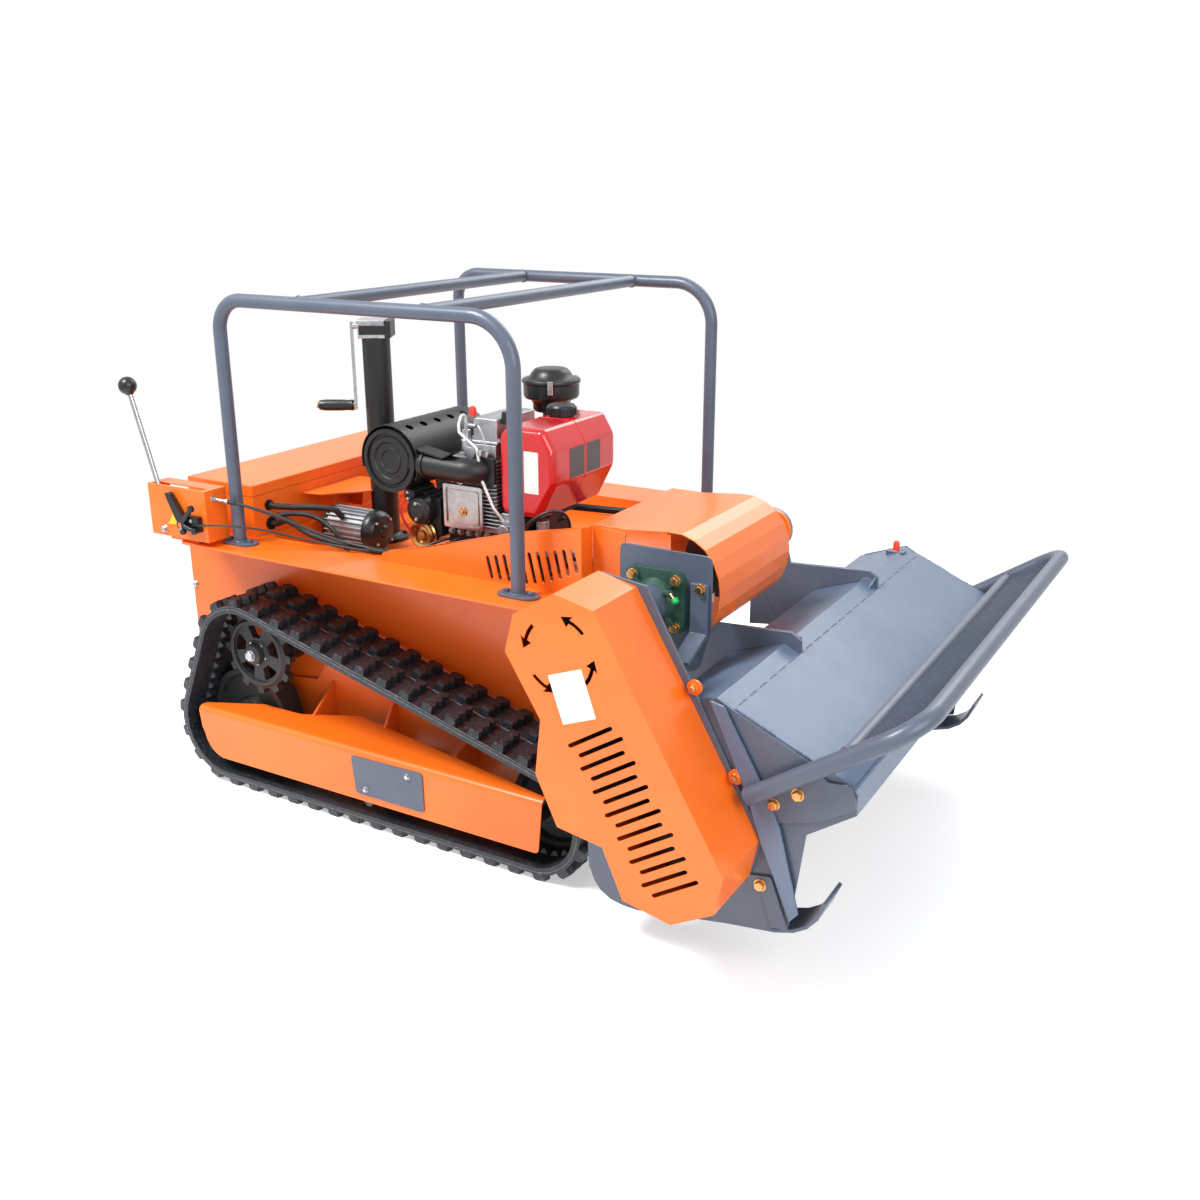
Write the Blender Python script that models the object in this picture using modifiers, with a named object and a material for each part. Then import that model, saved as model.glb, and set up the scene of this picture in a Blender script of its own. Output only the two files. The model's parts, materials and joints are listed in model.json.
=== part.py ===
"""Tracked drum mulcher: crawler carrier, engine, roll hoops and a belt-driven flail head.

Machine frame while modelling: +X runs forward to the head, +Y to the machine's left, +Z up.
x = 0 is the rear leg of the hoops, y = 0 the centre line and z = 0 the ground. At the end one
empty moves the whole machine, so that the origin is the centre of its footprint.
"""
import math

import bmesh
import bpy
from mathutils import Matrix, Vector

# ---- driving dimensions, metres ------------------------------------------------------------
GAP = 0.0003                # between faces that touch
RUN = 0.0005                # radial clearance of what turns

DECK_Z = 0.720              # top of the deck plate
DECK_T = 0.006
DECK_HALF = 0.558           # half width of the deck
DECK_REAR = -0.140
DECK_FRONT = 1.000
HULL_HALF = 0.290           # half width of the hull between the tracks
HULL_REAR = -0.420
HULL_FLOOR = 0.270
HULL_T = 0.005
BAY_HALF = 0.405            # engine bay opening in the deck
BAY_REAR = 0.020
BAY_FRONT = 0.975
BED_Z = 0.660               # floor of the engine bay
BED_T = 0.008

COAMING_Y = 0.430           # outer face of the bay coaming
COAMING_T = 0.004
COAMING_REAR = 0.410
COAMING_FRONT = 0.990
COAMING_TOP = 0.880
COAMING_LIP = 0.022
LOUVRES = 11
LOUVRE_PITCH = 0.0232
LOUVRE_W = 0.008
LOUVRE_H = 0.056
LOUVRE_LEAN = 0.013

BOX_REAR = -0.240           # rear cover box
BOX_FRONT = -0.005
BOX_TOP = 0.857
BOX_SEAM = 0.827
BOX_T = 0.003

TUBE_R = 0.01685            # hoop tube
HOOP_Y = 0.490
HOOP_LENGTH = 0.860
HOOP_TOP = 1.335
HOOP_BEND_REAR = 0.075
HOOP_BEND_FRONT = 0.110
FOOT_T = 0.006
FOOT_R = 0.026
FOOT_REACH = 0.027
CROSSBAR_X = {"rear": 0.250, "front": 0.615}

TRACK_OUTER = 0.500         # outer face of the belt
TRACK_WIDTH = 0.197
BELT_T = 0.018
LUG_H = 0.020
LUG_PITCH = 0.072
REAR_IDLER = (-0.125, 0.155)        # x, radius of the belt's outside over the wheel
FRONT_IDLER = (0.885, 0.135)
SPROCKET_X = -0.040
SPROCKET_Z = 0.388
SPROCKET_WRAP = 0.150
SPROCKET_TIP = 0.118
SPROCKET_ROOT = 0.101
SPROCKET_TEETH = 12
SPROCKET_T = 0.024
WHEEL_Y = 0.362             # middle plane of the idlers and rollers
SPROCKET_Y = 0.420          # middle plane of the sprocket
IDLER_W = 0.070
AXLE_R = 0.016
ROLLER_R = 0.042
ROLLER_W = 0.070
ROLLER_X = (0.380,)
SKIRT_T = 0.004
SKIRT_TOP = 0.222
SKIRT_LOW = 0.078

PIVOT_X = 1.158             # jackshaft and head lift axis
PIVOT_Z = 0.738
ROTOR_X = 1.405
ROTOR_Z = 0.346
HEAD_HALF = 0.620           # outer faces of the head's side plates
HEAD_PLATE_T = 0.006
HEAD_SHELL_T = 0.006
ARM_Y = 0.262
ARM_T = 0.012
JACKSHAFT_R = 0.020
SLEEVE_R = 0.033
BEARING_PLATE_Y = 0.424     # outer face
BEARING_PLATE_T = 0.006
BEARING_HALF = 0.071
BEARING_DEPTH = 0.036
BACKPLATE_T = 0.006
GUARD_DEPTH = 0.172
GUARD_T = 0.003
GUARD_SLOTS = 14
SLOT_W = 0.009
SLOT_LENGTH = 0.118
PULLEY_DRIVE_R = 0.090
PULLEY_ROTOR_R = 0.070
PULLEY_W = 0.060
DRIVE_BELT_T = 0.011
ROTOR_TUBE_R = 0.084
ROTOR_SHAFT_R = 0.024
FLAIL_REACH = 0.150
FLAIL_COLUMNS = 10
SKID_T = 0.008
SKID_W = 0.075

PIVOT_R = 0.045             # boss each lift arm turns on
BEAM_HALF = 0.4177          # front cross beam
BEAM_Z = (0.520, 0.620)

HOOD_R = 0.152              # facets round the jackshaft
HOOD_NEAR = 0.380
HOOD_FAR = 0.010
HOOD_T = 0.003

BUMPER_R = 0.019
BUMPER_Y = HEAD_HALF + 0.025
BUMPER_FRONT = 1.835
BUMPER_FRONT_Z = 0.677
BUMPER_REAR = 1.500
BUMPER_REAR_Z = 0.453
BUMPER_BEND = 0.085
BUMPER_MID = 0.580          # share of the side tube's run where the middle tube stands
BUMPER_MID_R = 0.016

ENGINE_Y = 0.295            # near face of the crankcase
ENGINE_X = (0.500, 0.740)
CRANK_X = 0.620
CRANK_Z = 0.745
CRANK_PULLEY_R = 0.055
INPUT_PULLEY_R = 0.085
INPUT_Y = (-0.065, -0.020)
MUFFLER_X = 0.391
MUFFLER_Z = 0.953
MUFFLER_R = 0.072
MUFFLER_Y = (-0.350, -0.020)
TANK_LOW = (0.676, -0.290, 0.838)
TANK_HIGH = (0.829, 0.010, 1.056)
TANK_TOP_CHAMFER = (0.030, 0.050)
TANK_LOW_CHAMFER = (0.046, 0.088)
FUEL_CAP_AT = (0.739, -0.103)
FUEL_CAP_R = 0.037
FILTER_X = 0.590
FILTER_Y = 0.100
FILTER_R = 0.078
JACK_X = 0.160
JACK_Y = -0.100
JACK_R = 0.037
JACK_TOP = 1.212
JACK_YAW = math.radians(30.0)
CRANK_REACH = 0.222
GRIP_R = 0.015

LEVER_BOX = ((-0.240, -0.562, 0.7320), (-0.035, -0.492, 0.866))
LEVER_PIVOT = (-0.187, -0.545, 0.750)
LEVER_LENGTH = 0.3517
LEVER_LEAN = math.radians(16.2)
KNOB_R = 0.023
THROTTLE_PIVOT = (-0.103, 0.778)

PAINT = {
    "orange": ((0.86, 0.19, 0.03, 1), 0.38, 0.0),
    "slate": ((0.08, 0.10, 0.13, 1), 0.42, 0.2),
    "black": ((0.015, 0.015, 0.017, 1), 0.45, 0.1),
    "rubber": ((0.02, 0.02, 0.022, 1), 0.75, 0.0),
    "red": ((0.62, 0.02, 0.02, 1), 0.30, 0.0),
    "green": ((0.03, 0.10, 0.07, 1), 0.45, 0.2),
    "steel": ((0.55, 0.55, 0.53, 1), 0.35, 0.9),
    "alloy": ((0.45, 0.45, 0.46, 1), 0.50, 0.8),
    "iron": ((0.07, 0.07, 0.075, 1), 0.60, 0.5),
    "yellow": ((0.90, 0.70, 0.02, 1), 0.40, 0.0),
}


# ---- scene and helpers ---------------------------------------------------------------------
def clear_scene():
    for item in list(bpy.data.objects):
        bpy.data.objects.remove(item, do_unlink=True)


def new_collection(name):
    collection = bpy.data.collections.new(name)
    bpy.context.scene.collection.children.link(collection)
    return collection


clear_scene()
PARTS = new_collection("drum_mulcher")
CUTTERS = new_collection("cutters")
MACHINE = bpy.data.objects.new("machine_origin", None)
PARTS.objects.link(MACHINE)


def material_for(name, finish):
    colour, roughness, metallic = PAINT[finish]
    made = bpy.data.materials.new(name)
    made.use_nodes = True
    shader = made.node_tree.nodes["Principled BSDF"]
    shader.inputs["Base Color"].default_value = colour
    shader.inputs["Roughness"].default_value = roughness
    shader.inputs["Metallic"].default_value = metallic
    made.diffuse_color = colour
    return made


def add_mesh(name, mesh, finish=None, pivot=(0, 0, 0)):
    """Link a mesh given in the machine frame: a part with a finish, or a cutter with none."""
    mesh.transform(Matrix.Translation(-Vector(pivot)))
    mesh.name = name
    made = bpy.data.objects.new(name, mesh)
    made.location = pivot
    made.parent = MACHINE
    if finish:
        PARTS.objects.link(made)
        mesh.materials.append(material_for(name, finish))
    else:
        CUTTERS.objects.link(made)
        made.hide_render = True
        made.display_type = "WIRE"
    return made


def smooth(made, angle=35.0):
    made.data.shade_smooth()
    made.data.set_sharp_from_angle(angle=math.radians(angle))
    return made


def take_mesh(made):
    """The evaluated mesh of a temporary object in world space, welded, with the object gone."""
    bpy.context.view_layer.update()
    graph = bpy.context.evaluated_depsgraph_get()
    mesh = bpy.data.meshes.new_from_object(made.evaluated_get(graph))
    mesh.transform(made.matrix_world)
    shape = bmesh.new()
    shape.from_mesh(mesh)
    bmesh.ops.remove_doubles(shape, verts=shape.verts, dist=0.00001)
    bmesh.ops.recalc_face_normals(shape, faces=shape.faces)
    shape.to_mesh(mesh)
    shape.free()
    bpy.data.objects.remove(made, do_unlink=True)
    return mesh


def box_mesh(low, high):
    shape = bmesh.new()
    bmesh.ops.create_cube(shape, size=1.0)
    low, high = Vector(low), Vector(high)
    for vert in shape.verts:
        middle = (low + high) / 2
        vert.co = middle + Vector(c * s for c, s in zip(vert.co, high - low))
    mesh = bpy.data.meshes.new("box")
    shape.to_mesh(mesh)
    shape.free()
    return mesh


def rod_mesh(start, end, radius, sides=24, end_radius=None):
    """A cylinder or cone from start to end."""
    start, end = Vector(start), Vector(end)
    run = end - start
    shape = bmesh.new()
    bmesh.ops.create_cone(shape, cap_ends=True, segments=sides, radius1=radius,
                          radius2=radius if end_radius is None else end_radius, depth=run.length)
    turn = Vector((0, 0, 1)).rotation_difference(run).to_matrix().to_4x4()
    bmesh.ops.transform(shape, matrix=Matrix.Translation((start + end) / 2) @ turn, verts=shape.verts)
    mesh = bpy.data.meshes.new("rod")
    shape.to_mesh(mesh)
    shape.free()
    return mesh


def ball_mesh(centre, radius):
    shape = bmesh.new()
    bmesh.ops.create_uvsphere(shape, u_segments=20, v_segments=12, radius=radius)
    bmesh.ops.translate(shape, vec=centre, verts=shape.verts)
    mesh = bpy.data.meshes.new("ball")
    shape.to_mesh(mesh)
    shape.free()
    return mesh


def outline_mesh(loops, low, high, plane="XZ"):
    """Flat outlines, the first one outside and the rest holes, as a plate between low and high.

    In plane XZ a point is (x, z) and the plate stands between y = low and y = high. In plane XY
    it lies between z = low and z = high, and in plane YZ it stands across the machine.
    """
    curve = bpy.data.curves.new("outline", "CURVE")
    curve.dimensions = "2D"
    curve.fill_mode = "BOTH"
    curve.extrude = (high - low) / 2
    for loop in loops:
        spline = curve.splines.new("POLY")
        spline.points.add(len(loop) - 1)
        for point, (across, up) in zip(spline.points, loop):
            point.co = (across, up, 0, 1)
        spline.use_cyclic_u = True
    made = bpy.data.objects.new("outline", curve)
    bpy.context.scene.collection.objects.link(made)
    middle = (low + high) / 2
    if plane == "XZ":
        made.matrix_world = Matrix.Translation((0, middle, 0)) @ Matrix.Rotation(math.pi / 2, 4, "X")
    elif plane == "YZ":
        stand = Matrix(((0, 0, 1, 0), (1, 0, 0, 0), (0, 1, 0, 0), (0, 0, 0, 1)))
        made.matrix_world = Matrix.Translation((middle, 0, 0)) @ stand
    else:
        made.matrix_world = Matrix.Translation((0, 0, middle))
    return take_mesh(made)


def tube_mesh(points, radius, resolution=3, closed=False):
    curve = bpy.data.curves.new("tube", "CURVE")
    curve.dimensions = "3D"
    curve.bevel_depth = radius
    curve.bevel_resolution = resolution
    curve.use_fill_caps = not closed
    spline = curve.splines.new("POLY")
    spline.points.add(len(points) - 1)
    for point, place in zip(spline.points, points):
        point.co = (*place, 1)
    spline.use_cyclic_u = closed
    made = bpy.data.objects.new("tube", curve)
    bpy.context.scene.collection.objects.link(made)
    return take_mesh(made)


def turned_mesh(profile, centre, axis, sides=28):
    """A closed profile of (radius, height) pairs screwed round an axis through centre."""
    shape = bmesh.new()
    verts = [shape.verts.new((radius, 0, height)) for radius, height in profile]
    for first, second in zip(verts, verts[1:]):
        shape.edges.new((first, second))
    mesh = bpy.data.meshes.new("profile")
    shape.to_mesh(mesh)
    shape.free()
    made = bpy.data.objects.new("profile", mesh)
    bpy.context.scene.collection.objects.link(made)
    screw = made.modifiers.new("turn", "SCREW")
    screw.steps = screw.render_steps = sides
    screw.use_merge_vertices = True
    screw.merge_threshold = 0.00005
    turn = Vector((0, 0, 1)).rotation_difference(Vector(axis)).to_matrix().to_4x4()
    made.matrix_world = Matrix.Translation(centre) @ turn
    return take_mesh(made)


def part(name, mesh, finish, pivot=(0, 0, 0), round_piece=False):
    made = add_mesh(name, mesh, finish, pivot)
    return smooth(made) if round_piece else made


def boolean(made, mesh, operation):
    tool = add_mesh(f"{made.name}.{operation.lower()}{len(made.modifiers)}", mesh)
    change = made.modifiers.new(tool.name, "BOOLEAN")
    change.operation = operation
    change.solver = "EXACT"
    change.object = tool
    return made


def cut(made, *meshes):
    for mesh in meshes:
        boolean(made, mesh, "DIFFERENCE")
    return made


def fuse(made, *meshes):
    for mesh in meshes:
        boolean(made, mesh, "UNION")
    return made


def join_meshes(meshes):
    """Several separate solids as one mesh, for a cutter with many teeth."""
    shape = bmesh.new()
    for mesh in meshes:
        shape.from_mesh(mesh)
    joined = bpy.data.meshes.new("joined")
    shape.to_mesh(joined)
    shape.free()
    return joined


def mirror_y(points):
    return [(x, -y, z) for x, y, z in points]


def arc(centre, radius, start, end, steps):
    """Points (across, up) along an arc, angles in degrees."""
    turn = [math.radians(start + (end - start) * i / steps) for i in range(steps + 1)]
    return [(centre[0] + radius * math.cos(a), centre[1] + radius * math.sin(a)) for a in turn]


def circle(centre, radius, steps=24):
    return arc(centre, radius, 0, 360 * (steps - 1) / steps, steps - 1)


def stadium(middle, direction, length, width, steps=5):
    """A slot with round ends, its long side along direction."""
    along = Vector(direction).normalized()
    heading = math.degrees(math.atan2(along.y, along.x))
    half = (length - width) / 2
    first = Vector(middle) + along * half
    second = Vector(middle) - along * half
    return (arc(first, width / 2, heading - 90, heading + 90, steps)
            + arc(second, width / 2, heading + 90, heading + 270, steps))


def rounded(points, radius, steps=4):
    """A polygon with its corners rounded by one radius."""
    made = []
    count = len(points)
    for i, point in enumerate(points):
        here = Vector(point)
        back = (Vector(points[i - 1]) - here)
        ahead = (Vector(points[(i + 1) % count]) - here)
        reach = min(radius, back.length / 2.1, ahead.length / 2.1)
        first = here + back.normalized() * reach
        last = here + ahead.normalized() * reach
        for step in range(steps + 1):
            share = step / steps
            low = first.lerp(here, share)
            high = here.lerp(last, share)
            made.append(tuple(low.lerp(high, share)))
    return made


def bend_path(points, radii, steps=6):
    """A polyline in space whose inner corners are round, one radius for each inner corner."""
    made = [Vector(points[0])]
    for i, radius in enumerate(radii):
        here = Vector(points[i + 1])
        back = (Vector(points[i]) - here).normalized()
        ahead = (Vector(points[i + 2]) - here).normalized()
        half = back.angle(ahead) / 2
        reach = radius / math.tan(half)
        middle = here + (back + ahead).normalized() * (radius / math.sin(half))
        first, last = here + back * reach - middle, here + ahead * reach - middle
        turn = first.angle(last)
        for step in range(steps + 1):
            share = step / steps
            weight = math.sin(turn)
            spoke = (first * math.sin((1 - share) * turn) + last * math.sin(share * turn)) / weight
            made.append(middle + spoke)
    made.append(Vector(points[-1]))
    return made


def pan_mesh(points, y_closed, y_open, thickness, open_edges=()):
    """A sheet-metal pan: one face at y_closed, a rim out to y_open, its thickness inwards."""
    shape = bmesh.new()
    verts = [shape.verts.new((x, y_closed, z)) for x, z in points]
    face = shape.faces.new(verts)
    edges = [shape.edges.get((verts[i], verts[(i + 1) % len(verts)])) for i in range(len(verts))]
    kept = [edge for i, edge in enumerate(edges) if i not in open_edges]
    rim = bmesh.ops.extrude_edge_only(shape, edges=kept)
    moved = [item for item in rim["geom"] if isinstance(item, bmesh.types.BMVert)]
    bmesh.ops.translate(shape, vec=(0, y_open - y_closed, 0), verts=moved)
    bmesh.ops.recalc_face_normals(shape, faces=shape.faces)
    face.normal_update()
    if face.normal.y * (y_closed - y_open) < 0:
        bmesh.ops.reverse_faces(shape, faces=shape.faces)
    mesh = bpy.data.meshes.new("pan")
    shape.to_mesh(mesh)
    shape.free()
    made = bpy.data.objects.new("pan", mesh)
    bpy.context.scene.collection.objects.link(made)
    wall = made.modifiers.new("sheet", "SOLIDIFY")
    wall.thickness = thickness
    wall.offset = -1
    wall.use_even_offset = True
    wall.use_quality_normals = True
    return take_mesh(made)


def offset_line(points, distance):
    """An open outline moved to its right-hand side, corners mitred."""
    line = [Vector(p) for p in points]
    made = []
    for i, here in enumerate(line):
        normals = []
        if i:
            run = (here - line[i - 1]).normalized()
            normals.append(Vector((run.y, -run.x)))
        if i < len(line) - 1:
            run = (line[i + 1] - here).normalized()
            normals.append(Vector((run.y, -run.x)))
        middle = sum(normals, Vector((0, 0))).normalized()
        made.append(tuple(here + middle * (distance / middle.dot(normals[0]))))
    return made


def strip_mesh(points, y_low, y_high, thickness):
    """A folded strip: an open outline (x, z) swept across the machine, with its own thickness."""
    shape = bmesh.new()
    near = [shape.verts.new((x, y_low, z)) for x, z in points]
    far = [shape.verts.new((x, y_high, z)) for x, z in points]
    for i in range(len(points) - 1):
        shape.faces.new((near[i], near[i + 1], far[i + 1], far[i]))
    mesh = bpy.data.meshes.new("strip")
    shape.to_mesh(mesh)
    shape.free()
    made = bpy.data.objects.new("strip", mesh)
    bpy.context.scene.collection.objects.link(made)
    wall = made.modifiers.new("sheet", "SOLIDIFY")
    wall.thickness = thickness
    wall.offset = 0
    wall.use_even_offset = True
    return take_mesh(made)


def belt_runs(wheels):
    """Arc and straight runs of a belt round wheels (x, z, radius), anticlockwise from below."""
    count = len(wheels)
    leave = []
    for i in range(count):
        x, z, radius = wheels[i]
        nx, nz, next_radius = wheels[(i + 1) % count]
        span = math.hypot(nx - x, nz - z)
        leave.append(math.atan2(nz - z, nx - x) - math.acos((radius - next_radius) / span))
    return [(wheels[i], leave[i - 1], leave[i - 1] + (leave[i] - leave[i - 1]) % (2 * math.pi))
            for i in range(count)]


def belt_point(runs, travel, offset=0.0):
    """The point and outward normal at a distance along the belt."""
    for i, ((x, z, radius), start, end) in enumerate(runs):
        length = radius * (end - start)
        if travel <= length:
            turn = start + travel / radius
            normal = Vector((math.cos(turn), math.sin(turn)))
            return Vector((x, z)) + normal * (radius + offset), normal
        travel -= length
        normal = Vector((math.cos(end), math.sin(end)))
        first = Vector((x, z)) + normal * radius
        nx, nz, next_radius = runs[(i + 1) % len(runs)][0]
        last = Vector((nx, nz)) + normal * next_radius
        span = (last - first).length
        if travel <= span:
            return first.lerp(last, travel / span) + normal * offset, normal
        travel -= span
    return belt_point(runs, 0.0, offset)


def belt_length(runs):
    total = 0.0
    for i, ((x, z, radius), start, end) in enumerate(runs):
        normal = Vector((math.cos(end), math.sin(end)))
        nx, nz, next_radius = runs[(i + 1) % len(runs)][0]
        total += radius * (end - start)
        total += (Vector((nx, nz)) + normal * next_radius - Vector((x, z)) - normal * radius).length
    return total


def arc_outline(runs, offset, step=12.0):
    """The belt's outline at an offset, with points only on its arcs."""
    made = []
    for (x, z, radius), start, end in runs:
        steps = max(1, round(math.degrees(end - start) / step))
        made += arc((x, z), radius + offset, math.degrees(start), math.degrees(end), steps)
    return made


# ---- carrier body --------------------------------------------------------------------------
def build_hull():
    """Open tub between the tracks, with a notch at the front for the engine belt."""
    length = DECK_FRONT - HULL_REAR
    height = DECK_Z - DECK_T - GAP - HULL_FLOOR
    tub = part("main_frame", box_mesh((HULL_REAR, -HULL_HALF, HULL_FLOOR),
                                    (HULL_REAR + length, HULL_HALF, HULL_FLOOR + height)), "orange")
    cut(tub, box_mesh((HULL_REAR + HULL_T, -HULL_HALF + HULL_T, HULL_FLOOR + HULL_T),
                      (DECK_FRONT - HULL_T, HULL_HALF - HULL_T, DECK_Z + 0.1)))
    front = DECK_FRONT - HULL_T / 2
    high = DECK_Z - DECK_T - GAP
    fuse(tub, box_mesh((BAY_REAR - HULL_T, -BAY_HALF - HULL_T, BED_Z - BED_T),
                       (BAY_FRONT + HULL_T, BAY_HALF + HULL_T, high)))
    cut(tub, box_mesh((BAY_REAR, -BAY_HALF, BED_Z), (BAY_FRONT, BAY_HALF, DECK_Z + 0.1)),
        box_mesh((0.860, -0.150, 0.630), (DECK_FRONT + 0.020, 0.040, DECK_Z + 0.1)))
    fuse(tub, box_mesh((front, -BEAM_HALF, BEAM_Z[0]), (DECK_FRONT + 0.050, BEAM_HALF, BEAM_Z[1])))
    for side in (-1, 1):
        build_pivot_bracket(tub, side)


def build_deck():
    plan = [(HULL_REAR, -HULL_HALF), (DECK_REAR, -DECK_HALF), (DECK_FRONT, -DECK_HALF),
            (DECK_FRONT, DECK_HALF), (DECK_REAR, DECK_HALF), (HULL_REAR, HULL_HALF)]
    bay = [(BAY_REAR, -BAY_HALF), (BAY_FRONT, -BAY_HALF), (BAY_FRONT, BAY_HALF), (BAY_REAR, BAY_HALF)]
    deck = part("deck_plate", outline_mesh([plan, rounded(bay, 0.03)], DECK_Z - DECK_T, DECK_Z, "XY"), "orange")
    build_coaming(deck, -1)


def build_coaming(deck, side):
    """Louvred wall welded to the deck, with a folded lip, rising towards the front."""
    outer = side * COAMING_Y
    inner = side * (COAMING_Y - COAMING_T)
    low = DECK_Z - 0.002
    wall = [(COAMING_REAR, low), (COAMING_FRONT, low), (COAMING_FRONT, COAMING_TOP),
            (0.806, 0.843), (0.570, 0.778), (COAMING_REAR + 0.01, DECK_Z + 0.02)]
    fuse(deck, outline_mesh([wall], min(outer, inner), max(outer, inner)))
    first = COAMING_FRONT - 0.018 - (LOUVRES - 1) * LOUVRE_PITCH
    slots = []
    for i in range(LOUVRES):
        middle = (first + i * LOUVRE_PITCH, 0.7525 + 0.0050 * i)
        lean = (LOUVRE_LEAN, -LOUVRE_H)
        loop = stadium(middle, lean, LOUVRE_H, LOUVRE_W, 3)
        slots.append(outline_mesh([loop], min(outer, inner) - 0.01, max(outer, inner) + 0.01))
    cut(deck, join_meshes(slots))
    lip = strip_mesh([(COAMING_REAR + 0.02, DECK_Z + 0.023), (0.570, 0.7765), (0.806, 0.8415),
                      (COAMING_FRONT, COAMING_TOP - 0.002)],
                     *sorted((outer - side * 0.001, outer - side * COAMING_LIP)), 0.003)
    fuse(deck, lip)
    end = side * (COAMING_Y - COAMING_T / 2)
    step = box_mesh((COAMING_FRONT - 0.004, min(end, side * HOOD_NEAR), low),
                    (COAMING_FRONT - 0.0005, max(end, side * HOOD_NEAR), COAMING_TOP - 0.004))
    fuse(deck, step)


def build_rear_box():
    """Cover box across the rear deck, its lid hinged at the back."""
    low = DECK_Z + GAP
    across = COAMING_Y
    body = part("rear_box", box_mesh((BOX_REAR, -across, low), (BOX_FRONT, across, BOX_SEAM - GAP)), "orange")
    cut(body, box_mesh((BOX_REAR + BOX_T, -across + BOX_T, low + BOX_T),
                       (BOX_FRONT - BOX_T, across - BOX_T, BOX_SEAM + 0.1)))
    for y, z, radius in ((-0.375, 0.795, 0.0098), (-0.372, 0.745, 0.013)):
        cut(body, rod_mesh((BOX_FRONT - 0.02, y, z), (BOX_FRONT + 0.02, y, z), radius, 16))
    lid = part("rear_lid", box_mesh((BOX_REAR, -across, BOX_SEAM), (BOX_FRONT, across, BOX_TOP)),
               "orange", (BOX_REAR, 0, BOX_SEAM))
    cut(lid, box_mesh((BOX_REAR + BOX_T, -across + BOX_T, BOX_SEAM - 0.1),
                      (BOX_FRONT - BOX_T, across - BOX_T, BOX_TOP - BOX_T)))


def build_hood():
    """Faceted cover round the jackshaft, with the wall plate it grows out of."""
    angles = (118, 82, 62, 43, 26, 9, -20)
    facets = [(PIVOT_X + HOOD_R * math.cos(math.radians(a)), PIVOT_Z + HOOD_R * math.sin(math.radians(a)))
              for a in angles]
    low = DECK_Z + GAP
    points = [(COAMING_FRONT + GAP, COAMING_TOP)] + facets
    points += [(DECK_FRONT + 0.002, PIVOT_Z - 0.075), (DECK_FRONT + 0.002, low), (COAMING_FRONT + GAP, low)]
    last = len(points) - 1
    hood = pan_mesh(points, HOOD_FAR, -HOOD_NEAR, HOOD_T, open_edges=(last - 3, last - 2, last - 1, last))
    made = part("front_hood", hood, "orange")
    wall = [(COAMING_FRONT + GAP, low), (1.060, low), (1.075, COAMING_TOP - 0.010),
            (COAMING_FRONT + GAP, COAMING_TOP - 0.002)]
    fuse(made, outline_mesh([wall], -HOOD_NEAR, -HOOD_NEAR + COAMING_T))


def build_pivot_bracket(frame, side):
    """Bracket on the front beam whose boss carries one lift arm."""
    inner = side * (ARM_Y - ARM_T / 2 - GAP)
    outer = side * (ARM_Y - ARM_T / 2 - GAP - 0.012)
    low = BEAM_Z[1] - 0.002
    outline = [(DECK_FRONT + 0.004, low), (DECK_FRONT + 0.045, low), (PIVOT_X + 0.040, PIVOT_Z - 0.042)]
    outline += arc((PIVOT_X, PIVOT_Z), 0.058, -40, 150, 10) + [(DECK_FRONT + 0.004, 0.700)]
    fuse(frame, outline_mesh([outline], *sorted((inner, outer))))
    fuse(frame, rod_mesh((PIVOT_X, side * (ARM_Y - 0.012), PIVOT_Z),
                         (PIVOT_X, side * (ARM_Y + ARM_T / 2 + 0.006), PIVOT_Z), PIVOT_R, 28))
    if side < 0:
        cut(frame, rod_mesh((PIVOT_X, -0.35, PIVOT_Z), (PIVOT_X, -0.15, PIVOT_Z), JACKSHAFT_R + 0.004, 24))


# ---- roll hoops ----------------------------------------------------------------------------
def build_cage():
    """Two bent hoops with foot plates, joined by two cross bars."""
    low = DECK_Z + GAP
    cage = None
    for side in (-1, 1):
        y = side * HOOP_Y
        path = bend_path([(0, y, low + FOOT_T / 2), (0, y, HOOP_TOP), (HOOP_LENGTH, y, HOOP_TOP),
                          (HOOP_LENGTH, y, low + FOOT_T / 2)], (HOOP_BEND_REAR, HOOP_BEND_FRONT))
        hoop = tube_mesh(path, TUBE_R)
        if cage is None:
            cage = part("roll_cage", hoop, "slate", round_piece=True)
        else:
            fuse(cage, hoop)
        for x in (0, HOOP_LENGTH):
            foot = stadium((x, y), (1, 0), 2 * (FOOT_REACH + FOOT_R), 2 * FOOT_R, 6)
            holes = [circle((x + end * (FOOT_REACH + 0.006), y), 0.005, 10) for end in (-1, 1)]
            fuse(cage, outline_mesh([foot] + holes, low, low + FOOT_T, "XY"))
    for x in CROSSBAR_X.values():
        fuse(cage, rod_mesh((x, -HOOP_Y, HOOP_TOP), (x, HOOP_Y, HOOP_TOP), TUBE_R * 0.95, 16))


# ---- tracks --------------------------------------------------------------------------------
def track_wheels():
    rear_x, rear_r = REAR_IDLER
    front_x, front_r = FRONT_IDLER
    return [(rear_x, rear_r + LUG_H, rear_r), (front_x, front_r + LUG_H, front_r),
            (SPROCKET_X, SPROCKET_Z, SPROCKET_WRAP)]


def build_belt(side, word):
    """Rubber belt with a bar lug at each pitch."""
    runs = belt_runs(track_wheels())
    length = belt_length(runs)
    count = round(length / LUG_PITCH)
    pitch = length / count
    outer = []
    for i in range(count):
        for share, height in ((0.30, 0.0), (0.38, LUG_H), (0.66, LUG_H), (0.74, 0.0)):
            point, _ = belt_point(runs, (i + share) * pitch, height)
            outer.append(tuple(point))
    inner = arc_outline(runs, -BELT_T)
    y = sorted((side * TRACK_OUTER, side * (TRACK_OUTER - TRACK_WIDTH)))
    part(f"track_belt_{word}", outline_mesh([outer, inner], *y), "rubber")


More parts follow.
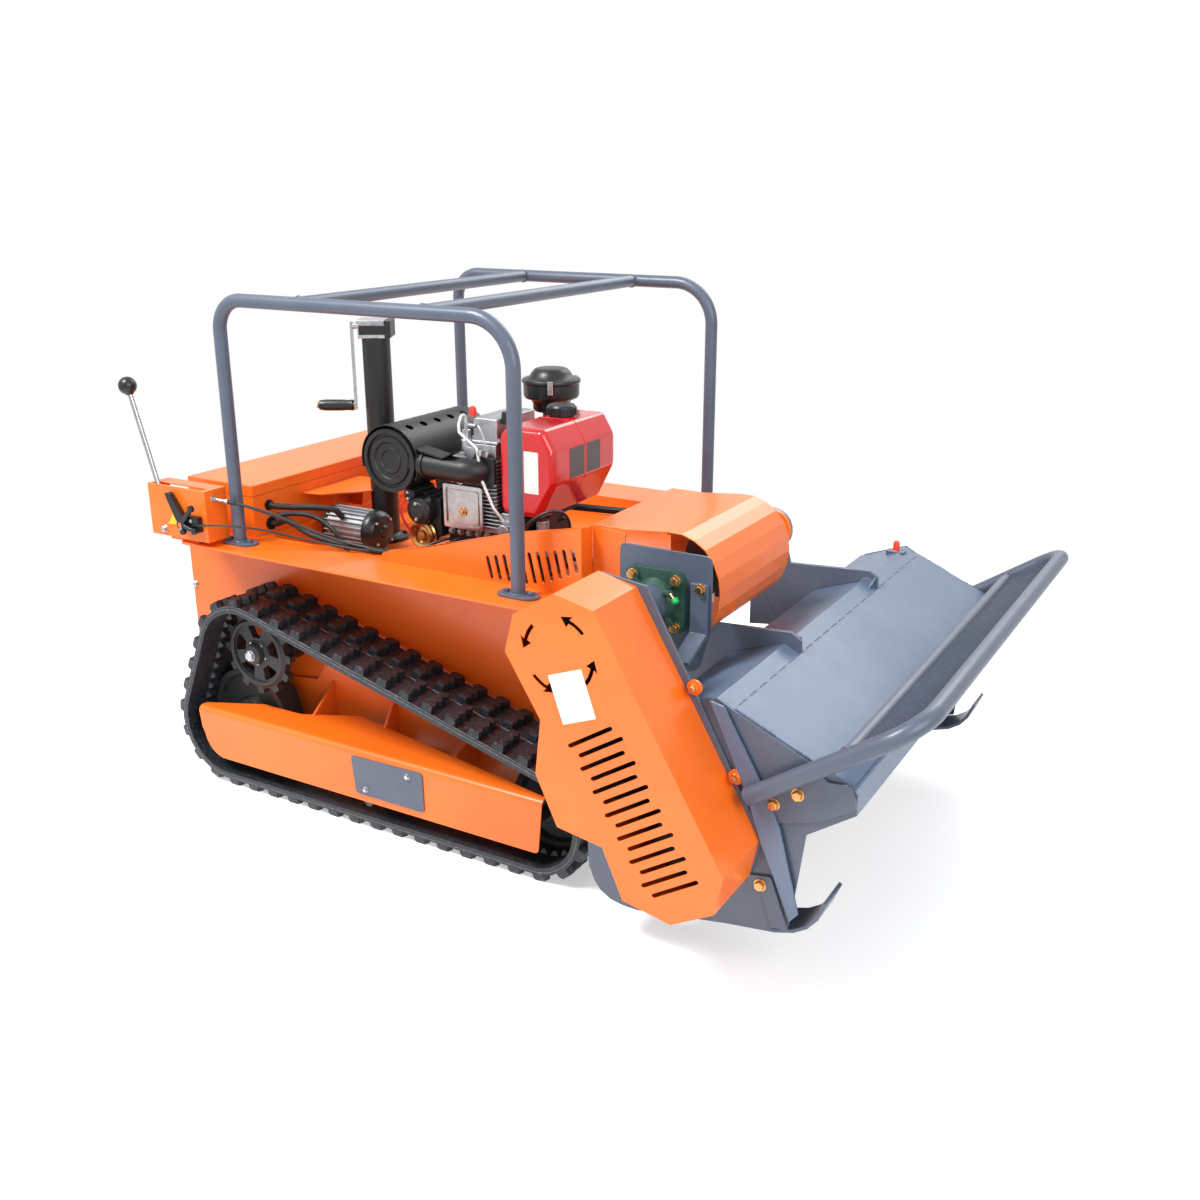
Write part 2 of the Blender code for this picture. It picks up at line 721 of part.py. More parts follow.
def build_sprocket(side, word):
    """Toothed drive wheel with five windows, its hub and stub shaft."""
    middle = side * SPROCKET_Y
    teeth = []
    for i in range(SPROCKET_TEETH):
        base = 360 / SPROCKET_TEETH * i
        for turn, radius in ((-9, SPROCKET_ROOT), (-5, SPROCKET_TIP), (5, SPROCKET_TIP), (9, SPROCKET_ROOT)):
            teeth += arc((SPROCKET_X, SPROCKET_Z), radius, base + turn, base + turn, 1)[:1]
    loops = [teeth]
    for i in range(5):
        base = 72 * i + 18
        loops.append(arc((SPROCKET_X, SPROCKET_Z), 0.082, base - 24, base + 24, 5)
                     + arc((SPROCKET_X, SPROCKET_Z), 0.046, base + 18, base - 18, 3))
    half = SPROCKET_T / 2
    pivot = (SPROCKET_X, middle, SPROCKET_Z)
    made = part(f"sprocket_{word}", outline_mesh(loops, middle - half, middle + half), "iron", pivot)
    hub_out = side * (SPROCKET_Y + half + 0.022)
    hub_in = side * (SPROCKET_Y - half - 0.012)
    fuse(made, rod_mesh((SPROCKET_X, hub_in, SPROCKET_Z), (SPROCKET_X, hub_out, SPROCKET_Z), 0.032, 24))
    motor_face = side * (HULL_HALF + 0.052 + GAP)
    fuse(made, rod_mesh((SPROCKET_X, side * SPROCKET_Y, SPROCKET_Z), (SPROCKET_X, motor_face, SPROCKET_Z),
                        0.020, 20))
    part(f"drive_motor_{word}", rod_mesh((SPROCKET_X, side * (HULL_HALF + GAP), SPROCKET_Z),
                                         (SPROCKET_X, side * (HULL_HALF + 0.052), SPROCKET_Z), 0.055, 24),
         "black", round_piece=True)


def build_wheel(name, x, z, radius, width, side, finish):
    """A plain wheel with a hollowed outer side, bored for its axle."""
    half = width / 2
    profile = [(AXLE_R + RUN, half), (0.045, half), (0.052, half - 0.016), (radius - 0.024, half - 0.016),
               (radius - 0.016, half), (radius, half), (radius, -half), (AXLE_R + RUN, -half),
               (AXLE_R + RUN, half)]
    middle = (x, side * WHEEL_Y, z)
    part(name, turned_mesh(profile, middle, (0, side, 0), 36), finish, middle, True)


def build_roller(name, x, z, side):
    half = ROLLER_W / 2
    profile = [(AXLE_R + RUN, half), (ROLLER_R - 0.004, half), (ROLLER_R, half - 0.004),
               (ROLLER_R, -half + 0.004), (ROLLER_R - 0.004, -half), (AXLE_R + RUN, -half),
               (AXLE_R + RUN, half)]
    middle = (x, side * WHEEL_Y, z)
    part(name, turned_mesh(profile, middle, (0, side, 0), 24), "iron", middle, True)


def build_track_frame(side, word, wheels):
    """Skirt, shelf, inner plate, ribs and the fixed axles of one track."""
    skirt_out = side * TRACK_OUTER
    skirt_in = side * (TRACK_OUTER - SKIRT_T)
    skirt = ([(-0.212, SKIRT_TOP), (-0.200, 0.140)] + arc((-0.130, 0.148), 0.070, 190, 262, 4)
             + [(0.893, SKIRT_LOW), (0.905, SKIRT_LOW + 0.010), (0.917, SKIRT_TOP)])
    frame = part(f"track_frame_{word}", outline_mesh([skirt], *sorted((skirt_out, skirt_in))), "orange")
    shelf = [(-0.210, TRACK_OUTER - 0.002), (0.915, TRACK_OUTER - 0.002), (0.912, 0.478), (0.225, 0.330),
             (0.075, 0.402), (-0.060, 0.402), (-0.208, 0.470)]
    fuse(frame, outline_mesh([[(x, side * y) for x, y in shelf]], SKIRT_TOP - SKIRT_T, SKIRT_TOP, "XY"))
    plate_out = side * (HULL_HALF + GAP + 0.012)
    plate_in = side * (HULL_HALF + GAP)
    plate = [(-0.190, 0.120), (0.900, 0.120), (0.905, 0.205), (0.640, 0.290), (0.300, 0.370),
             (0.090, 0.345), (0.050, 0.285), (-0.150, 0.262)]
    fuse(frame, outline_mesh([plate], *sorted((plate_out, plate_in))))
    ribs = []
    for x, top, reach in ((0.110, 0.300, 0.395), (0.330, 0.318, 0.360), (0.600, 0.262, 0.415)):
        rib = [(side * (HULL_HALF + 0.004), 0.120), (side * (reach + 0.02), 0.120),
               (side * (reach + 0.02), SKIRT_TOP - 0.002), (side * reach, SKIRT_TOP - 0.002 + 0.004),
               (side * (HULL_HALF + 0.004), top)]
        ribs.append(outline_mesh([rib], x - 0.003, x + 0.003, "YZ"))
    fuse(frame, *ribs)
    axles = [rod_mesh((x, side * (HULL_HALF + 0.004), z), (x, side * (TRACK_OUTER - 0.002), z), AXLE_R, 20)
             for x, z in wheels]
    fuse(frame, *axles)


def build_tracks():
    rear, front, _ = track_wheels()
    clear = math.cos(math.radians(6.0))
    for side, word in ((-1, "right"), (1, "left")):
        build_belt(side, word)
        build_sprocket(side, word)
        idlers = []
        for label, (x, z, radius) in (("rear", rear), ("front", front)):
            build_wheel(f"{label}_idler_{word}", x, z, (radius - BELT_T) * clear - GAP, IDLER_W, side, "iron")
            idlers.append((x, z))
        roller_z = LUG_H + BELT_T + GAP + ROLLER_R
        for x in ROLLER_X:
            build_roller(f"road_roller_{word}", x, roller_z, side)
            idlers.append((x, roller_z))
        build_track_frame(side, word, idlers)


# ---- engine, tank, muffler and jack --------------------------------------------------------
def build_engine():
    """Crankcase, finned cylinder, starter and drive boss as one casting with its covers apart."""
    x0, x1 = ENGINE_X
    near = -ENGINE_Y
    far = INPUT_Y[0] - 0.012
    block = part("engine_block", box_mesh((x0, near + 0.031, BED_Z + GAP), (x1, far, 0.820)), "black")
    narrow = TANK_LOW[0] - 0.008
    low_fins = TANK_LOW[2] - 0.008
    fins = [box_mesh((x0 + 0.035, near + 0.012, 0.785), (x1 - 0.018, far - 0.004, low_fins - 0.004)),
            box_mesh((x0 + 0.035, near + 0.012, low_fins - 0.010), (narrow - 0.008, far - 0.004, 0.975))]
    for i in range(8):
        z = 0.838 + 0.017 * i
        front = x1 - 0.010 if z + 0.005 <= low_fins else narrow
        fins.append(box_mesh((x0 + 0.030, near, z), (front, far, z + 0.005)))
    fuse(block, *fins)
    fuse(block, box_mesh((x0 + 0.080, near + 0.015, 0.970), (narrow - 0.008, far - 0.01, 1.004)))
    fuse(block, box_mesh((x0 + 0.006, near, 0.790), (x0 + 0.135, near + 0.030, 0.902)))
    fuse(block, rod_mesh((0.455, -0.335, 0.828), (0.455, -0.170, 0.828), 0.036, 24),
         box_mesh((0.470, -0.230, 0.800), (x0 + 0.002, -0.180, 0.845)))
    fuse(block, turned_mesh([(0.0, 0.020), (0.022, 0.020), (0.036, 0.012), (0.036, -0.012), (0.030, -0.020),
                             (0.030, -0.100), (0.0, -0.100)], (0.452, -0.298, 0.762), (0, -1, 0), 28),
         box_mesh((0.455, -0.250, 0.745), (x0 + 0.002, -0.205, 0.782)))
    bracket_z = TANK_LOW[2] - 0.008
    fuse(block, box_mesh((TANK_LOW[0] + 0.02, TANK_LOW[1] + 0.06, bracket_z),
                         (TANK_HIGH[0] - TANK_LOW_CHAMFER[0], far - 0.01, TANK_LOW[2] - GAP)),
         box_mesh((x1 - 0.012, TANK_LOW[1] + 0.08, 0.700), (x1 + 0.008, far - 0.02, TANK_LOW[2] - 0.004)))
    cut(block, rod_mesh((CRANK_X, far - 0.03, CRANK_Z), (CRANK_X, far + 0.02, CRANK_Z), 0.0165, 20))

    part("rocker_cover", box_mesh((0.586, near + 0.020, 1.004 + GAP), (0.664, far - 0.02, 1.072)), "alloy")
    pulley = part("crank_pulley", turned_mesh(pulley_profile(CRANK_PULLEY_R, 0.045, 0.0),
                                              (CRANK_X, INPUT_Y[0] + 0.0225, CRANK_Z), (0, 1, 0), 28), "iron",
                  (CRANK_X, INPUT_Y[0], CRANK_Z), True)
    fuse(pulley, rod_mesh((CRANK_X, far - 0.025, CRANK_Z), (CRANK_X, INPUT_Y[1], CRANK_Z), 0.016, 18))


def build_tank():
    low, high = TANK_LOW, TANK_HIGH
    top, under = TANK_TOP_CHAMFER, TANK_LOW_CHAMFER
    side = [(low[0], low[2] + 0.012), (low[0] + 0.012, low[2]), (high[0] - under[0], low[2]),
            (high[0], low[2] + under[1]), (high[0], high[2] - top[1]), (high[0] - top[0], high[2]),
            (low[0] + 0.020, high[2]), (low[0], high[2] - 0.020)]
    tank = part("fuel_tank", outline_mesh([side], low[1], high[1]), "red")
    bevel = tank.modifiers.new("edges", "BEVEL")
    bevel.width = 0.010
    bevel.segments = 2
    bevel.limit_method = "ANGLE"
    bevel.angle_limit = math.radians(50)
    cap = (*FUEL_CAP_AT, high[2] + GAP)
    rim = FUEL_CAP_R
    part("fuel_cap", turned_mesh([(0.0, 0.028), (rim - 0.014, 0.028), (rim - 0.003, 0.022), (rim, 0.004), (rim, 0.0),
                                  (0.0, 0.0)], cap, (0, 0, 1), 28), "black", cap, True)


def build_exhaust():
    near, far = MUFFLER_Y
    centre = (MUFFLER_X, near, MUFFLER_Z)
    length = far - near
    profile = [(0.0, -0.004), (0.030, -0.004), (0.034, 0.0), (0.050, 0.0), (0.054, -0.004), (0.064, -0.004),
               (MUFFLER_R, 0.006), (MUFFLER_R, length - 0.006), (MUFFLER_R - 0.008, length), (0.0, length)]
    profile.reverse()
    muffler = part("muffler", turned_mesh(profile, centre, (0, 1, 0), 32), "black", round_piece=True)
    ring = arc((MUFFLER_X, MUFFLER_Z), MUFFLER_R + 0.009, -35, 175, 18)
    inner = arc((MUFFLER_X, MUFFLER_Z), MUFFLER_R + 0.006, 175, -35, 18)
    fuse(muffler, outline_mesh([ring + inner], near + 0.012, far - 0.02))
    posts = [rod_mesh((MUFFLER_X + (MUFFLER_R - 0.004) * math.cos(a), y,
                       MUFFLER_Z + (MUFFLER_R - 0.004) * math.sin(a)),
                      (MUFFLER_X + (MUFFLER_R + 0.0075) * math.cos(a), y,
                       MUFFLER_Z + (MUFFLER_R + 0.0075) * math.sin(a)), 0.006, 10)
             for a in (math.radians(20), math.radians(120)) for y in (near + 0.05, far - 0.06)]
    fuse(muffler, *posts)
    fuse(muffler, rod_mesh((MUFFLER_X + 0.02, -0.225, 0.935), (ENGINE_X[0] + 0.030 - GAP, -0.225, 0.935),
                           0.030, 24))


def build_filter():
    centre = (FILTER_X, FILTER_Y, 1.060)
    profile = [(0.0, 0.078), (0.030, 0.078), (0.034, 0.074), (0.050, 0.072), (0.066, 0.060), (FILTER_R, 0.052),
               (FILTER_R, 0.044), (0.070, 0.040), (0.070, 0.006), (0.062, 0.0), (0.0, 0.0)]
    cleaner = part("air_filter", turned_mesh(profile, centre, (0, 0, 1), 32), "black", round_piece=True)
    x, y, z = centre
    far = INPUT_Y[0] - 0.012
    path = bend_path([(x, y, z + 0.01), (x, y, 0.955), (x, far + GAP, 0.955)], (0.045,), 5)
    fuse(cleaner, tube_mesh(path, 0.024))


def build_generator():
    y, z = -0.215, BED_Z + 0.0575
    body = part("generator", rod_mesh((0.075, y, z), (0.255, y, z), 0.048, 24), "alloy")
    ribs = [box_mesh((0.080, y - 0.003, z + 0.02), (0.250, y + 0.003, z + 0.056))]
    for turn in (-60, -30, 30, 60, 90):
        rib = box_mesh((0.080, y - 0.003, z + 0.02), (0.250, y + 0.003, z + 0.056))
        spin = (Matrix.Translation((0, y, z)) @ Matrix.Rotation(math.radians(turn), 4, "X")
                @ Matrix.Translation((0, -y, -z)))
        rib.transform(spin)
        ribs.append(rib)
    fuse(body, *ribs)
    fuse(body, box_mesh((0.090, y - 0.030, BED_Z + GAP), (0.240, y + 0.030, z - 0.03)))
    fuse(body, turned_mesh([(0.0, 0.040), (0.020, 0.040), (0.046, 0.030), (0.056, 0.014), (0.056, 0.0),
                            (0.0, 0.0)], (0.250, y, z), (1, 0, 0), 28))


def build_jack():
    """Crank jack: column, gear head, crank arm and its turning grip."""
    base = (JACK_X, JACK_Y, BED_Z + GAP)
    column = part("jack_column", rod_mesh(base, (JACK_X, JACK_Y, JACK_TOP), JACK_R, 28), "black",
                  round_piece=True)
    fuse(column, rod_mesh(base, (JACK_X, JACK_Y, BED_Z + GAP + 0.010), 0.060, 28))
    turn = Matrix.Translation((JACK_X, JACK_Y, 0)) @ Matrix.Rotation(JACK_YAW, 4, "Z")
    head = box_mesh((-0.042, -0.036, JACK_TOP + GAP), (0.040, 0.036, JACK_TOP + 0.050))
    head.transform(turn)
    part("jack_head", head, "steel")
    shaft_z = JACK_TOP + 0.030
    pivot = turn @ Vector((-0.042 - GAP, 0, shaft_z))
    arm = part("crank_arm", moved(rod_mesh((-0.042 - GAP, 0, shaft_z), (-0.066, 0, shaft_z), 0.008, 14), turn),
               "steel", pivot)
    fuse(arm, moved(box_mesh((-0.066, -0.008, shaft_z - CRANK_REACH), (-0.060, 0.008, shaft_z + 0.010)), turn))
    fuse(arm, moved(rod_mesh((-0.062, 0, shaft_z - CRANK_REACH + 0.012),
                             (-0.168, 0, shaft_z - CRANK_REACH + 0.012), 0.005, 12), turn))
    grip_z = shaft_z - CRANK_REACH + 0.012
    place = turn @ Vector((-0.115, 0, grip_z))
    grip = turned_mesh([(0.005 + RUN, 0.047), (GRIP_R - 0.003, 0.047), (GRIP_R, 0.042), (GRIP_R, -0.042),
                        (GRIP_R - 0.003, -0.047), (0.005 + RUN, -0.047), (0.005 + RUN, 0.047)],
                       (0, 0, 0), (1, 0, 0), 20)
    grip.transform(turn @ Matrix.Translation((-0.115, 0, grip_z)))
    part("crank_grip", grip, "black", place, True)


def moved(mesh, matrix):
    mesh.transform(matrix)
    return mesh


# ---- operator controls ---------------------------------------------------------------------
def build_controls():
    (x0, y0, z0), (x1, y1, z1) = LEVER_BOX
    case = part("lever_box", box_mesh((x0, y0, z0), (x1, y1, z1)), "orange")
    wall = 0.003
    cut(case, box_mesh((x0 + wall, y0 + wall, z0 + wall), (x1 - wall, y1 + 0.1, z1 - wall)))
    fuse(case, box_mesh((x0 + 0.050, y0 + 0.015, DECK_Z + GAP), (x0 + 0.150, y1 - 0.012, z0 + 0.001)))
    px, py, pz = LEVER_PIVOT
    cut(case, box_mesh((x0 + 0.008, py - 0.010, z1 - 0.02), (x1 - 0.018, py + 0.010, z1 + 0.02)))
    fuse(case, rod_mesh((px, y0 + 0.001, pz), (px, y1 - 0.006, pz), 0.006, 16))

    top = Vector((px - LEVER_LENGTH * math.sin(LEVER_LEAN), py, pz + LEVER_LENGTH * math.cos(LEVER_LEAN)))
    lever = part("control_lever", rod_mesh(LEVER_PIVOT, top, 0.0065, 16), "steel", LEVER_PIVOT, True)
    fuse(lever, rod_mesh((px, py - 0.012, pz), (px, py + 0.012, pz), 0.013, 18))
    cut(lever, rod_mesh((px, py - 0.02, pz), (px, py + 0.02, pz), 0.006 + RUN, 18))
    along = (top - Vector(LEVER_PIVOT)).normalized()
    part("lever_knob", ball_mesh(top + along * (KNOB_R + GAP), KNOB_R), "black", LEVER_PIVOT, True)

    tx, tz = THROTTLE_PIVOT
    face = y0 - GAP
    fuse(case, rod_mesh((tx, face + 0.002, tz), (tx, face - 0.030, tz), 0.006, 14))
    pivot = (tx, face - 0.010, tz)
    arm = [(tx - 0.010, tz - 0.018), (tx + 0.014, tz - 0.016), (tx + 0.020, tz + 0.008), (tx - 0.004, tz + 0.022),
           (tx - 0.042, tz + 0.078), (tx - 0.058, tz + 0.074), (tx - 0.030, tz + 0.016)]
    lever = part("throttle_lever", outline_mesh([rounded(arm, 0.006), circle((tx, tz), 0.006 + RUN, 16)],
                                                face - 0.018, face - 0.004), "black", pivot)
    return lever


CABLE_ROUTES = {
    "control_cable": (0.004, [(-0.034, -0.520, 0.838), (0.010, -0.515, 0.836), (0.060, -0.500, 0.826),
                              (0.130, -0.470, 0.800), (0.215, -0.440, 0.768), (0.300, -0.412, 0.744),
                              (0.380, -0.385, 0.732), (0.440, -0.352, 0.729), (0.475, -0.335, 0.740),
                              (0.505, -0.310, 0.753), (0.520, -0.282, 0.756), (0.520, -0.2648, 0.756)]),
    "throttle_cable": (0.0025, [(-0.0765, -0.577, 0.7768), (-0.040, -0.578, 0.782), (0.020, -0.560, 0.786),
                                (0.090, -0.516, 0.776), (0.170, -0.470, 0.755), (0.260, -0.432, 0.738),
                                (0.350, -0.402, 0.728), (0.430, -0.374, 0.7240), (0.480, -0.356, 0.730),
                                (0.522, -0.325, 0.748), (0.548, -0.284, 0.762), (0.548, -0.2648, 0.762)]),
    "wiring_conduit": (0.009, [(-0.020, -0.375, 0.795), (0.002, -0.375, 0.795), (0.020, -0.375, 0.795), (0.062, -0.355, 0.793),
                               (0.102, -0.318, 0.789), (0.132, -0.278, 0.778), (0.135, -0.2632, 0.7657),
                               (0.135, -0.2497, 0.7522)]),
}


def smooth_route(points, per_span=5):
    """Catmull-Rom points through a route."""
    line = [Vector(p) for p in points]
    ends = [line[0] * 2 - line[1]] + line + [line[-1] * 2 - line[-2]]
    made = []
    for i in range(1, len(ends) - 2):
        a, b, c, d = ends[i - 1:i + 3]
        for step in range(per_span):
            t = step / per_span
            made.append(0.5 * ((2 * b) + (c - a) * t + (2 * a - 5 * b + 4 * c - d) * t ** 2
                               + (3 * b - a - 3 * c + d) * t ** 3))
    made.append(line[-1])
    return made


def build_cables():
    for name, (radius, points) in CABLE_ROUTES.items():
        part(name, tube_mesh(smooth_route(points, 3), radius, 2), "black", round_piece=True)


# ---- flail head ----------------------------------------------------------------------------
GUARD_OUTLINE = [(1.054, 0.804), (1.149, 0.863), (1.237, 0.843), (1.522, 0.353), (1.505, 0.269),
                 (1.411, 0.216), (1.303, 0.238), (1.256, 0.345), (1.150, 0.362), (1.100, 0.470),
                 (1.114, 0.592), (1.033, 0.723)]


def pulley_profile(radius, width, bore):
    """A flat-flanged belt pulley, (radius, height) from the top of its bore round to the start."""
    half = width / 2
    rim = [(bore, half), (radius + 0.006, half), (radius + 0.006, half - 0.004), (radius, half - 0.004),
           (radius, -half + 0.004), (radius + 0.006, -half + 0.004), (radius + 0.006, -half), (bore, -half)]
    return rim + [(bore, half)] if bore else rim


SHELL_LINE = [(1.712, 0.452), (1.706, 0.502), (1.452, 0.616), (1.415, 0.634), (1.290, 0.590), (1.195, 0.480),
              (1.150, 0.350), (1.166, 0.240)]
SKID_LINE = [(1.105, 0.160), (1.125, 0.118), (1.165, 0.094), (1.225, 0.083), (1.450, 0.117), (1.570, 0.137),
             (1.640, 0.185), (1.690, 0.270)]


def build_side_plate(side, word):
    """End plate of the head with its bent wear skid welded along the bottom."""
    outline = [(1.300, 0.600), (1.415, 0.640), (1.450, 0.608), (1.581, 0.534), (1.650, 0.523), (1.700, 0.516),
               (1.716, 0.498), (1.716, 0.456), (1.617, 0.387), (1.602, 0.262)]
    outline += SKID_LINE[5:1:-1] + [(1.105, 0.140), (1.066, 0.180), (1.090, 0.360), (1.180, 0.500)]
    faces = sorted((side * HEAD_HALF, side * (HEAD_HALF - HEAD_PLATE_T)))
    bore = circle((ROTOR_X, ROTOR_Z), ROTOR_SHAFT_R + 0.006)
    made = part(f"side_plate_{word}", outline_mesh([outline, bore], *faces), "slate")
    strap = sorted((side * (HEAD_HALF - 0.001), side * (HEAD_HALF - SKID_W)))
    fuse(made, strip_mesh(SKID_LINE, *strap, SKID_T))


def build_head():
    for side, word in ((-1, "right"), (1, "left")):
        build_side_plate(side, word)
        build_lift_arm(side, word)
    across = HEAD_HALF - HEAD_PLATE_T - GAP
    part("head_shell", strip_mesh(SHELL_LINE, -across, across, HEAD_SHELL_T), "slate")
    build_rotor(across)
    build_drive()
    build_bumper()


def build_lift_arm(side, word):
    """Plate from the pivot boss to the head, its lower edge following the shell."""
    seat = offset_line(SHELL_LINE[2:6], HEAD_SHELL_T / 2 + GAP)
    outline = (arc((PIVOT_X, PIVOT_Z), 0.057, -40, 205, 14)
               + [(1.150, 0.560)] + seat[::-1] + [(1.452, 0.650), (1.430, 0.665), (1.275, 0.657),
                  (1.215, 0.654)])
    faces = sorted((side * (ARM_Y - ARM_T / 2), side * (ARM_Y + ARM_T / 2)))
    part(f"lift_arm_{word}", outline_mesh([outline, circle((PIVOT_X, PIVOT_Z), PIVOT_R + RUN, 32)], *faces),
         "slate")


def build_rotor(across):
    """Drum tube with cutters in staggered rows, on a shaft that ends in the belt drive."""
    centre = Vector((ROTOR_X, 0, ROTOR_Z))
    ends = across - 0.012
    rotor = part("rotor", rod_mesh(centre - Vector((0, ends, 0)), centre + Vector((0, ends, 0)),
                                   ROTOR_TUBE_R, 28), "iron", centre)
    pulley_y = -(HEAD_HALF + BACKPLATE_T + 0.030)
    shaft_end = pulley_y - PULLEY_W / 2 - 0.012
    fuse(rotor, rod_mesh((ROTOR_X, shaft_end, ROTOR_Z), (ROTOR_X, HEAD_HALF + 0.020, ROTOR_Z),
                         ROTOR_SHAFT_R, 24))
    teeth = []
    for column in range(FLAIL_COLUMNS):
        y = -ends + (column + 0.5) * 2 * ends / FLAIL_COLUMNS
        for turn in (0, 180):
            tooth = box_mesh((ROTOR_X - 0.012, y - 0.028, ROTOR_Z + ROTOR_TUBE_R - 0.010),
                             (ROTOR_X + 0.012, y + 0.028, ROTOR_Z + FLAIL_REACH))
            spin = math.radians(turn + 36 * column)
            tooth.transform(Matrix.Translation(centre) @ Matrix.Rotation(spin, 4, "Y")
                            @ Matrix.Translation(-centre))
            teeth.append(tooth)
    fuse(rotor, join_meshes(teeth))
    for side, word in ((-1, "right"), (1, "left")):
        face = side * (HEAD_HALF - HEAD_PLATE_T - GAP)
        inner = side * (HEAD_HALF - HEAD_PLATE_T - GAP - 0.010)
        ring = [circle((ROTOR_X, ROTOR_Z), 0.055, 24), circle((ROTOR_X, ROTOR_Z), ROTOR_SHAFT_R + RUN, 24)]
        part(f"rotor_bearing_{word}", outline_mesh(ring, *sorted((face, inner))), "green")


def build_drive():
    """Jackshaft, bearing, plates, pulleys, belt and guard on the machine's right side."""
    back_out = -(HEAD_HALF + GAP + BACKPLATE_T)
    back_in = -(HEAD_HALF + GAP)
    guard_back = back_out - GAP
    guard_face = guard_back - GUARD_DEPTH
    pulley_y = guard_back - 0.052
    pivot = (PIVOT_X, 0, PIVOT_Z)

    back = ([(1.040, 0.812), (1.140, 0.873), (1.244, 0.853)] + [(1.440, 0.512), (1.500, 0.330), (1.480, 0.270),
            (1.390, 0.235), (1.310, 0.262), (1.268, 0.352), (1.160, 0.372), (1.112, 0.470), (1.126, 0.592),
            (1.045, 0.723)])
    made = part("drive_backplate", outline_mesh([rounded(back, 0.012, 3),
                                                 circle((PIVOT_X, PIVOT_Z), SLEEVE_R + 0.004),
                                                 circle((ROTOR_X, ROTOR_Z), ROTOR_SHAFT_R + 0.006)],
                                                back_out, back_in), "slate")
    ears = []
    for x, z in ((1.372, 0.655), (1.468, 0.482)):
        ears.append(outline_mesh([circle((x, z), 0.019, 16)], back_out, back_in))
    fuse(made, *ears)

    guard = part("belt_guard", pan_mesh(GUARD_OUTLINE, guard_face, guard_back, GUARD_T), "orange")
    slot_run = Vector((ROTOR_X - PIVOT_X, ROTOR_Z - PIVOT_Z)).normalized()
    across = Vector((-slot_run.y, slot_run.x))
    slots = []
    for i in range(GUARD_SLOTS):
        along = 0.171 + 0.0261 * i
        sway = -0.012 if i % 2 else -0.024
        middle = Vector((PIVOT_X, PIVOT_Z)) + slot_run * along + across * sway
        slots.append(outline_mesh([stadium(middle, across, SLOT_LENGTH, SLOT_W, 3)],
                                  guard_face - 0.01, guard_face + 0.01))
    cut(guard, join_meshes(slots))

    shaft = part("jackshaft", rod_mesh((PIVOT_X, pulley_y - PULLEY_W / 2 - 0.012, PIVOT_Z),
                                       (PIVOT_X, INPUT_Y[1] + 0.008, PIVOT_Z), JACKSHAFT_R, 24), "iron", pivot)
    fuse(shaft, rod_mesh((PIVOT_X, guard_back - 0.010, PIVOT_Z),
                         (PIVOT_X, -BEARING_PLATE_Y - BEARING_DEPTH - GAP, PIVOT_Z), SLEEVE_R, 24))
    fuse(shaft, turned_mesh(pulley_profile(PULLEY_DRIVE_R, PULLEY_W, 0.0), (PIVOT_X, pulley_y, PIVOT_Z),
                            (0, 1, 0), 36))
    fuse(shaft, turned_mesh(pulley_profile(INPUT_PULLEY_R, INPUT_Y[1] - INPUT_Y[0], 0.0),
                            (PIVOT_X, sum(INPUT_Y) / 2, PIVOT_Z), (0, 1, 0), 36))
    fuse(bpy.data.objects["rotor"], turned_mesh(pulley_profile(PULLEY_ROTOR_R, PULLEY_W, 0.0),
                                                (ROTOR_X, pulley_y, ROTOR_Z), (0, 1, 0), 32))
    build_v_belt("drive_belt", [(PIVOT_X, PIVOT_Z, PULLEY_DRIVE_R), (ROTOR_X, ROTOR_Z, PULLEY_ROTOR_R)],
                 pulley_y, PULLEY_W)
    build_v_belt("engine_belt", [(CRANK_X, CRANK_Z, CRANK_PULLEY_R), (PIVOT_X, PIVOT_Z, INPUT_PULLEY_R)],
                 sum(INPUT_Y) / 2, INPUT_Y[1] - INPUT_Y[0])

    plate_out, plate_in = -BEARING_PLATE_Y, -BEARING_PLATE_Y + BEARING_PLATE_T
    plate = [(1.085, 0.862), (1.306, 0.860), (1.308, 0.700), (1.280, 0.600), (1.120, 0.560), (1.048, 0.530),
             (1.004, 0.530), (1.004, 0.610), (1.085, 0.660)]
    part("bearing_plate", outline_mesh([rounded(plate, 0.014, 3), circle((PIVOT_X, PIVOT_Z), 0.030)],
                                       plate_out, plate_in), "slate")
    half = BEARING_HALF
    square = rounded([(PIVOT_X - half, PIVOT_Z - half), (PIVOT_X + half, PIVOT_Z - half),
                      (PIVOT_X + half, PIVOT_Z + half), (PIVOT_X - half, PIVOT_Z + half)], 0.022, 4)
    bore = circle((PIVOT_X, PIVOT_Z), JACKSHAFT_R + RUN, 24)
    bearing = part("flange_bearing", outline_mesh([square, bore], plate_out - 0.014, plate_out - GAP), "green")
    fuse(bearing, outline_mesh([circle((PIVOT_X, PIVOT_Z), 0.052, 32), bore],
                               plate_out - BEARING_DEPTH, plate_out - 0.010))

    face = plate_out - GAP
    bar = [(face, 0.800), (face - 0.010, 0.800), (face - 0.010, 0.690), (face - 0.095, 0.655),
           (face - 0.091, 0.646), (face, 0.682)]
    part("bearing_strut", outline_mesh([bar], 1.262, 1.302, "YZ"), "slate")


def build_v_belt(name, wheels, middle, width):
    wheels = sorted(wheels)
    runs = belt_runs([(x, z, radius + GAP + 0.0006) for x, z, radius in wheels])
    outer = arc_outline(runs, DRIVE_BELT_T, 10)
    inner = arc_outline(runs, 0.0, 10)
    half = width / 2 - 0.006
    part(name, outline_mesh([outer, inner], middle - half, middle + half), "rubber")


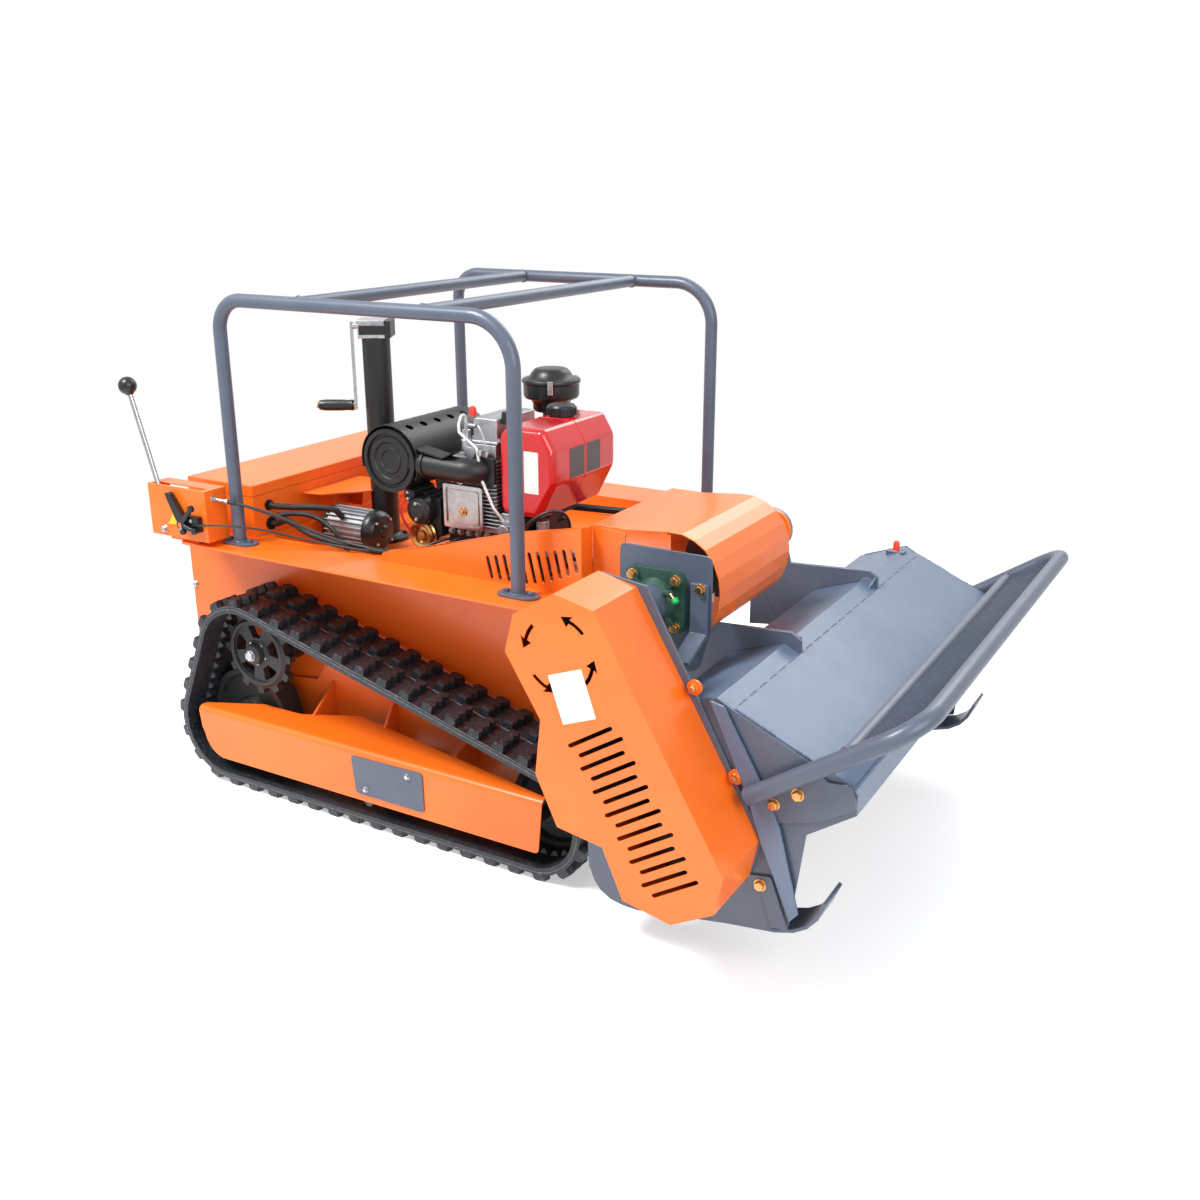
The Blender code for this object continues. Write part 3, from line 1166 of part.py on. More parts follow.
def build_bumper():
    rear = Vector((BUMPER_REAR, BUMPER_Y, BUMPER_REAR_Z))
    front = Vector((BUMPER_FRONT, BUMPER_Y, BUMPER_FRONT_Z))
    path = bend_path([(rear.x, -rear.y, rear.z), (front.x, -front.y, front.z), front, rear],
                     (BUMPER_BEND, BUMPER_BEND), 8)
    frame = part("bumper_frame", tube_mesh(path, BUMPER_R), "slate", round_piece=True)
    middle = rear.lerp(front, BUMPER_MID)
    fuse(frame, rod_mesh((middle.x, -middle.y, middle.z), middle, BUMPER_MID_R, 16))
    for side in (-1, 1):
        inner = side * (HEAD_HALF + GAP)
        outer = side * (HEAD_HALF + 0.006)
        web_outer = side * BUMPER_Y
        low = [(1.530, 0.415), (1.612, 0.455), (1.632, 0.470), (1.640, 0.520), (1.620, 0.530), (1.530, 0.470)]
        fuse(frame, outline_mesh([low], *sorted((inner, outer))))
        rib = [(1.545, 0.455), (1.625, 0.508), (1.622, 0.530), (1.540, 0.476)]
        fuse(frame, outline_mesh([rib], *sorted((side * (HEAD_HALF + 0.003), web_outer))))
    slope = (front - rear).normalized()
    start = middle + slope * (BUMPER_MID_R + GAP)
    end = front - slope * (BUMPER_R + GAP)
    reach = BUMPER_Y - BUMPER_BEND - 0.003
    mesh = box_mesh((0, -reach, -0.0015), ((end - start).length, reach, 0.0015))
    pitch = math.atan2(slope.z, slope.x)
    mesh.transform(Matrix.Translation((start.x, 0, start.z)) @ Matrix.Rotation(-pitch, 4, "Y"))
    part("bumper_mesh", mesh, "slate")


# ---- assembly ------------------------------------------------------------------------------
def centre_machine():
    """Move the whole machine so that its origin is the centre of its footprint on the ground."""
    bpy.context.view_layer.update()
    graph = bpy.context.evaluated_depsgraph_get()
    low, high = Vector((1e9, 1e9, 1e9)), Vector((-1e9, -1e9, -1e9))
    for made in PARTS.objects:
        if made.type != "MESH":
            continue
        final = made.evaluated_get(graph)
        for vert in final.data.vertices:
            place = made.matrix_world @ vert.co
            low = Vector(map(min, low, place))
            high = Vector(map(max, high, place))
    MACHINE.location = (-(low.x + high.x) / 2, -(low.y + high.y) / 2, -low.z)
    print("machine origin moved by", tuple(round(c, 5) for c in MACHINE.location),
          "size", tuple(round(c, 4) for c in high - low))


def main():
    build_hull()
    build_deck()
    build_rear_box()
    build_hood()
    build_cage()
    build_tracks()
    build_engine()
    build_tank()
    build_exhaust()
    build_filter()
    build_generator()
    build_jack()
    build_controls()
    build_cables()
    build_head()
    centre_machine()


main()
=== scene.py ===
"""Tracked drum mulcher: the visual model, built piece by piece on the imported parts.

Everything is modelled in the machine frame, in metres: +X runs forward to the flail head, +Y to the
machine's left and +Z up. x = 0 is the rear leg of the hoops, y = 0 the centre line and z = 0 the
ground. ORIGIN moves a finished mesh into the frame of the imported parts.
"""
import json
import logging
import math
from dataclasses import dataclass, field
from enum import Enum
from typing import Optional, Sequence

import bmesh
import bpy
from mathutils import Matrix, Vector

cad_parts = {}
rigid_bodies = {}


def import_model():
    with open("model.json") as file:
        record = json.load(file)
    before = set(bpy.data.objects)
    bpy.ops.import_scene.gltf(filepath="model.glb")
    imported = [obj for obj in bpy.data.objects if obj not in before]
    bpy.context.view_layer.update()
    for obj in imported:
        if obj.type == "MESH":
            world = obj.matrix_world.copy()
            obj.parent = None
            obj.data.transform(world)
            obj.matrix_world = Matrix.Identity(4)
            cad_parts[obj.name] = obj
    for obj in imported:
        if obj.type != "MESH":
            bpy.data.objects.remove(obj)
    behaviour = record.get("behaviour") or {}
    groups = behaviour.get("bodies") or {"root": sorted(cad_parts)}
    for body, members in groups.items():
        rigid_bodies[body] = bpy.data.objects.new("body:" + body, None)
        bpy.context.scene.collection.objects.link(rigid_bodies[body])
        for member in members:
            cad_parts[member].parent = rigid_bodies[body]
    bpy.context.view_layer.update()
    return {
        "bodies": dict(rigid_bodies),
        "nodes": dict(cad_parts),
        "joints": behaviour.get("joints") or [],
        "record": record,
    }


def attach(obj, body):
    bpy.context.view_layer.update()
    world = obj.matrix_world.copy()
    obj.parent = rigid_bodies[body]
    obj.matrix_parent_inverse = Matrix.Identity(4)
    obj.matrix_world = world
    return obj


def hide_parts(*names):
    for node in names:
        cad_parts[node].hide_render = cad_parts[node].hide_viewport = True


LOG = logging.getLogger("drum_mulcher")
ORIGIN = Vector((-0.71699, 0.0673, 0.0))
MM = 0.001
GAP = 0.0003                  # metres between faces that touch
Pair = tuple[float, float]
Triple = tuple[float, float, float]
Mesh = bpy.types.Mesh


# ---- colour and materials -----------------------------------------------------------------
def linear(colour: str) -> tuple[float, float, float, float]:
    """Turn an sRGB hex colour into linear values.

    Args:
        colour: six hex digits after a hash sign.

    Returns:
        Red, green, blue and alpha.
    """
    parts = [int(colour[i:i + 2], 16) / 255 for i in (1, 3, 5)]
    low = [c / 12.92 if c <= 0.04045 else ((c + 0.055) / 1.055) ** 2.4 for c in parts]
    return (low[0], low[1], low[2], 1.0)


def add_node(tree: bpy.types.NodeTree, kind: str, inputs: Optional[dict] = None,
             **settings: object) -> bpy.types.Node:
    """Add one node with its settings and links.

    Args:
        tree: the node tree that takes the node.
        kind: the node's type name.
        inputs: a value or an output socket for each named or numbered input.
        settings: properties of the node itself.

    Returns:
        The new node.
    """
    node = tree.nodes.new(kind)
    for key, value in settings.items():
        setattr(node, key, value)
    for key, value in (inputs or {}).items():
        if isinstance(value, bpy.types.NodeSocket):
            tree.links.new(value, node.inputs[key])
        else:
            node.inputs[key].default_value = value
    return node


class Grain(Enum):
    """How a finish's fine relief runs."""

    EVEN = (1.0, 1.0, 1.0)        # the same every way, as sprayed or cast
    DRAWN_UP = (1.0, 1.0, 0.06)   # drawn or brushed along Z
    ROLLED = (0.08, 1.0, 1.0)     # rolled along X


@dataclass(frozen=True)
class Finish:
    """One material, from what the real one is and how its surface was made.

    Lengths are millimetres on the real thing.
    """

    name: str
    colour: str
    shade: str                    # the second colour of its slow variation
    rough: Pair                   # lowest and highest roughness over the surface
    metallic: float = 0.0
    ior: float = 1.5
    patch_mm: float = 90.0        # size of the slow colour variation
    grain_mm: float = 3.0         # size of the fine relief
    depth_mm: float = 0.05        # its height
    speck: str = ""               # colour of dust or chips, if any
    speck_mm: float = 8.0
    speck_share: float = 0.0
    grain: Grain = Grain.EVEN
    coat: float = 0.0
    slot: str = ""

    def build(self) -> bpy.types.Material:
        """Make the material.

        Returns:
            A node material with colour variation, uneven roughness and relief.
        """
        made = bpy.data.materials.new(self.name)
        made.use_nodes = True
        made.diffuse_color = linear(self.colour)
        tree = made.node_tree
        shader = tree.nodes["Principled BSDF"]
        place = add_node(tree, "ShaderNodeTexCoord").outputs["Object"]
        run = add_node(tree, "ShaderNodeMapping", {"Vector": place, "Scale": self.grain.value})
        patch = add_node(tree, "ShaderNodeTexNoise",
                         {"Vector": place, "Scale": 1 / (self.patch_mm * MM), "Detail": 3.0,
                          "Roughness": 0.6})
        blend = add_node(tree, "ShaderNodeMapRange",
                         {"Value": patch.outputs["Fac"], "From Min": 0.32, "From Max": 0.68})
        mix = add_node(tree, "ShaderNodeMix",
                       {0: blend.outputs["Result"], 6: linear(self.colour), 7: linear(self.shade)},
                       data_type="RGBA")
        colour = mix.outputs[2]
        fine = add_node(tree, "ShaderNodeTexNoise",
                        {"Vector": run.outputs["Vector"], "Scale": 1 / (self.grain_mm * MM),
                         "Detail": 4.0, "Roughness": 0.55})
        rough_from = fine.outputs["Fac"]
        if self.speck:
            chips = add_node(tree, "ShaderNodeTexNoise",
                             {"Vector": place, "Scale": 1 / (self.speck_mm * MM), "Detail": 6.0,
                              "Roughness": 0.7})
            edge = 0.70 - 0.30 * self.speck_share
            share = add_node(tree, "ShaderNodeMapRange",
                             {"Value": chips.outputs["Fac"], "From Min": edge,
                              "From Max": edge + 0.10})
            dusty = add_node(tree, "ShaderNodeMix",
                             {0: share.outputs["Result"], 6: colour, 7: linear(self.speck)},
                             data_type="RGBA")
            colour = dusty.outputs[2]
        rough = add_node(tree, "ShaderNodeMapRange",
                         {"Value": rough_from, "From Min": 0.3, "From Max": 0.7,
                          "To Min": self.rough[0], "To Max": self.rough[1]})
        bump = add_node(tree, "ShaderNodeBump",
                        {"Height": fine.outputs["Fac"], "Strength": 0.6,
                         "Distance": self.depth_mm * MM})
        tree.links.new(colour, shader.inputs["Base Color"])
        tree.links.new(rough.outputs["Result"], shader.inputs["Roughness"])
        tree.links.new(bump.outputs["Normal"], shader.inputs["Normal"])
        shader.inputs["Metallic"].default_value = self.metallic
        shader.inputs["IOR"].default_value = self.ior
        shader.inputs["Coat Weight"].default_value = self.coat
        shader.inputs["Coat Roughness"].default_value = 0.12
        return made


# Sprayed two-pack enamel on sheet steel: an even, fairly glossy orange with a faint orange peel.
# The real peel is about 2 mm; it is drawn at 6 mm so that it shows.
ORANGE = Finish("orange_enamel", "#F9741A", "#F26B14", (0.30, 0.42), grain_mm=6, depth_mm=0.05,
                patch_mm=240, coat=0.25, slot="orange_paint")
# The same enamel in slate grey on tube and plate, a little duller where it went on thin.
SLATE = Finish("slate_enamel", "#545E6E", "#4C5667", (0.34, 0.48), grain_mm=6, depth_mm=0.06,
               patch_mm=160, coat=0.15, slot="slate_paint")
# Slate enamel, painted lighter and bluer as a painted sky reflection, with paler blue-grey patches.
SLATE_PAINTED_SKY_SHEEN = Finish("slate_enamel_painted_sky_sheen", "#63738A", "#586880", (0.34, 0.50), grain_mm=5,
                     depth_mm=0.08, patch_mm=210, speck="#76879C", speck_mm=30, speck_share=0.15,
                     coat=0.12, slot="slate_paint")
# Stoved heat-proof black on pressed sheet: satin, slightly grey where it has been hot.
BLACK = Finish("stoved_black_enamel", "#0E0F11", "#151619", (0.36, 0.52), grain_mm=4, depth_mm=0.06,
               patch_mm=70, slot="black_paint")
# Black paint over sand-cast iron: the sand's 1.5 mm grain shows, drawn at 3 mm.
BLACK_CASTING = Finish("black_painted_casting", "#17181A", "#222327", (0.42, 0.62), grain_mm=3,
                       depth_mm=0.22, patch_mm=40, slot="black_paint")
# Vulcanised track rubber, moulded: near black, semi-matt, with the dust that it picks up.
RUBBER = Finish("vulcanised_track_rubber", "#191C21", "#22272D", (0.34, 0.56), grain_mm=4,
                depth_mm=0.18, patch_mm=60, speck="#434A52", speck_mm=9, speck_share=0.55,
                slot="rubber")
# Flash line of the moulding, and pale edge lines that are painted highlights: the same rubber.
RUBBER_FLASH_AND_HIGHLIGHT = Finish("rubber_flash_and_painted_highlight", "#7E8285", "#4A4D50", (0.55, 0.75), grain_mm=3,
                       depth_mm=0.1, patch_mm=12, slot="rubber")
# Fabric-backed rubber drive belt: matt, with a fine weave that reads as grain.
BELT_RUBBER = Finish("belt_rubber", "#1D1E20", "#26282A", (0.60, 0.80), grain_mm=2, depth_mm=0.1,
                     patch_mm=50, slot="rubber")
# Gloss red enamel on a pressed steel tank.
RED = Finish("tank_red_enamel", "#D4161B", "#C81218", (0.16, 0.26), grain_mm=8, depth_mm=0.03,
             patch_mm=120, coat=0.5, slot="red_paint")
# Hammer-green paint on cast iron housings: the casting's grain shows through.
GREEN = Finish("green_painted_casting", "#2C4F42", "#24443A", (0.34, 0.50), grain_mm=3,
               depth_mm=0.18, patch_mm=30, coat=0.2, slot="green_paint")
# Bright zinc plate on machined steel: pale grey, slightly clouded.
ZINC = Finish("zinc_plated_steel", "#C6C8CA", "#A9ACB0", (0.24, 0.42), metallic=1.0, grain_mm=2,
              depth_mm=0.02, patch_mm=14, slot="bright_steel")
# Drawn steel bar, polished by hand: fine lines run along it.
DRAWN_STEEL = Finish("drawn_steel", "#B9BBBD", "#9D9FA2", (0.22, 0.38), metallic=1.0, grain_mm=1.5,
                     depth_mm=0.02, patch_mm=20, grain=Grain.DRAWN_UP, slot="bright_steel")
# Yellow chromate passivation over zinc: gold with pink and green clouds.
GOLD = Finish("yellow_passivated_steel", "#D9B266", "#C98F6B", (0.22, 0.38), metallic=1.0,
              grain_mm=2, depth_mm=0.02, patch_mm=7, slot="bright_steel")
# Die-cast aluminium as it leaves the die, lightly blasted.
ALLOY = Finish("die_cast_aluminium", "#B7B9BC", "#A3A5A8", (0.38, 0.56), metallic=1.0, grain_mm=2.5,
               depth_mm=0.08, patch_mm=30, slot="alloy")
# Bright-pressed cover plate: smooth rolled steel, plated.
PRESSED = Finish("plated_pressing", "#CBC7C6", "#B5A9A8", (0.14, 0.28), metallic=1.0, grain_mm=3,
                 depth_mm=0.02, patch_mm=25, grain=Grain.ROLLED, slot="alloy")
# Turned brass-plated pulley.
BRASS = Finish("brass_plated_steel", "#C9A067", "#B5884F", (0.20, 0.34), metallic=1.0, grain_mm=1.5,
               depth_mm=0.02, patch_mm=15, slot="iron")
# Black-painted cast iron running gear, rubbed and dusty.
IRON = Finish("painted_running_gear", "#1E1F20", "#2A2A2B", (0.40, 0.62), grain_mm=3, depth_mm=0.2,
              patch_mm=35, speck="#4B4843", speck_mm=12, speck_share=0.35, slot="iron")
# Machined steel shafts and cutters with a grey mill skin.
MILL_STEEL = Finish("mill_finish_steel", "#5A5B5D", "#48494B", (0.40, 0.60), metallic=0.8,
                    grain_mm=3, depth_mm=0.12, patch_mm=40, slot="iron")
# Moulded black polypropylene and nylon: satin with a fine spark-eroded grain.
PLASTIC = Finish("moulded_black_plastic", "#151618", "#1C1D20", (0.26, 0.40), ior=1.49, grain_mm=2,
                 depth_mm=0.05, patch_mm=50, slot="black_plastic")
# Braided and sheathed cable outer.
SHEATH = Finish("extruded_pvc_sheath", "#141516", "#1E1F21", (0.36, 0.50), ior=1.53, grain_mm=2,
                depth_mm=0.04, patch_mm=25, slot="black_plastic")
YELLOW = Finish("yellow_enamel", "#F6C81E", "#EDBD14", (0.34, 0.46), grain_mm=5, depth_mm=0.04,
                patch_mm=60, slot="orange_paint")          # sprayed quadrant plate
WHITE_VINYL = Finish("white_vinyl_label", "#F2F2EE", "#E9E9E4", (0.40, 0.52), grain_mm=4,
                     depth_mm=0.02, patch_mm=40)           # bare self-adhesive film
GREY_VINYL = Finish("grey_vinyl_label", "#4A4748", "#524F50", (0.36, 0.48), grain_mm=4,
                    depth_mm=0.02, patch_mm=40)            # bare dark film
RED_WIRE = Finish("red_pvc_wire", "#C8323A", "#B5262E", (0.36, 0.46), grain_mm=2, depth_mm=0.03,
                  patch_mm=30, slot="red_paint")           # extruded insulation
RED_CAP = Finish("red_plastic_cap", "#E8442C", "#DD3B25", (0.30, 0.42), grain_mm=2, depth_mm=0.03,
                 patch_mm=20, slot="red_paint")            # moulded polyethylene
GREEN_CAP = Finish("green_plastic_cap", "#13B25C", "#0FA553", (0.28, 0.40), grain_mm=2,
                   depth_mm=0.03, patch_mm=12, slot="green_paint")   # moulded polyethylene
PALE_PIPE = Finish("plated_fuel_pipe", "#E3E4E4", "#CFD1D2", (0.28, 0.42), metallic=0.35,
                   grain_mm=2, depth_mm=0.02, patch_mm=30, slot="bright_steel")  # plated steel


# ---- mesh tools ---------------------------------------------------------------------------
def to_mesh(shape: bmesh.types.BMesh) -> Mesh:
    """Write a bmesh to a new mesh and free it."""
    made = bpy.data.meshes.new("shape")
    shape.to_mesh(made)
    shape.free()
    return made


def take_mesh(made: bpy.types.Object) -> Mesh:
    """Evaluate a temporary object, then remove it.

    Args:
        made: an object with modifiers or a curve.

    Returns:
        Its final mesh in world space, welded, with its faces turned outwards.
    """
    bpy.context.view_layer.update()
    graph = bpy.context.evaluated_depsgraph_get()
    mesh = bpy.data.meshes.new_from_object(made.evaluated_get(graph))
    mesh.transform(made.matrix_world)
    shape = bmesh.new()
    shape.from_mesh(mesh)
    bmesh.ops.remove_doubles(shape, verts=shape.verts, dist=0.00001)
    bmesh.ops.recalc_face_normals(shape, faces=shape.faces)
    shape.to_mesh(mesh)
    shape.free()
    bpy.data.objects.remove(made, do_unlink=True)
    return mesh


def temporary(data: bpy.types.ID) -> bpy.types.Object:
    """Put data in the scene as an object that take_mesh will remove."""
    made = bpy.data.objects.new("temporary", data)
    bpy.context.scene.collection.objects.link(made)
    return made


def box(low: Triple, high: Triple) -> Mesh:
    """A box between two corners."""
    shape = bmesh.new()
    bmesh.ops.create_cube(shape, size=1.0)
    a, b = Vector(low), Vector(high)
    for vert in shape.verts:
        vert.co = (a + b) / 2 + Vector(c * abs(s) for c, s in zip(vert.co, b - a))
    return to_mesh(shape)


def rod(start: Triple, end: Triple, radius: float, sides: int = 32,
        end_radius: Optional[float] = None) -> Mesh:
    """A cylinder, or a cone if its end has its own radius."""
    first, last = Vector(start), Vector(end)
    run = last - first
    shape = bmesh.new()
    bmesh.ops.create_cone(shape, cap_ends=True, segments=sides, radius1=radius,
                          radius2=radius if end_radius is None else end_radius,
                          depth=run.length)
    turn = Vector((0, 0, 1)).rotation_difference(run).to_matrix().to_4x4()
    bmesh.ops.transform(shape, matrix=Matrix.Translation((first + last) / 2) @ turn,
                        verts=shape.verts)
    return to_mesh(shape)


def plate(loops: Sequence[Sequence[Pair]], low: float, high: float, plane: str = "XZ") -> Mesh:
    """Flat outlines as a plate, those inside another one being holes.

    Args:
        loops: outlines of (x, z) points, or (x, y) in plane XY, or (y, z) in plane YZ.
        low: where the plate starts along the third axis.
        high: where it ends.
        plane: the plane of the outlines.

    Returns:
        The closed mesh.
    """
    curve = bpy.data.curves.new("outline", "CURVE")
    curve.dimensions = "2D"
    curve.fill_mode = "BOTH"
    curve.extrude = abs(high - low) / 2
    for loop in loops:
        spline = curve.splines.new("POLY")
        spline.points.add(len(loop) - 1)
        for point, (across, up) in zip(spline.points, loop):
            point.co = (across, up, 0, 1)
        spline.use_cyclic_u = True
    made = temporary(curve)
    middle = (low + high) / 2
    if plane == "XZ":
        made.matrix_world = (Matrix.Translation((0, middle, 0))
                             @ Matrix.Rotation(math.pi / 2, 4, "X"))
    elif plane == "YZ":
        stand = Matrix(((0, 0, 1, 0), (1, 0, 0, 0), (0, 1, 0, 0), (0, 0, 0, 1)))
        made.matrix_world = Matrix.Translation((middle, 0, 0)) @ stand
    else:
        made.matrix_world = Matrix.Translation((0, 0, middle))
    return take_mesh(made)


def tube(points: Sequence[Triple], radius: float, resolution: int = 6,
         closed: bool = False) -> Mesh:
    """A round tube along a polyline."""
    curve = bpy.data.curves.new("tube", "CURVE")
    curve.dimensions = "3D"
    curve.bevel_depth = radius
    curve.bevel_resolution = resolution
    curve.use_fill_caps = not closed
    spline = curve.splines.new("POLY")
    spline.points.add(len(points) - 1)
    for point, place in zip(spline.points, points):
        point.co = (*place, 1)
    spline.use_cyclic_u = closed
    return take_mesh(temporary(curve))


def turned(profile: Sequence[Pair], centre: Triple, axis: Triple, sides: int = 40) -> Mesh:
    """A closed profile of (radius, height) pairs turned round an axis through centre."""
    shape = bmesh.new()
    verts = [shape.verts.new((radius, 0, height)) for radius, height in profile]
    for first, second in zip(verts, verts[1:]):
        shape.edges.new((first, second))
    made = temporary(to_mesh(shape))
    screw = made.modifiers.new("turn", "SCREW")
    screw.steps = screw.render_steps = sides
    screw.use_merge_vertices = True
    screw.merge_threshold = 0.00005
    turn = Vector((0, 0, 1)).rotation_difference(Vector(axis)).to_matrix().to_4x4()
    made.matrix_world = Matrix.Translation(centre) @ turn
    return take_mesh(made)


def sheet_strip(points: Sequence[Pair], near: float, far: float, thickness: float) -> Mesh:
    """A folded strip: an open outline (x, z) swept across the machine."""
    shape = bmesh.new()
    first = [shape.verts.new((x, near, z)) for x, z in points]
    second = [shape.verts.new((x, far, z)) for x, z in points]
    for i in range(len(points) - 1):
        shape.faces.new((first[i], first[i + 1], second[i + 1], second[i]))
    made = temporary(to_mesh(shape))
    wall = made.modifiers.new("sheet", "SOLIDIFY")
    wall.thickness = thickness
    wall.offset = 0
    wall.use_even_offset = True
    return take_mesh(made)


def pan(points: Sequence[Pair], closed_y: float, open_y: float, thickness: float,
        open_edges: Sequence[int] = ()) -> Mesh:
    """A sheet-metal pan: a face at closed_y and a rim out to open_y.

    Args:
        points: its outline in (x, z).
        closed_y: where the face stands.
        open_y: where the rim ends.
        thickness: of the sheet, inwards.
        open_edges: the numbers of the outline's edges that have no rim.

    Returns:
        The closed mesh.
    """
    shape = bmesh.new()
    verts = [shape.verts.new((x, closed_y, z)) for x, z in points]
    face = shape.faces.new(verts)
    edges = [shape.edges.get((verts[i], verts[(i + 1) % len(verts)])) for i in range(len(verts))]
    kept = [edge for i, edge in enumerate(edges) if i not in open_edges]
    rim = bmesh.ops.extrude_edge_only(shape, edges=kept)
    ends = [item for item in rim["geom"] if isinstance(item, bmesh.types.BMVert)]
    bmesh.ops.translate(shape, vec=(0, open_y - closed_y, 0), verts=ends)
    bmesh.ops.recalc_face_normals(shape, faces=shape.faces)
    face.normal_update()
    if face.normal.y * (closed_y - open_y) < 0:
        bmesh.ops.reverse_faces(shape, faces=shape.faces)
    made = temporary(to_mesh(shape))
    wall = made.modifiers.new("sheet", "SOLIDIFY")
    wall.thickness = thickness
    wall.offset = -1
    wall.use_even_offset = True
    wall.use_quality_normals = True
    return take_mesh(made)


def joined(*meshes: Mesh) -> Mesh:
    """Several solids as one mesh."""
    shape = bmesh.new()
    for mesh in meshes:
        shape.from_mesh(mesh)
    return to_mesh(shape)


def moved(mesh: Mesh, matrix: Matrix) -> Mesh:
    """The mesh after a transform."""
    mesh.transform(matrix)
    return mesh


def cut(mesh: Mesh, *cutters: Mesh) -> Mesh:
    """The mesh with the cutters taken out of it."""
    made, tool = temporary(mesh), temporary(joined(*cutters))
    change = made.modifiers.new("cut", "BOOLEAN")
    change.solver = "EXACT"
    change.object = tool
    result = take_mesh(made)
    bpy.data.objects.remove(tool, do_unlink=True)
    return in_order(result)


def in_order(mesh: Mesh) -> Mesh:
    """The same mesh with its vertices and faces sorted.

    A Boolean leaves them in an order that changes from run to run, and a bevel follows it.
    """
    places = [tuple(v.co) for v in mesh.vertices]
    ranked = sorted(range(len(places)), key=places.__getitem__)
    moved_to = {old: new for new, old in enumerate(ranked)}
    faces = []
    for face in mesh.polygons:
        loop = [moved_to[i] for i in face.vertices]
        start = loop.index(min(loop))
        faces.append(loop[start:] + loop[:start])
    made = bpy.data.meshes.new(mesh.name)
    made.from_pydata([places[i] for i in ranked], [], sorted(faces))
    return made


def arc(centre: Pair, radius: float, start: float, end: float, steps: int) -> list[Pair]:
    """Points along an arc, with its angles in degrees."""
    turn = [math.radians(start + (end - start) * i / steps) for i in range(steps + 1)]
    return [(centre[0] + radius * math.cos(a), centre[1] + radius * math.sin(a)) for a in turn]


def circle(centre: Pair, radius: float, steps: int = 28) -> list[Pair]:
    """Points round a circle."""
    return arc(centre, radius, 0, 360 * (steps - 1) / steps, steps - 1)


def slot_loop(middle: Pair, direction: Pair, length: float, width: float,
              steps: int = 5) -> list[Pair]:
    """A slot with round ends, its long side along direction."""
    along = Vector(direction).normalized()
    heading = math.degrees(math.atan2(along.y, along.x))
    half = (length - width) / 2
    first, second = Vector(middle) + along * half, Vector(middle) - along * half
    return (arc(first, width / 2, heading - 90, heading + 90, steps)
            + arc(second, width / 2, heading + 90, heading + 270, steps))


def rounded(points: Sequence[Pair], radius: float, steps: int = 5) -> list[Pair]:
    """A closed outline with its corners rounded by one radius."""
    made = []
    for i, point in enumerate(points):
        here = Vector(point)
        back = Vector(points[i - 1]) - here
        ahead = Vector(points[(i + 1) % len(points)]) - here
        reach = min(radius, back.length / 2.1, ahead.length / 2.1)
        first = here + back.normalized() * reach
        last = here + ahead.normalized() * reach
        for step in range(steps + 1):
            share = step / steps
            made.append(tuple(first.lerp(here, share).lerp(here.lerp(last, share), share)))
    return made


def bent(points: Sequence[Triple], radii: Sequence[float], steps: int = 10) -> list[Vector]:
    """A line in space whose inner corners are round, one radius for each."""
    made = [Vector(points[0])]
    for i, radius in enumerate(radii):
        here = Vector(points[i + 1])
        back = (Vector(points[i]) - here).normalized()
        ahead = (Vector(points[i + 2]) - here).normalized()
        half = back.angle(ahead) / 2
        reach = radius / math.tan(half)
        middle = here + (back + ahead).normalized() * (radius / math.sin(half))
        first, last = here + back * reach - middle, here + ahead * reach - middle
        turn = first.angle(last)
        for step in range(steps + 1):
            share = step / steps
            spoke = first * math.sin((1 - share) * turn) + last * math.sin(share * turn)
            made.append(middle + spoke / math.sin(turn))
    made.append(Vector(points[-1]))
    return made


def flowing(points: Sequence[Triple], per_span: int = 6) -> list[Vector]:
    """A smooth line through the points."""
    line = [Vector(p) for p in points]
    ends = [line[0] * 2 - line[1]] + line + [line[-1] * 2 - line[-2]]
    made = []
    for i in range(1, len(ends) - 2):
        a, b, c, d = ends[i - 1:i + 3]
        for step in range(per_span):
            t = step / per_span
            made.append(0.5 * ((2 * b) + (c - a) * t + (2 * a - 5 * b + 4 * c - d) * t ** 2
                               + (3 * b - a - 3 * c + d) * t ** 3))
    made.append(line[-1])
    return made


def bolt(place: Triple, axis: Triple, across: float = 0.017, height: float = 0.008,
         washer: float = 1.45) -> Mesh:
    """A hexagon head on its washer.

    Args:
        place: the middle of the bolt on the surface.
        axis: the way that the head points.
        across: across its flats.
        height: of the head.
        washer: the washer's diameter for each unit across the flats, 0 for none.

    Returns:
        The head and washer as one mesh.
    """
    at, way = Vector(place), Vector(axis).normalized()
    thick = 0.12 * across if washer else 0.0
    r = across / math.sqrt(3)
    head = rod(at + way * thick, at + way * (thick + height * 0.8), r, 6)
    crown = rod(at + way * (thick + height * 0.8), at + way * (thick + height), r, 6, r * 0.86)
    pieces = [head, crown]
    if washer:
        pieces.append(rod(at - way * 0.001, at + way * thick, across * washer / 2, 20))
    return joined(*pieces)


def weld_bead(start: Triple, end: Triple, size: float = 0.005, pitch: float = 0.006) -> Mesh:
    """A row of overlapping flat drops, as a hand-held torch leaves them."""
    first, last = Vector(start), Vector(end)
    run = last - first
    count = max(2, round(run.length / pitch))
    shape = bmesh.new()
    for i in range(count):
        wobble = 1.0 + 0.16 * math.sin(i * 2.4) + 0.08 * math.sin(i * 5.1)
        made = bmesh.ops.create_icosphere(shape, subdivisions=1, radius=size * wobble)
        bmesh.ops.translate(shape, vec=first + run * ((i + 0.5) / count), verts=made["verts"])
    return to_mesh(shape)


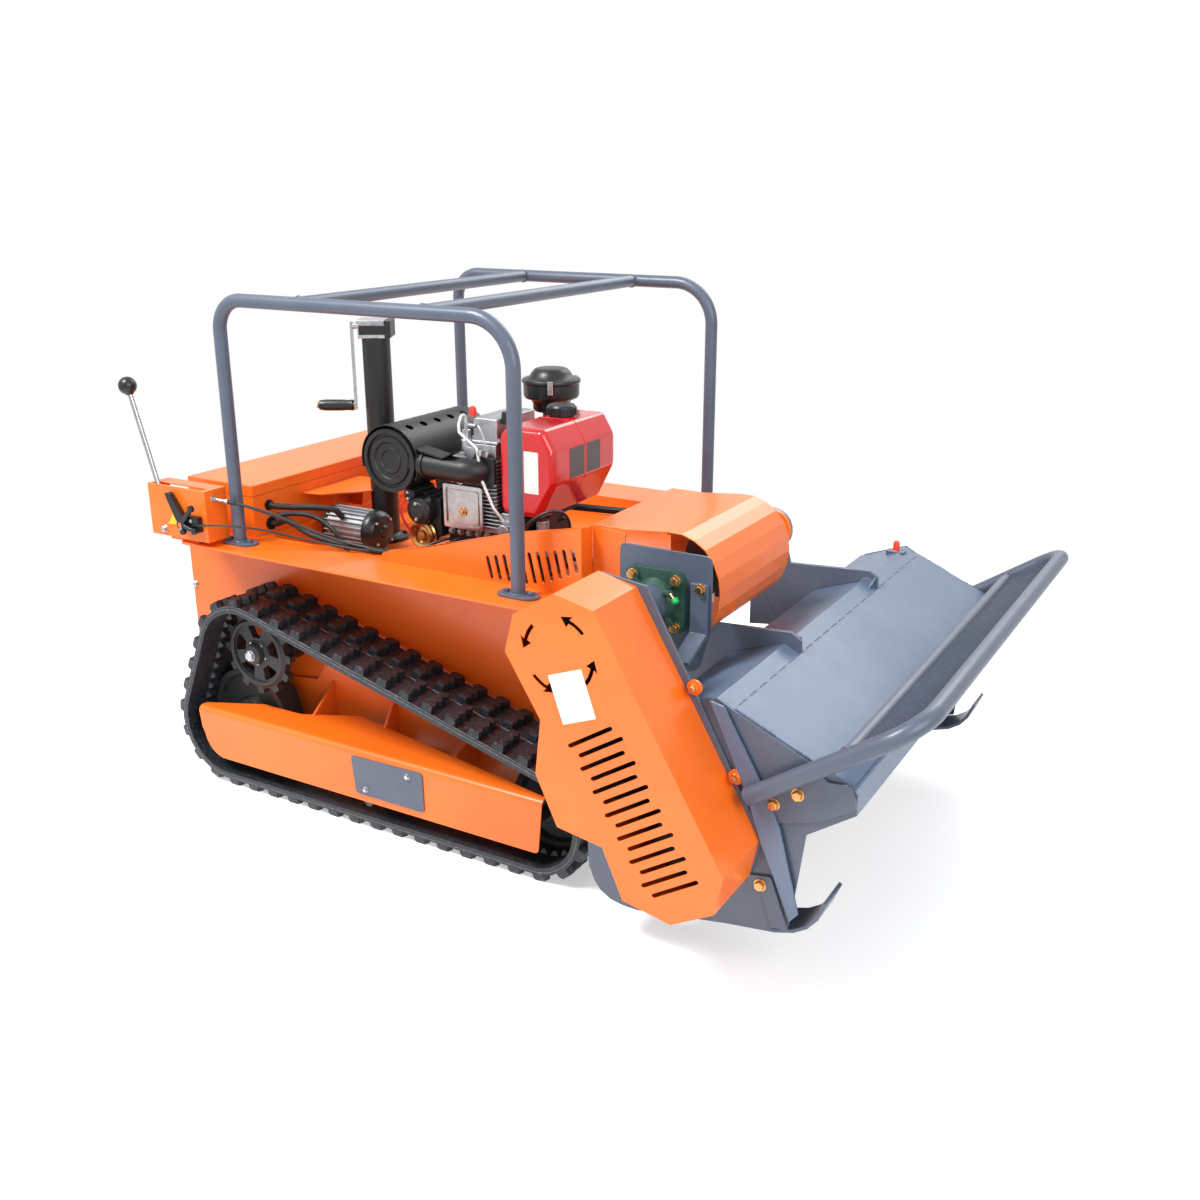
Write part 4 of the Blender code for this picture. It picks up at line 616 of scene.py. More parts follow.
@dataclass
class Bench:
    """Turns meshes into finished pieces and fits them to the machine."""

    materials: dict[str, bpy.types.Material] = field(default_factory=dict)
    count: int = 0

    def material(self, finish: Finish) -> bpy.types.Material:
        """The finish's material, made once."""
        if finish.name not in self.materials:
            self.materials[finish.name] = finish.build()
        return self.materials[finish.name]

    def node(self, name: str) -> Mesh:
        """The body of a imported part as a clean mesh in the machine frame.

        Args:
            name: the part's node.

        Returns:
            A copy of its mesh, welded, with its flat faces whole again.
        """
        source = FRAME["nodes"][name]
        shape = bmesh.new()
        shape.from_mesh(source.data)
        shape.transform(source.matrix_world)
        bmesh.ops.translate(shape, vec=-ORIGIN, verts=shape.verts)
        bmesh.ops.remove_doubles(shape, verts=shape.verts, dist=0.00001)
        bmesh.ops.dissolve_limit(shape, angle_limit=math.radians(0.5), verts=shape.verts,
                                 edges=shape.edges)
        for layer in list(shape.loops.layers.uv):
            shape.loops.layers.uv.remove(layer)
        return to_mesh(shape)

    def fit(self, name: str, finish: Finish, body: str, *meshes: Mesh,
            stands_for: Sequence[str] = (), bevel: float = 0.0, rings: int = 2,
            corner: float = 35.0) -> bpy.types.Object:
        """Make one piece and let it ride on its body.

        Args:
            name: the piece's name.
            finish: its material.
            body: the body that carries it.
            meshes: its solids in the machine frame.
            stands_for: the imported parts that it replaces.
            bevel: the width of its rounded edges, or 0 for none.
            rings: how many faces round each edge has.
            corner: edges sharper than this many degrees count as edges.

        Returns:
            The object.
        """
        mesh = joined(*meshes)
        mesh.transform(Matrix.Translation(ORIGIN))
        mesh.name = name
        made = bpy.data.objects.new(name, mesh)
        bpy.context.scene.collection.objects.link(made)
        mesh.materials.clear()
        mesh.materials.append(self.material(finish))
        mesh.shade_smooth()
        if bevel:
            edges = made.modifiers.new("edges", "BEVEL")
            edges.width = bevel
            edges.segments = rings
            edges.limit_method = "ANGLE"
            edges.angle_limit = math.radians(corner)
            made.modifiers.new("shading", "WEIGHTED_NORMAL")
        else:
            mesh.set_sharp_from_angle(angle=math.radians(corner))
        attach(made, body)
        if stands_for:
            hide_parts(*stands_for)
        self.count += 1
        LOG.info("%-26s on %-20s %6d vertices", name, body, len(mesh.vertices))
        return made

    def dress(self, node: str, finish: Finish, body: str, bevel: float = 0.0008,
              rings: int = 2) -> bpy.types.Object:
        """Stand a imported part's own shape in its finish, with broken edges."""
        return self.fit(f"{node}_dressed", finish, body, self.node(node), stands_for=(node,),
                        bevel=bevel, rings=rings)


FRAME: dict = {}


# ---- carrier ------------------------------------------------------------------------------
@dataclass
class Chassis:
    """Hull, deck, rear cover box and the faceted cover round the jackshaft."""

    bench: Bench
    deck_z: float = 0.720
    box_front: float = -0.005
    box_rear: float = -0.240
    pivot: Pair = (1.158, 0.738)

    def build(self) -> None:
        """Build the whole sub-assembly."""
        dress = self.bench.dress
        dress("main_frame", ORANGE, "carrier", 0.0012)
        self.build_deck()
        self.build_box()
        self.build_hood()
        self.build_hull_details()

    def build_deck(self) -> None:
        """Deck plate whose side wall has a row of leaning louvres, longest in the middle."""
        bench, louvres = self.bench, []
        for i in range(11):
            more = 0.018 * math.sin(math.pi * i / 10)
            middle = Vector((0.7400 + 0.0232 * i, 0.7525 + 0.0050 * i)) + Vector((0.11,
                                                                                  -0.48)) * more
            louvres.append(plate([slot_loop(middle, Vector((0.226, -0.974)), 0.058 + more, 0.0105,
                                            5)],
                                 -0.440, -0.418))
        bench.fit("deck_with_louvres", ORANGE, "carrier", cut(bench.node("deck_plate"), *louvres),
                  stands_for=("deck_plate",), bevel=0.0009)

    def build_box(self) -> None:
        """Cover box with rolled corners, its lid, its grommets and the arched bracket."""
        bench = self.bench
        bench.dress("rear_box", ORANGE, "carrier", 0.0014)
        bench.fit("rear_lid_skin", ORANGE, "rear_lid", bench.node("rear_lid"),
                  stands_for=("rear_lid",), bevel=0.0028, rings=3)
        rear = self.box_rear
        hinges = [rod((rear - 0.002, y - 0.035, 0.8275), (rear - 0.002, y + 0.035, 0.8275), 0.005,
                      16)
                  for y in (-0.30, 0.30)]
        leaves = [box((rear - 0.003, y - 0.030, 0.795), (rear - 0.0005, y + 0.030, 0.826))
                  for y in (-0.30, 0.30)]
        bench.fit("rear_lid_hinges", ZINC, "carrier", *hinges, *leaves, bevel=0.0006)
        rings = []
        for y, z, radius in ((-0.375, 0.795, 0.0100), (-0.372, 0.745, 0.0132)):
            profile = [(radius - 0.001, 0.0), (radius - 0.001, 0.004), (radius + 0.004, 0.004),
                       (radius + 0.005, 0.0015), (radius + 0.005, 0.0), (radius - 0.001, 0.0)]
            rings.append(turned(profile, (self.box_front, y, z), (1, 0, 0), 28))
        bench.fit("box_grommets", PLASTIC, "carrier", *rings)
        top = [(self.box_front, -0.252), (0.050, -0.240), (0.060, -0.236)]
        top += [(0.060 + 0.075 * math.sin(t * math.pi / 8) * 0.55 + t * 0.012,
                 -0.225 + 0.022 * t) for t in range(1, 5)]
        top += [(0.118, -0.100), (0.118, -0.020), (self.box_front, -0.020)]
        web = [(self.box_front, 0.730), (0.040, 0.730), (0.052, 0.800), (self.box_front, 0.800)]
        bench.fit("jack_stay_bracket", ORANGE, "carrier", plate([top], 0.799, 0.803, "XY"),
                  plate([web], -0.180, -0.176), plate([web], -0.060, -0.056), bevel=0.0008)

    def build_hood(self) -> None:
        """Facet cover with its stiffener inside the mouth and its bare labels."""
        bench = self.bench
        low, front = self.deck_z + GAP, 1.002
        points = [(0.9903, 0.8800), (1.078, 0.8795), (1.179, 0.8885), (1.213, 0.8875),
                  (1.243, 0.8770),
                  (1.270, 0.8590), (1.291, 0.8330), (1.304, 0.8000), (1.308, 0.7660),
                  (1.304, 0.7300),
                  (1.292, 0.6980), (1.278, 0.6780), (front, 0.663), (front, low), (0.9903, low)]
        last = len(points) - 1
        cover = pan(points, 0.010, -0.380, 0.003, (last - 3, last - 2, last - 1, last))
        wall = [(0.9903, low), (1.060, low), (1.075, 0.870), (0.9903, 0.878)]
        bench.fit("front_hood_skin", ORANGE, "carrier", cover, plate([wall], -0.380, -0.376),
                  stands_for=("front_hood",), bevel=0.0008, corner=10)
        px, pz = self.pivot
        ring = arc((px, pz), 0.1475, 100, -14, 16) + arc((px, pz), 0.120, -14, 100, 16)
        bench.fit("hood_mouth_rib", ORANGE, "carrier", plate([ring], -0.300, -0.296), bevel=0.0006)
        bench.fit("hood_label", WHITE_VINYL, "carrier",
                  box((px + 0.128, -0.3770, 0.742), (px + 0.1285, -0.3640, 0.762)),
                  box((px + 0.122, -0.3770, 0.716), (px + 0.1225, -0.3640, 0.730)))

    def build_hull_details(self) -> None:
        """Bolts, weld beads and the hull's stiffening flange."""
        bench = self.bench
        heads = [bolt((-0.4205, y, z), (-1, 0, 0), 0.016, 0.007)
                 for y in (-0.262, 0.262) for z in (0.360, 0.490, 0.620)]
        heads += [bolt((-0.410, side * 0.2905, 0.488), (0, side, 0), 0.014, 0.006)
                  for side in (-1, 1)]
        bench.fit("hull_bolts", ZINC, "carrier", *heads, bevel=0.0004, rings=1)
        seams = []
        for side in (-1, 1):
            y = side * 0.2925
            seams.append(weld_bead((-0.395, y, 0.7125), (-0.17, y, 0.7125), 0.0035))
            seams.append(weld_bead((1.004, side * 0.30, 0.6225), (1.004, side * 0.40, 0.6225),
                                   0.004))
        bench.fit("hull_weld_beads", ORANGE, "carrier", *seams, corner=80)
        flange = [box((-0.4185, -0.286, 0.300), (-0.4125, 0.286, 0.312))]
        bench.fit("hull_rear_stiffener", ORANGE, "carrier", *flange, bevel=0.001)
        floor = [bolt((x, y, 0.6605), (0, 0, 1), 0.015, 0.007)
                 for x in (0.50, 0.74) for y in (-0.335, 0.02)]
        bench.fit("engine_bed_bolts", ZINC, "carrier", *floor, bevel=0.0004, rings=1)


@dataclass
class RollCage:
    """Two bent tube hoops on foot plates, joined by two cross bars."""

    bench: Bench
    tube_r: float = 0.01685
    half: float = 0.490
    length: float = 0.860
    top: float = 1.335
    bends: Pair = (0.075, 0.110)
    bars: Pair = (0.250, 0.615)
    foot: Triple = (0.027, 0.026, 0.006)      # reach, radius, thickness
    deck: float = 0.7203

    def build(self) -> None:
        """Build the cage, its weld collars and its foot bolts."""
        reach, radius, thick = self.foot
        tubes, welds, heads = [], [], []
        for side in (-1, 1):
            y = side * self.half
            low = self.deck + thick / 2
            line = bent([(0, y, low), (0, y, self.top), (self.length, y, self.top),
                         (self.length, y, low)], self.bends, 14)
            tubes.append(tube(line, self.tube_r, 8))
            for x in (0.0, self.length):
                loop = slot_loop((x, y), (1, 0), 2 * (reach + radius), 2 * radius, 9)
                tubes.append(plate([loop], self.deck, self.deck + thick, "XY"))
                ring = [(x + 0.0175 * math.cos(t * math.pi / 8),
                         y + 0.0175 * math.sin(t * math.pi / 8),
                         self.deck + thick + 0.001) for t in range(16)]
                welds.append(tube(ring, 0.0028, 3, True))
                for end in (-1, 1):
                    heads.append(bolt((x + end * (reach + 0.006), y, self.deck + thick), (0, 0, 1),
                                      0.013, 0.006))
            for x in self.bars:
                ring = [(x + 0.0165 * math.cos(t * math.pi / 8), y - side * 0.0165,
                         self.top + 0.0165 * math.sin(t * math.pi / 8)) for t in range(16)]
                welds.append(tube(ring, 0.0026, 3, True))
        for x in self.bars:
            tubes.append(rod((x, -self.half, self.top), (x, self.half, self.top),
                             self.tube_r * 0.95, 32))
        self.bench.fit("roll_cage_tubes", SLATE, "carrier", *tubes, stands_for=("roll_cage",),
                       bevel=0.0008)
        self.bench.fit("roll_cage_welds", SLATE, "carrier", *welds, corner=80)
        self.bench.fit("roll_cage_foot_bolts", SLATE, "carrier", *heads, bevel=0.0004, rings=1)


# ---- tracks -------------------------------------------------------------------------------
Wheel = tuple[float, float, float]


@dataclass
class BeltPath:
    """The closed line of a belt round its wheels, (x, z, radius) each, anticlockwise."""

    wheels: Sequence[Wheel]
    runs: list = field(default_factory=list)

    def __post_init__(self) -> None:
        """Work out where the belt leaves each wheel."""
        count = len(self.wheels)
        leave = []
        for i in range(count):
            x, z, radius = self.wheels[i]
            nx, nz, following = self.wheels[(i + 1) % count]
            span = math.hypot(nx - x, nz - z)
            leave.append(math.atan2(nz - z, nx - x) - math.acos((radius - following) / span))
        self.runs = [(self.wheels[i], leave[i - 1],
                      leave[i - 1] + (leave[i] - leave[i - 1]) % (2 * math.pi))
                     for i in range(count)]

    def straight(self, i: int) -> tuple[Vector, Vector, Vector]:
        """Start, end and outward normal of the straight run after wheel i."""
        (x, z, radius), _, end = self.runs[i]
        nx, nz, following = self.runs[(i + 1) % len(self.runs)][0]
        normal = Vector((math.cos(end), math.sin(end)))
        return Vector((x, z)) + normal * radius, Vector((nx, nz)) + normal * following, normal

    def length(self) -> float:
        """The length of the belt's line."""
        total = 0.0
        for i, ((_, _, radius), start, end) in enumerate(self.runs):
            first, last, _ = self.straight(i)
            total += radius * (end - start) + (last - first).length
        return total

    def at(self, travel: float) -> tuple[Vector, Vector]:
        """The point and outward normal at a distance along the belt."""
        for i, ((x, z, radius), start, end) in enumerate(self.runs):
            length = radius * (end - start)
            if travel <= length:
                turn = start + travel / radius
                normal = Vector((math.cos(turn), math.sin(turn)))
                return Vector((x, z)) + normal * radius, normal
            travel -= length
            first, last, normal = self.straight(i)
            span = (last - first).length
            if travel <= span:
                return first.lerp(last, travel / span), normal
            travel -= span
        return self.at(0.0)

    def outline(self, offset: float, step: float = 5.0) -> list[Pair]:
        """The belt's outline at an offset, with points on its arcs only."""
        made = []
        for (x, z, radius), start, end in self.runs:
            steps = max(2, round(math.degrees(end - start) / step))
            made += arc((x, z), radius + offset, math.degrees(start), math.degrees(end), steps)
        return made


@dataclass
class TrackUnit:
    """One rubber track with its sprocket, idlers, roller and frame."""

    bench: Bench
    side: int
    word: str
    outer: float = 0.500
    width: float = 0.197
    thick: float = 0.018
    lug: float = 0.020
    pitch: float = 0.072
    sprocket: Pair = (-0.040, 0.388)
    teeth: int = 12

    def across(self, depth: float) -> float:
        """The y of a place this deep inside the belt's outer face."""
        return self.side * (self.outer - depth)

    def build(self) -> None:
        """Build the whole unit."""
        path = BeltPath([(-0.125, 0.155 + self.lug, 0.155), (0.885, 0.135 + self.lug, 0.135),
                         (*self.sprocket, 0.150)])
        self.build_belt(path)
        self.build_sprocket()
        self.build_frame()
        word = self.word
        for label in ("rear_idler", "front_idler", "road_roller"):
            name = f"{label}_{word}"
            self.bench.dress(name, IRON, name, 0.0012)
        y = self.side * 0.398
        caps = [turned([(0.0, 0.006), (0.014, 0.006), (0.0175, 0.002), (0.0175, 0.0), (0.0, 0.0)],
                       (x, y, z), (0, self.side, 0), 24)
                for x, z in ((-0.125, 0.175), (0.885, 0.155))]
        self.bench.fit(f"idler_hub_caps_{word}", IRON, "carrier", *caps)
        self.bench.dress(f"drive_motor_{word}", BLACK, "carrier", 0.002)

    def lug_block(self, path: BeltPath, travel: float, far_row: bool) -> Mesh:
        """One zig-zag lug of the tread.

        Args:
            path: the belt's line.
            travel: where the lug stands along it.
            far_row: whether it is in the row next to the hull.

        Returns:
            A tapered block sunk into the belt.
        """
        plan = [(-0.020, 0.002), (0.012, 0.002), (0.021, 0.018), (0.010, 0.034), (0.021, 0.050),
                (0.010, 0.066), (0.019, 0.080), (0.016, 0.092), (-0.012, 0.092), (-0.018, 0.078),
                (-0.008, 0.066), (-0.020, 0.050), (-0.009, 0.034), (-0.021, 0.018)]
        point, normal = path.at(travel)
        along = Vector((-normal.y, normal.x))
        shape = bmesh.new()
        rings = []
        middle = 0.047
        for lift, taper in ((-0.006, 1.0), (self.lug * 0.60, 0.94), (self.lug, 0.80)):
            ring = []
            for s, w in plan:
                s, w = s * taper, middle + (w - middle) * (0.4 + 0.6 * taper)
                depth = self.width - w if far_row else w
                place = point + along * s + normal * lift
                ring.append(shape.verts.new((place.x, self.across(depth), place.y)))
            rings.append(ring)
        count = len(plan)
        for low, high in zip(rings, rings[1:]):
            for i in range(count):
                j = (i + 1) % count
                shape.faces.new((low[i], low[j], high[j], high[i]))
        shape.faces.new(rings[0][::-1])
        shape.faces.new(rings[-1])
        bmesh.ops.recalc_face_normals(shape, faces=shape.faces)
        return to_mesh(shape)

    def build_belt(self, path: BeltPath) -> None:
        """Carcass, two staggered rows of lugs, guide horns, the moulding's flash line and painted
        edge highlights.
        """
        length = path.length()
        count = round(length / self.pitch)
        pitch = length / count
        inner, outer = sorted((self.across(0.0), self.across(self.width)))
        carcass = plate([path.outline(0.0), path.outline(-self.thick)], inner, outer)
        lugs = []
        for i in range(count):
            lugs.append(self.lug_block(path, (i + 0.52) * pitch % length, False))
            lugs.append(self.lug_block(path, (i + 0.02) * pitch % length, True))
        horns = []
        for i in range(count * 2):
            point, normal = path.at((i + 0.25) * pitch / 2)
            along = Vector((-normal.y, normal.x))
            base = point - normal * (self.thick - 0.002)
            tip = base - normal * 0.013
            shape = bmesh.new()
            for end, half, depths in ((base, 0.013, (0.066, 0.096)), (tip, 0.004, (0.072, 0.090))):
                for s in (-half, half):
                    for depth in depths:
                        place = end + along * s
                        shape.verts.new((place.x, self.across(depth), place.y))
            bmesh.ops.convex_hull(shape, input=shape.verts)
            horns.append(to_mesh(shape))
        self.bench.fit(f"track_belt_{self.word}_rubber", RUBBER, "carrier", carcass, *lugs, *horns,
                       stands_for=(f"track_belt_{self.word}",), bevel=0.0016, rings=2, corner=32)
        # The middle line is the moulding's flash line; the three along the edges are painted
        # highlights.
        flash = []
        for depth, lift, radius in ((self.width / 2, 0.0006, 0.0016), (0.0035, GAP, 0.0013),
                                    (0.0006, -0.006, 0.0011), (self.width - 0.003, GAP, 0.0013)):
            line = [(x, self.across(depth), z) for x, z in path.outline(lift)]
            flash.append(tube(line, radius, 2, True))
        self.bench.fit(f"track_belt_{self.word}_flash", RUBBER_FLASH_AND_HIGHLIGHT, "carrier", *flash, corner=80)

    def build_sprocket(self) -> None:
        """Dished wheel with stub teeth, five windows, an inner ring and a plated hub bolt."""
        x, z = self.sprocket
        side, name = self.side, f"sprocket_{self.word}"
        middle = side * 0.420
        teeth = []
        for i in range(self.teeth):
            base = 360 / self.teeth * i
            for turn, radius in ((-9.5, 0.101), (-6.5, 0.104), (-5.5, 0.115), (-3.5, 0.118),
                                 (3.5, 0.118), (5.5, 0.115), (6.5, 0.104), (9.5, 0.101)):
                teeth += arc((x, z), radius, base + turn, base + turn, 1)[:1]
        windows = []
        for i in range(5):
            base = 72 * i + 18
            loop = (arc((x, z), 0.078, base - 21, base + 21, 7)
                    + arc((x, z), 0.044, base + 15, base - 15, 4))
            windows.append(rounded(loop, 0.004, 3))
        disc = plate([teeth] + windows, middle - 0.010, middle + 0.010)
        ring = turned([(0.080, 0.0), (0.083, 0.016), (0.092, 0.017), (0.099, 0.010), (0.099, 0.0),
                       (0.080, 0.0)], (x, middle, z), (0, side, 0), 56)
        hub = turned([(0.0, 0.034), (0.020, 0.034), (0.027, 0.030), (0.031, 0.014), (0.040, 0.008),
                      (0.040, -0.018), (0.020, -0.022), (0.020, -0.070), (0.0, -0.070)],
                     (x, middle, z), (0, side, 0), 40)
        self.bench.fit(f"{name}_casting", IRON, name, disc, ring, hub, stands_for=(name,),
                       bevel=0.0014, corner=38)
        nut = bolt((x, middle + side * 0.034, z), (0, side, 0), 0.024, 0.008, 1.3)
        studs = [bolt((x + 0.031 * math.cos(a), middle + side * 0.010, z + 0.031 * math.sin(a)),
                      (0, side, 0), 0.008, 0.005, 0) for a in
                 (math.radians(54 + 72 * i) for i in range(5))]
        self.bench.fit(f"{name}_hub_bolt", ZINC, name, nut, *studs, bevel=0.0005, rings=1)

    def build_frame(self) -> None:
        """Skirt rolled over into its shelf, inner plate, ribs, axles and the inspection plate."""
        side, word = self.side, self.word
        top, thick, roll = 0.222, 0.004, 0.016
        spread = sorted((side * self.outer, side * (self.outer - thick)))
        skirt = [(-0.214, top - roll), (-0.208, 0.160)] + arc((-0.126, 0.152), 0.074, 188, 262, 10)
        skirt += arc((0.895, 0.090), 0.012, -90, -6, 4) + [(0.918, top - roll)]
        fold = ([(side * (self.outer - roll + roll * math.cos(t)), top - roll + roll * math.sin(t))
                 for t in (i * math.pi / 16 for i in range(9))]
                + [(side * (self.outer - roll + (roll - thick) * math.cos(t)),
                    top - roll + (roll - thick) * math.sin(t))
                   for t in (math.pi / 2 - i * math.pi / 16 for i in range(9))])
        edge = self.outer - roll
        shelf = [(-0.214, edge), (0.918, edge), (0.914, 0.476), (0.225, 0.330), (0.075, 0.402),
                 (-0.060, 0.402), (-0.208, 0.470)]
        inner = sorted((side * 0.2903, side * 0.3023))
        web = [(-0.190, 0.120), (0.900, 0.120), (0.905, 0.205), (0.640, 0.290), (0.300, 0.370),
               (0.090, 0.345), (0.050, 0.285), (-0.150, 0.262)]
        ribs = []
        for x, high, reach in ((0.110, 0.300, 0.395), (0.330, 0.318, 0.360), (0.600, 0.262, 0.415)):
            rib = [(side * 0.294, 0.120), (side * (reach + 0.02), 0.120),
                   (side * (reach + 0.02), top - 0.002), (side * reach, top), (side * 0.294, high)]
            ribs.append(plate([rib], x - 0.003, x + 0.003, "YZ"))
        self.bench.fit(f"track_frame_{word}_sheet", ORANGE, "carrier", plate([skirt], *spread),
                       plate([fold], -0.214, 0.918, "YZ"),
                       plate([[(x, side * y) for x, y in shelf]], top - thick, top, "XY"),
                       plate([web], *inner), *ribs, stands_for=(f"track_frame_{word}",),
                       bevel=0.0009, corner=30)
        axles = [rod((x, side * 0.294, z), (x, side * 0.496, z), 0.016, 28)
                 for x, z in ((-0.125, 0.175), (0.885, 0.155), (0.380, 0.0803))]
        self.bench.fit(f"track_axles_{word}", MILL_STEEL, "carrier", *axles, bevel=0.0008)
        seams = [weld_bead((x + 0.004, side * 0.300, high - 0.008),
                           (x + 0.004, side * (reach - 0.005), top + 0.004), 0.0032)
                 for x, high, reach in ((0.110, 0.300, 0.395), (0.330, 0.318, 0.360))]
        self.bench.fit(f"track_frame_{word}_welds", ORANGE, "carrier", *seams, corner=80)
        face = side * (self.outer + 0.0002)
        cover = rounded([(0.336, 0.203), (0.566, 0.207), (0.568, 0.098), (0.346, 0.099)], 0.011, 5)
        self.bench.fit(f"inspection_plate_{word}", SLATE, "carrier",
                       plate([cover], *sorted((face, face + side * 0.003))), bevel=0.0008)
        heads = [bolt((x, face + side * 0.003, z), (0, side, 0), 0.011, 0.006)
                 for x, z in ((0.520, 0.188), (0.380, 0.116))]
        self.bench.fit(f"inspection_plate_{word}_bolts", ZINC, "carrier", *heads, bevel=0.0004,
                       rings=1)


# ---- engine -------------------------------------------------------------------------------
@dataclass
class Engine:
    """Air-cooled engine with its tank, silencer, air cleaner and generator."""

    bench: Bench
    near: float = -0.295
    far: float = -0.077
    x0: float = 0.500
    x1: float = 0.740
    bed: float = 0.6603
    tank_low: Triple = (0.676, -0.290, 0.838)
    tank_high: Triple = (0.829, 0.010, 1.056)
    tank_chamfer_top: Pair = (0.030, 0.050)
    tank_chamfer_low: Pair = (0.046, 0.088)
    cap_at: Pair = (0.739, -0.103)
    cap_r: float = 0.037
    muffler: Triple = (0.393, 0.953, 0.0785)   # x, z, radius
    muffler_y: Pair = (-0.350, -0.020)
    filter_at: Triple = (0.583, 0.097, 1.060)
    generator: Pair = (-0.215, 0.7175)        # y, z

    def build(self) -> None:
        """Build the whole sub-assembly."""
        self.build_block()
        self.build_covers()
        self.build_tank()
        self.build_exhaust()
        self.build_filter()
        self.build_generator()
        self.bench.dress("crank_pulley", MILL_STEEL, "crank_pulley", 0.0008)

    def build_block(self) -> None:
        """Crankcase, finned cylinder, head and starter."""
        x0, x1, near, far = self.x0, self.x1, self.near, self.far
        case = [box((x0, near + 0.031, self.bed), (x1, far, 0.790)),
                box((x0 + 0.012, near + 0.020, self.bed + 0.040), (x1 - 0.012, far - 0.002, 0.800)),
                box((x0 - 0.012, near + 0.028, self.bed),
                    (x1 + 0.006, far + 0.004, self.bed + 0.018))]
        case += [box((x0 + 0.03 + 0.032 * i, near + 0.024, self.bed + 0.020),
                     (x0 + 0.036 + 0.032 * i, near + 0.032, 0.785)) for i in range(6)]
        self.bench.fit("crankcase_casting", BLACK_CASTING, "carrier", *case,
                       stands_for=("engine_block",), bevel=0.003, rings=3)
        narrow, low_fins = self.tank_low[0] - 0.008, self.tank_low[2] - 0.008
        barrel = [box((x0 + 0.040, near + 0.018, 0.785),
                      (x1 - 0.024, far - 0.006, low_fins - 0.006)),
                  box((x0 + 0.040, near + 0.018, low_fins - 0.012),
                      (narrow - 0.010, far - 0.006, 0.976))]
        fins = []
        z = 0.803
        while z < 0.968:
            front = x1 - 0.010 if z + 0.004 <= low_fins else narrow
            loop = rounded([(x0 + 0.030, near), (front, near), (front, far), (x0 + 0.030, far)],
                           0.012, 3)
            fins.append(plate([loop], z, z + 0.0028, "XY"))
            z += 0.0095
        self.bench.fit("cylinder_fins", ALLOY, "carrier", *barrel, *fins, bevel=0.0005, rings=1)
        head = [box((x0 + 0.078, near + 0.014, 0.974), (narrow - 0.006, far - 0.008, 1.004)),
                rod((x0 + 0.098, near + 0.016, 0.984), (x0 + 0.098, near - 0.004, 0.984), 0.015,
                    24),
                rod((0.640, near + 0.016, 0.986), (0.640, near - 0.002, 0.986), 0.010, 20)]
        self.bench.fit("cylinder_head", ALLOY, "carrier", *head, bevel=0.002, rings=2)
        starter = [turned([(0.0, 0.004), (0.020, 0.004), (0.024, 0.0), (0.033, -0.002),
                           (0.036, -0.008),
                           (0.036, -0.150), (0.030, -0.160), (0.0, -0.160)],
                          (0.455, -0.331, 0.828), (0, -1, 0), 36),
                   box((0.470, -0.230, 0.800), (x0 + 0.002, -0.180, 0.845)),
                   rod((0.424, -0.322, 0.864), (0.424, -0.235, 0.864), 0.017, 28),
                   box((0.440, -0.300, 0.846), (0.462, -0.250, 0.872)),
                   box((0.4705, -0.300, 0.762), (x0 + 0.004, -0.240, 0.860))]
        self.bench.fit("starter_motor", BLACK, "carrier", *starter, bevel=0.002, rings=2)
        ends = [bolt((0.424, -0.322, 0.872), (0, -1, 0), 0.008, 0.006, 1.2),
                bolt((0.424, -0.322, 0.856), (0, -1, 0), 0.008, 0.006, 1.2),
                bolt((0.455, -0.335, 0.848), (0, -1, 0), 0.007, 0.004, 1.2),
                bolt((0.455, -0.335, 0.808), (0, -1, 0), 0.007, 0.004, 1.2)]
        row = [bolt((0.520 + 0.027 * i, near + 0.019, 0.776), (0, -1, 0), 0.013, 0.007)
               for i in range(5)]
        row += [bolt((0.512, near + 0.019, 0.712), (0, -1, 0), 0.012, 0.007),
                bolt((0.728, near + 0.019, 0.712), (0, -1, 0), 0.012, 0.007),
                bolt((0.569, near - 0.006, 0.916), (0, -1, 0), 0.017, 0.008)]
        self.bench.fit("engine_bolts", ZINC, "carrier", *ends, *row, bevel=0.0004, rings=1)
        disc = [(0.0, 0.018), (0.010, 0.018), (0.012, 0.010), (0.020, 0.009), (0.024, 0.018),
                (0.030, 0.021), (0.036, 0.018), (0.036, 0.012), (0.031, 0.006), (0.036, 0.0),
                (0.036, -0.010), (0.028, -0.016), (0.028, -0.080), (0.0, -0.080)]
        self.bench.fit("starter_flange", BRASS, "carrier",
                       turned(disc, (0.452, -0.298, 0.762), (0, -1, 0), 44))
        wires = [tube(flowing([(0.424, -0.326, 0.856), (0.410, -0.336, 0.836),
                               (0.416, -0.334, 0.800),
                               (0.428, -0.322, 0.770), (0.424, -0.310, 0.735)]), 0.0016, 3),
                 tube(flowing([(0.424, -0.326, 0.872), (0.402, -0.334, 0.850),
                               (0.407, -0.332, 0.805),
                               (0.420, -0.316, 0.765), (0.432, -0.300, 0.730)]), 0.0016, 3)]
        self.bench.fit("starter_wires", RED_WIRE, "carrier", *wires, corner=80)

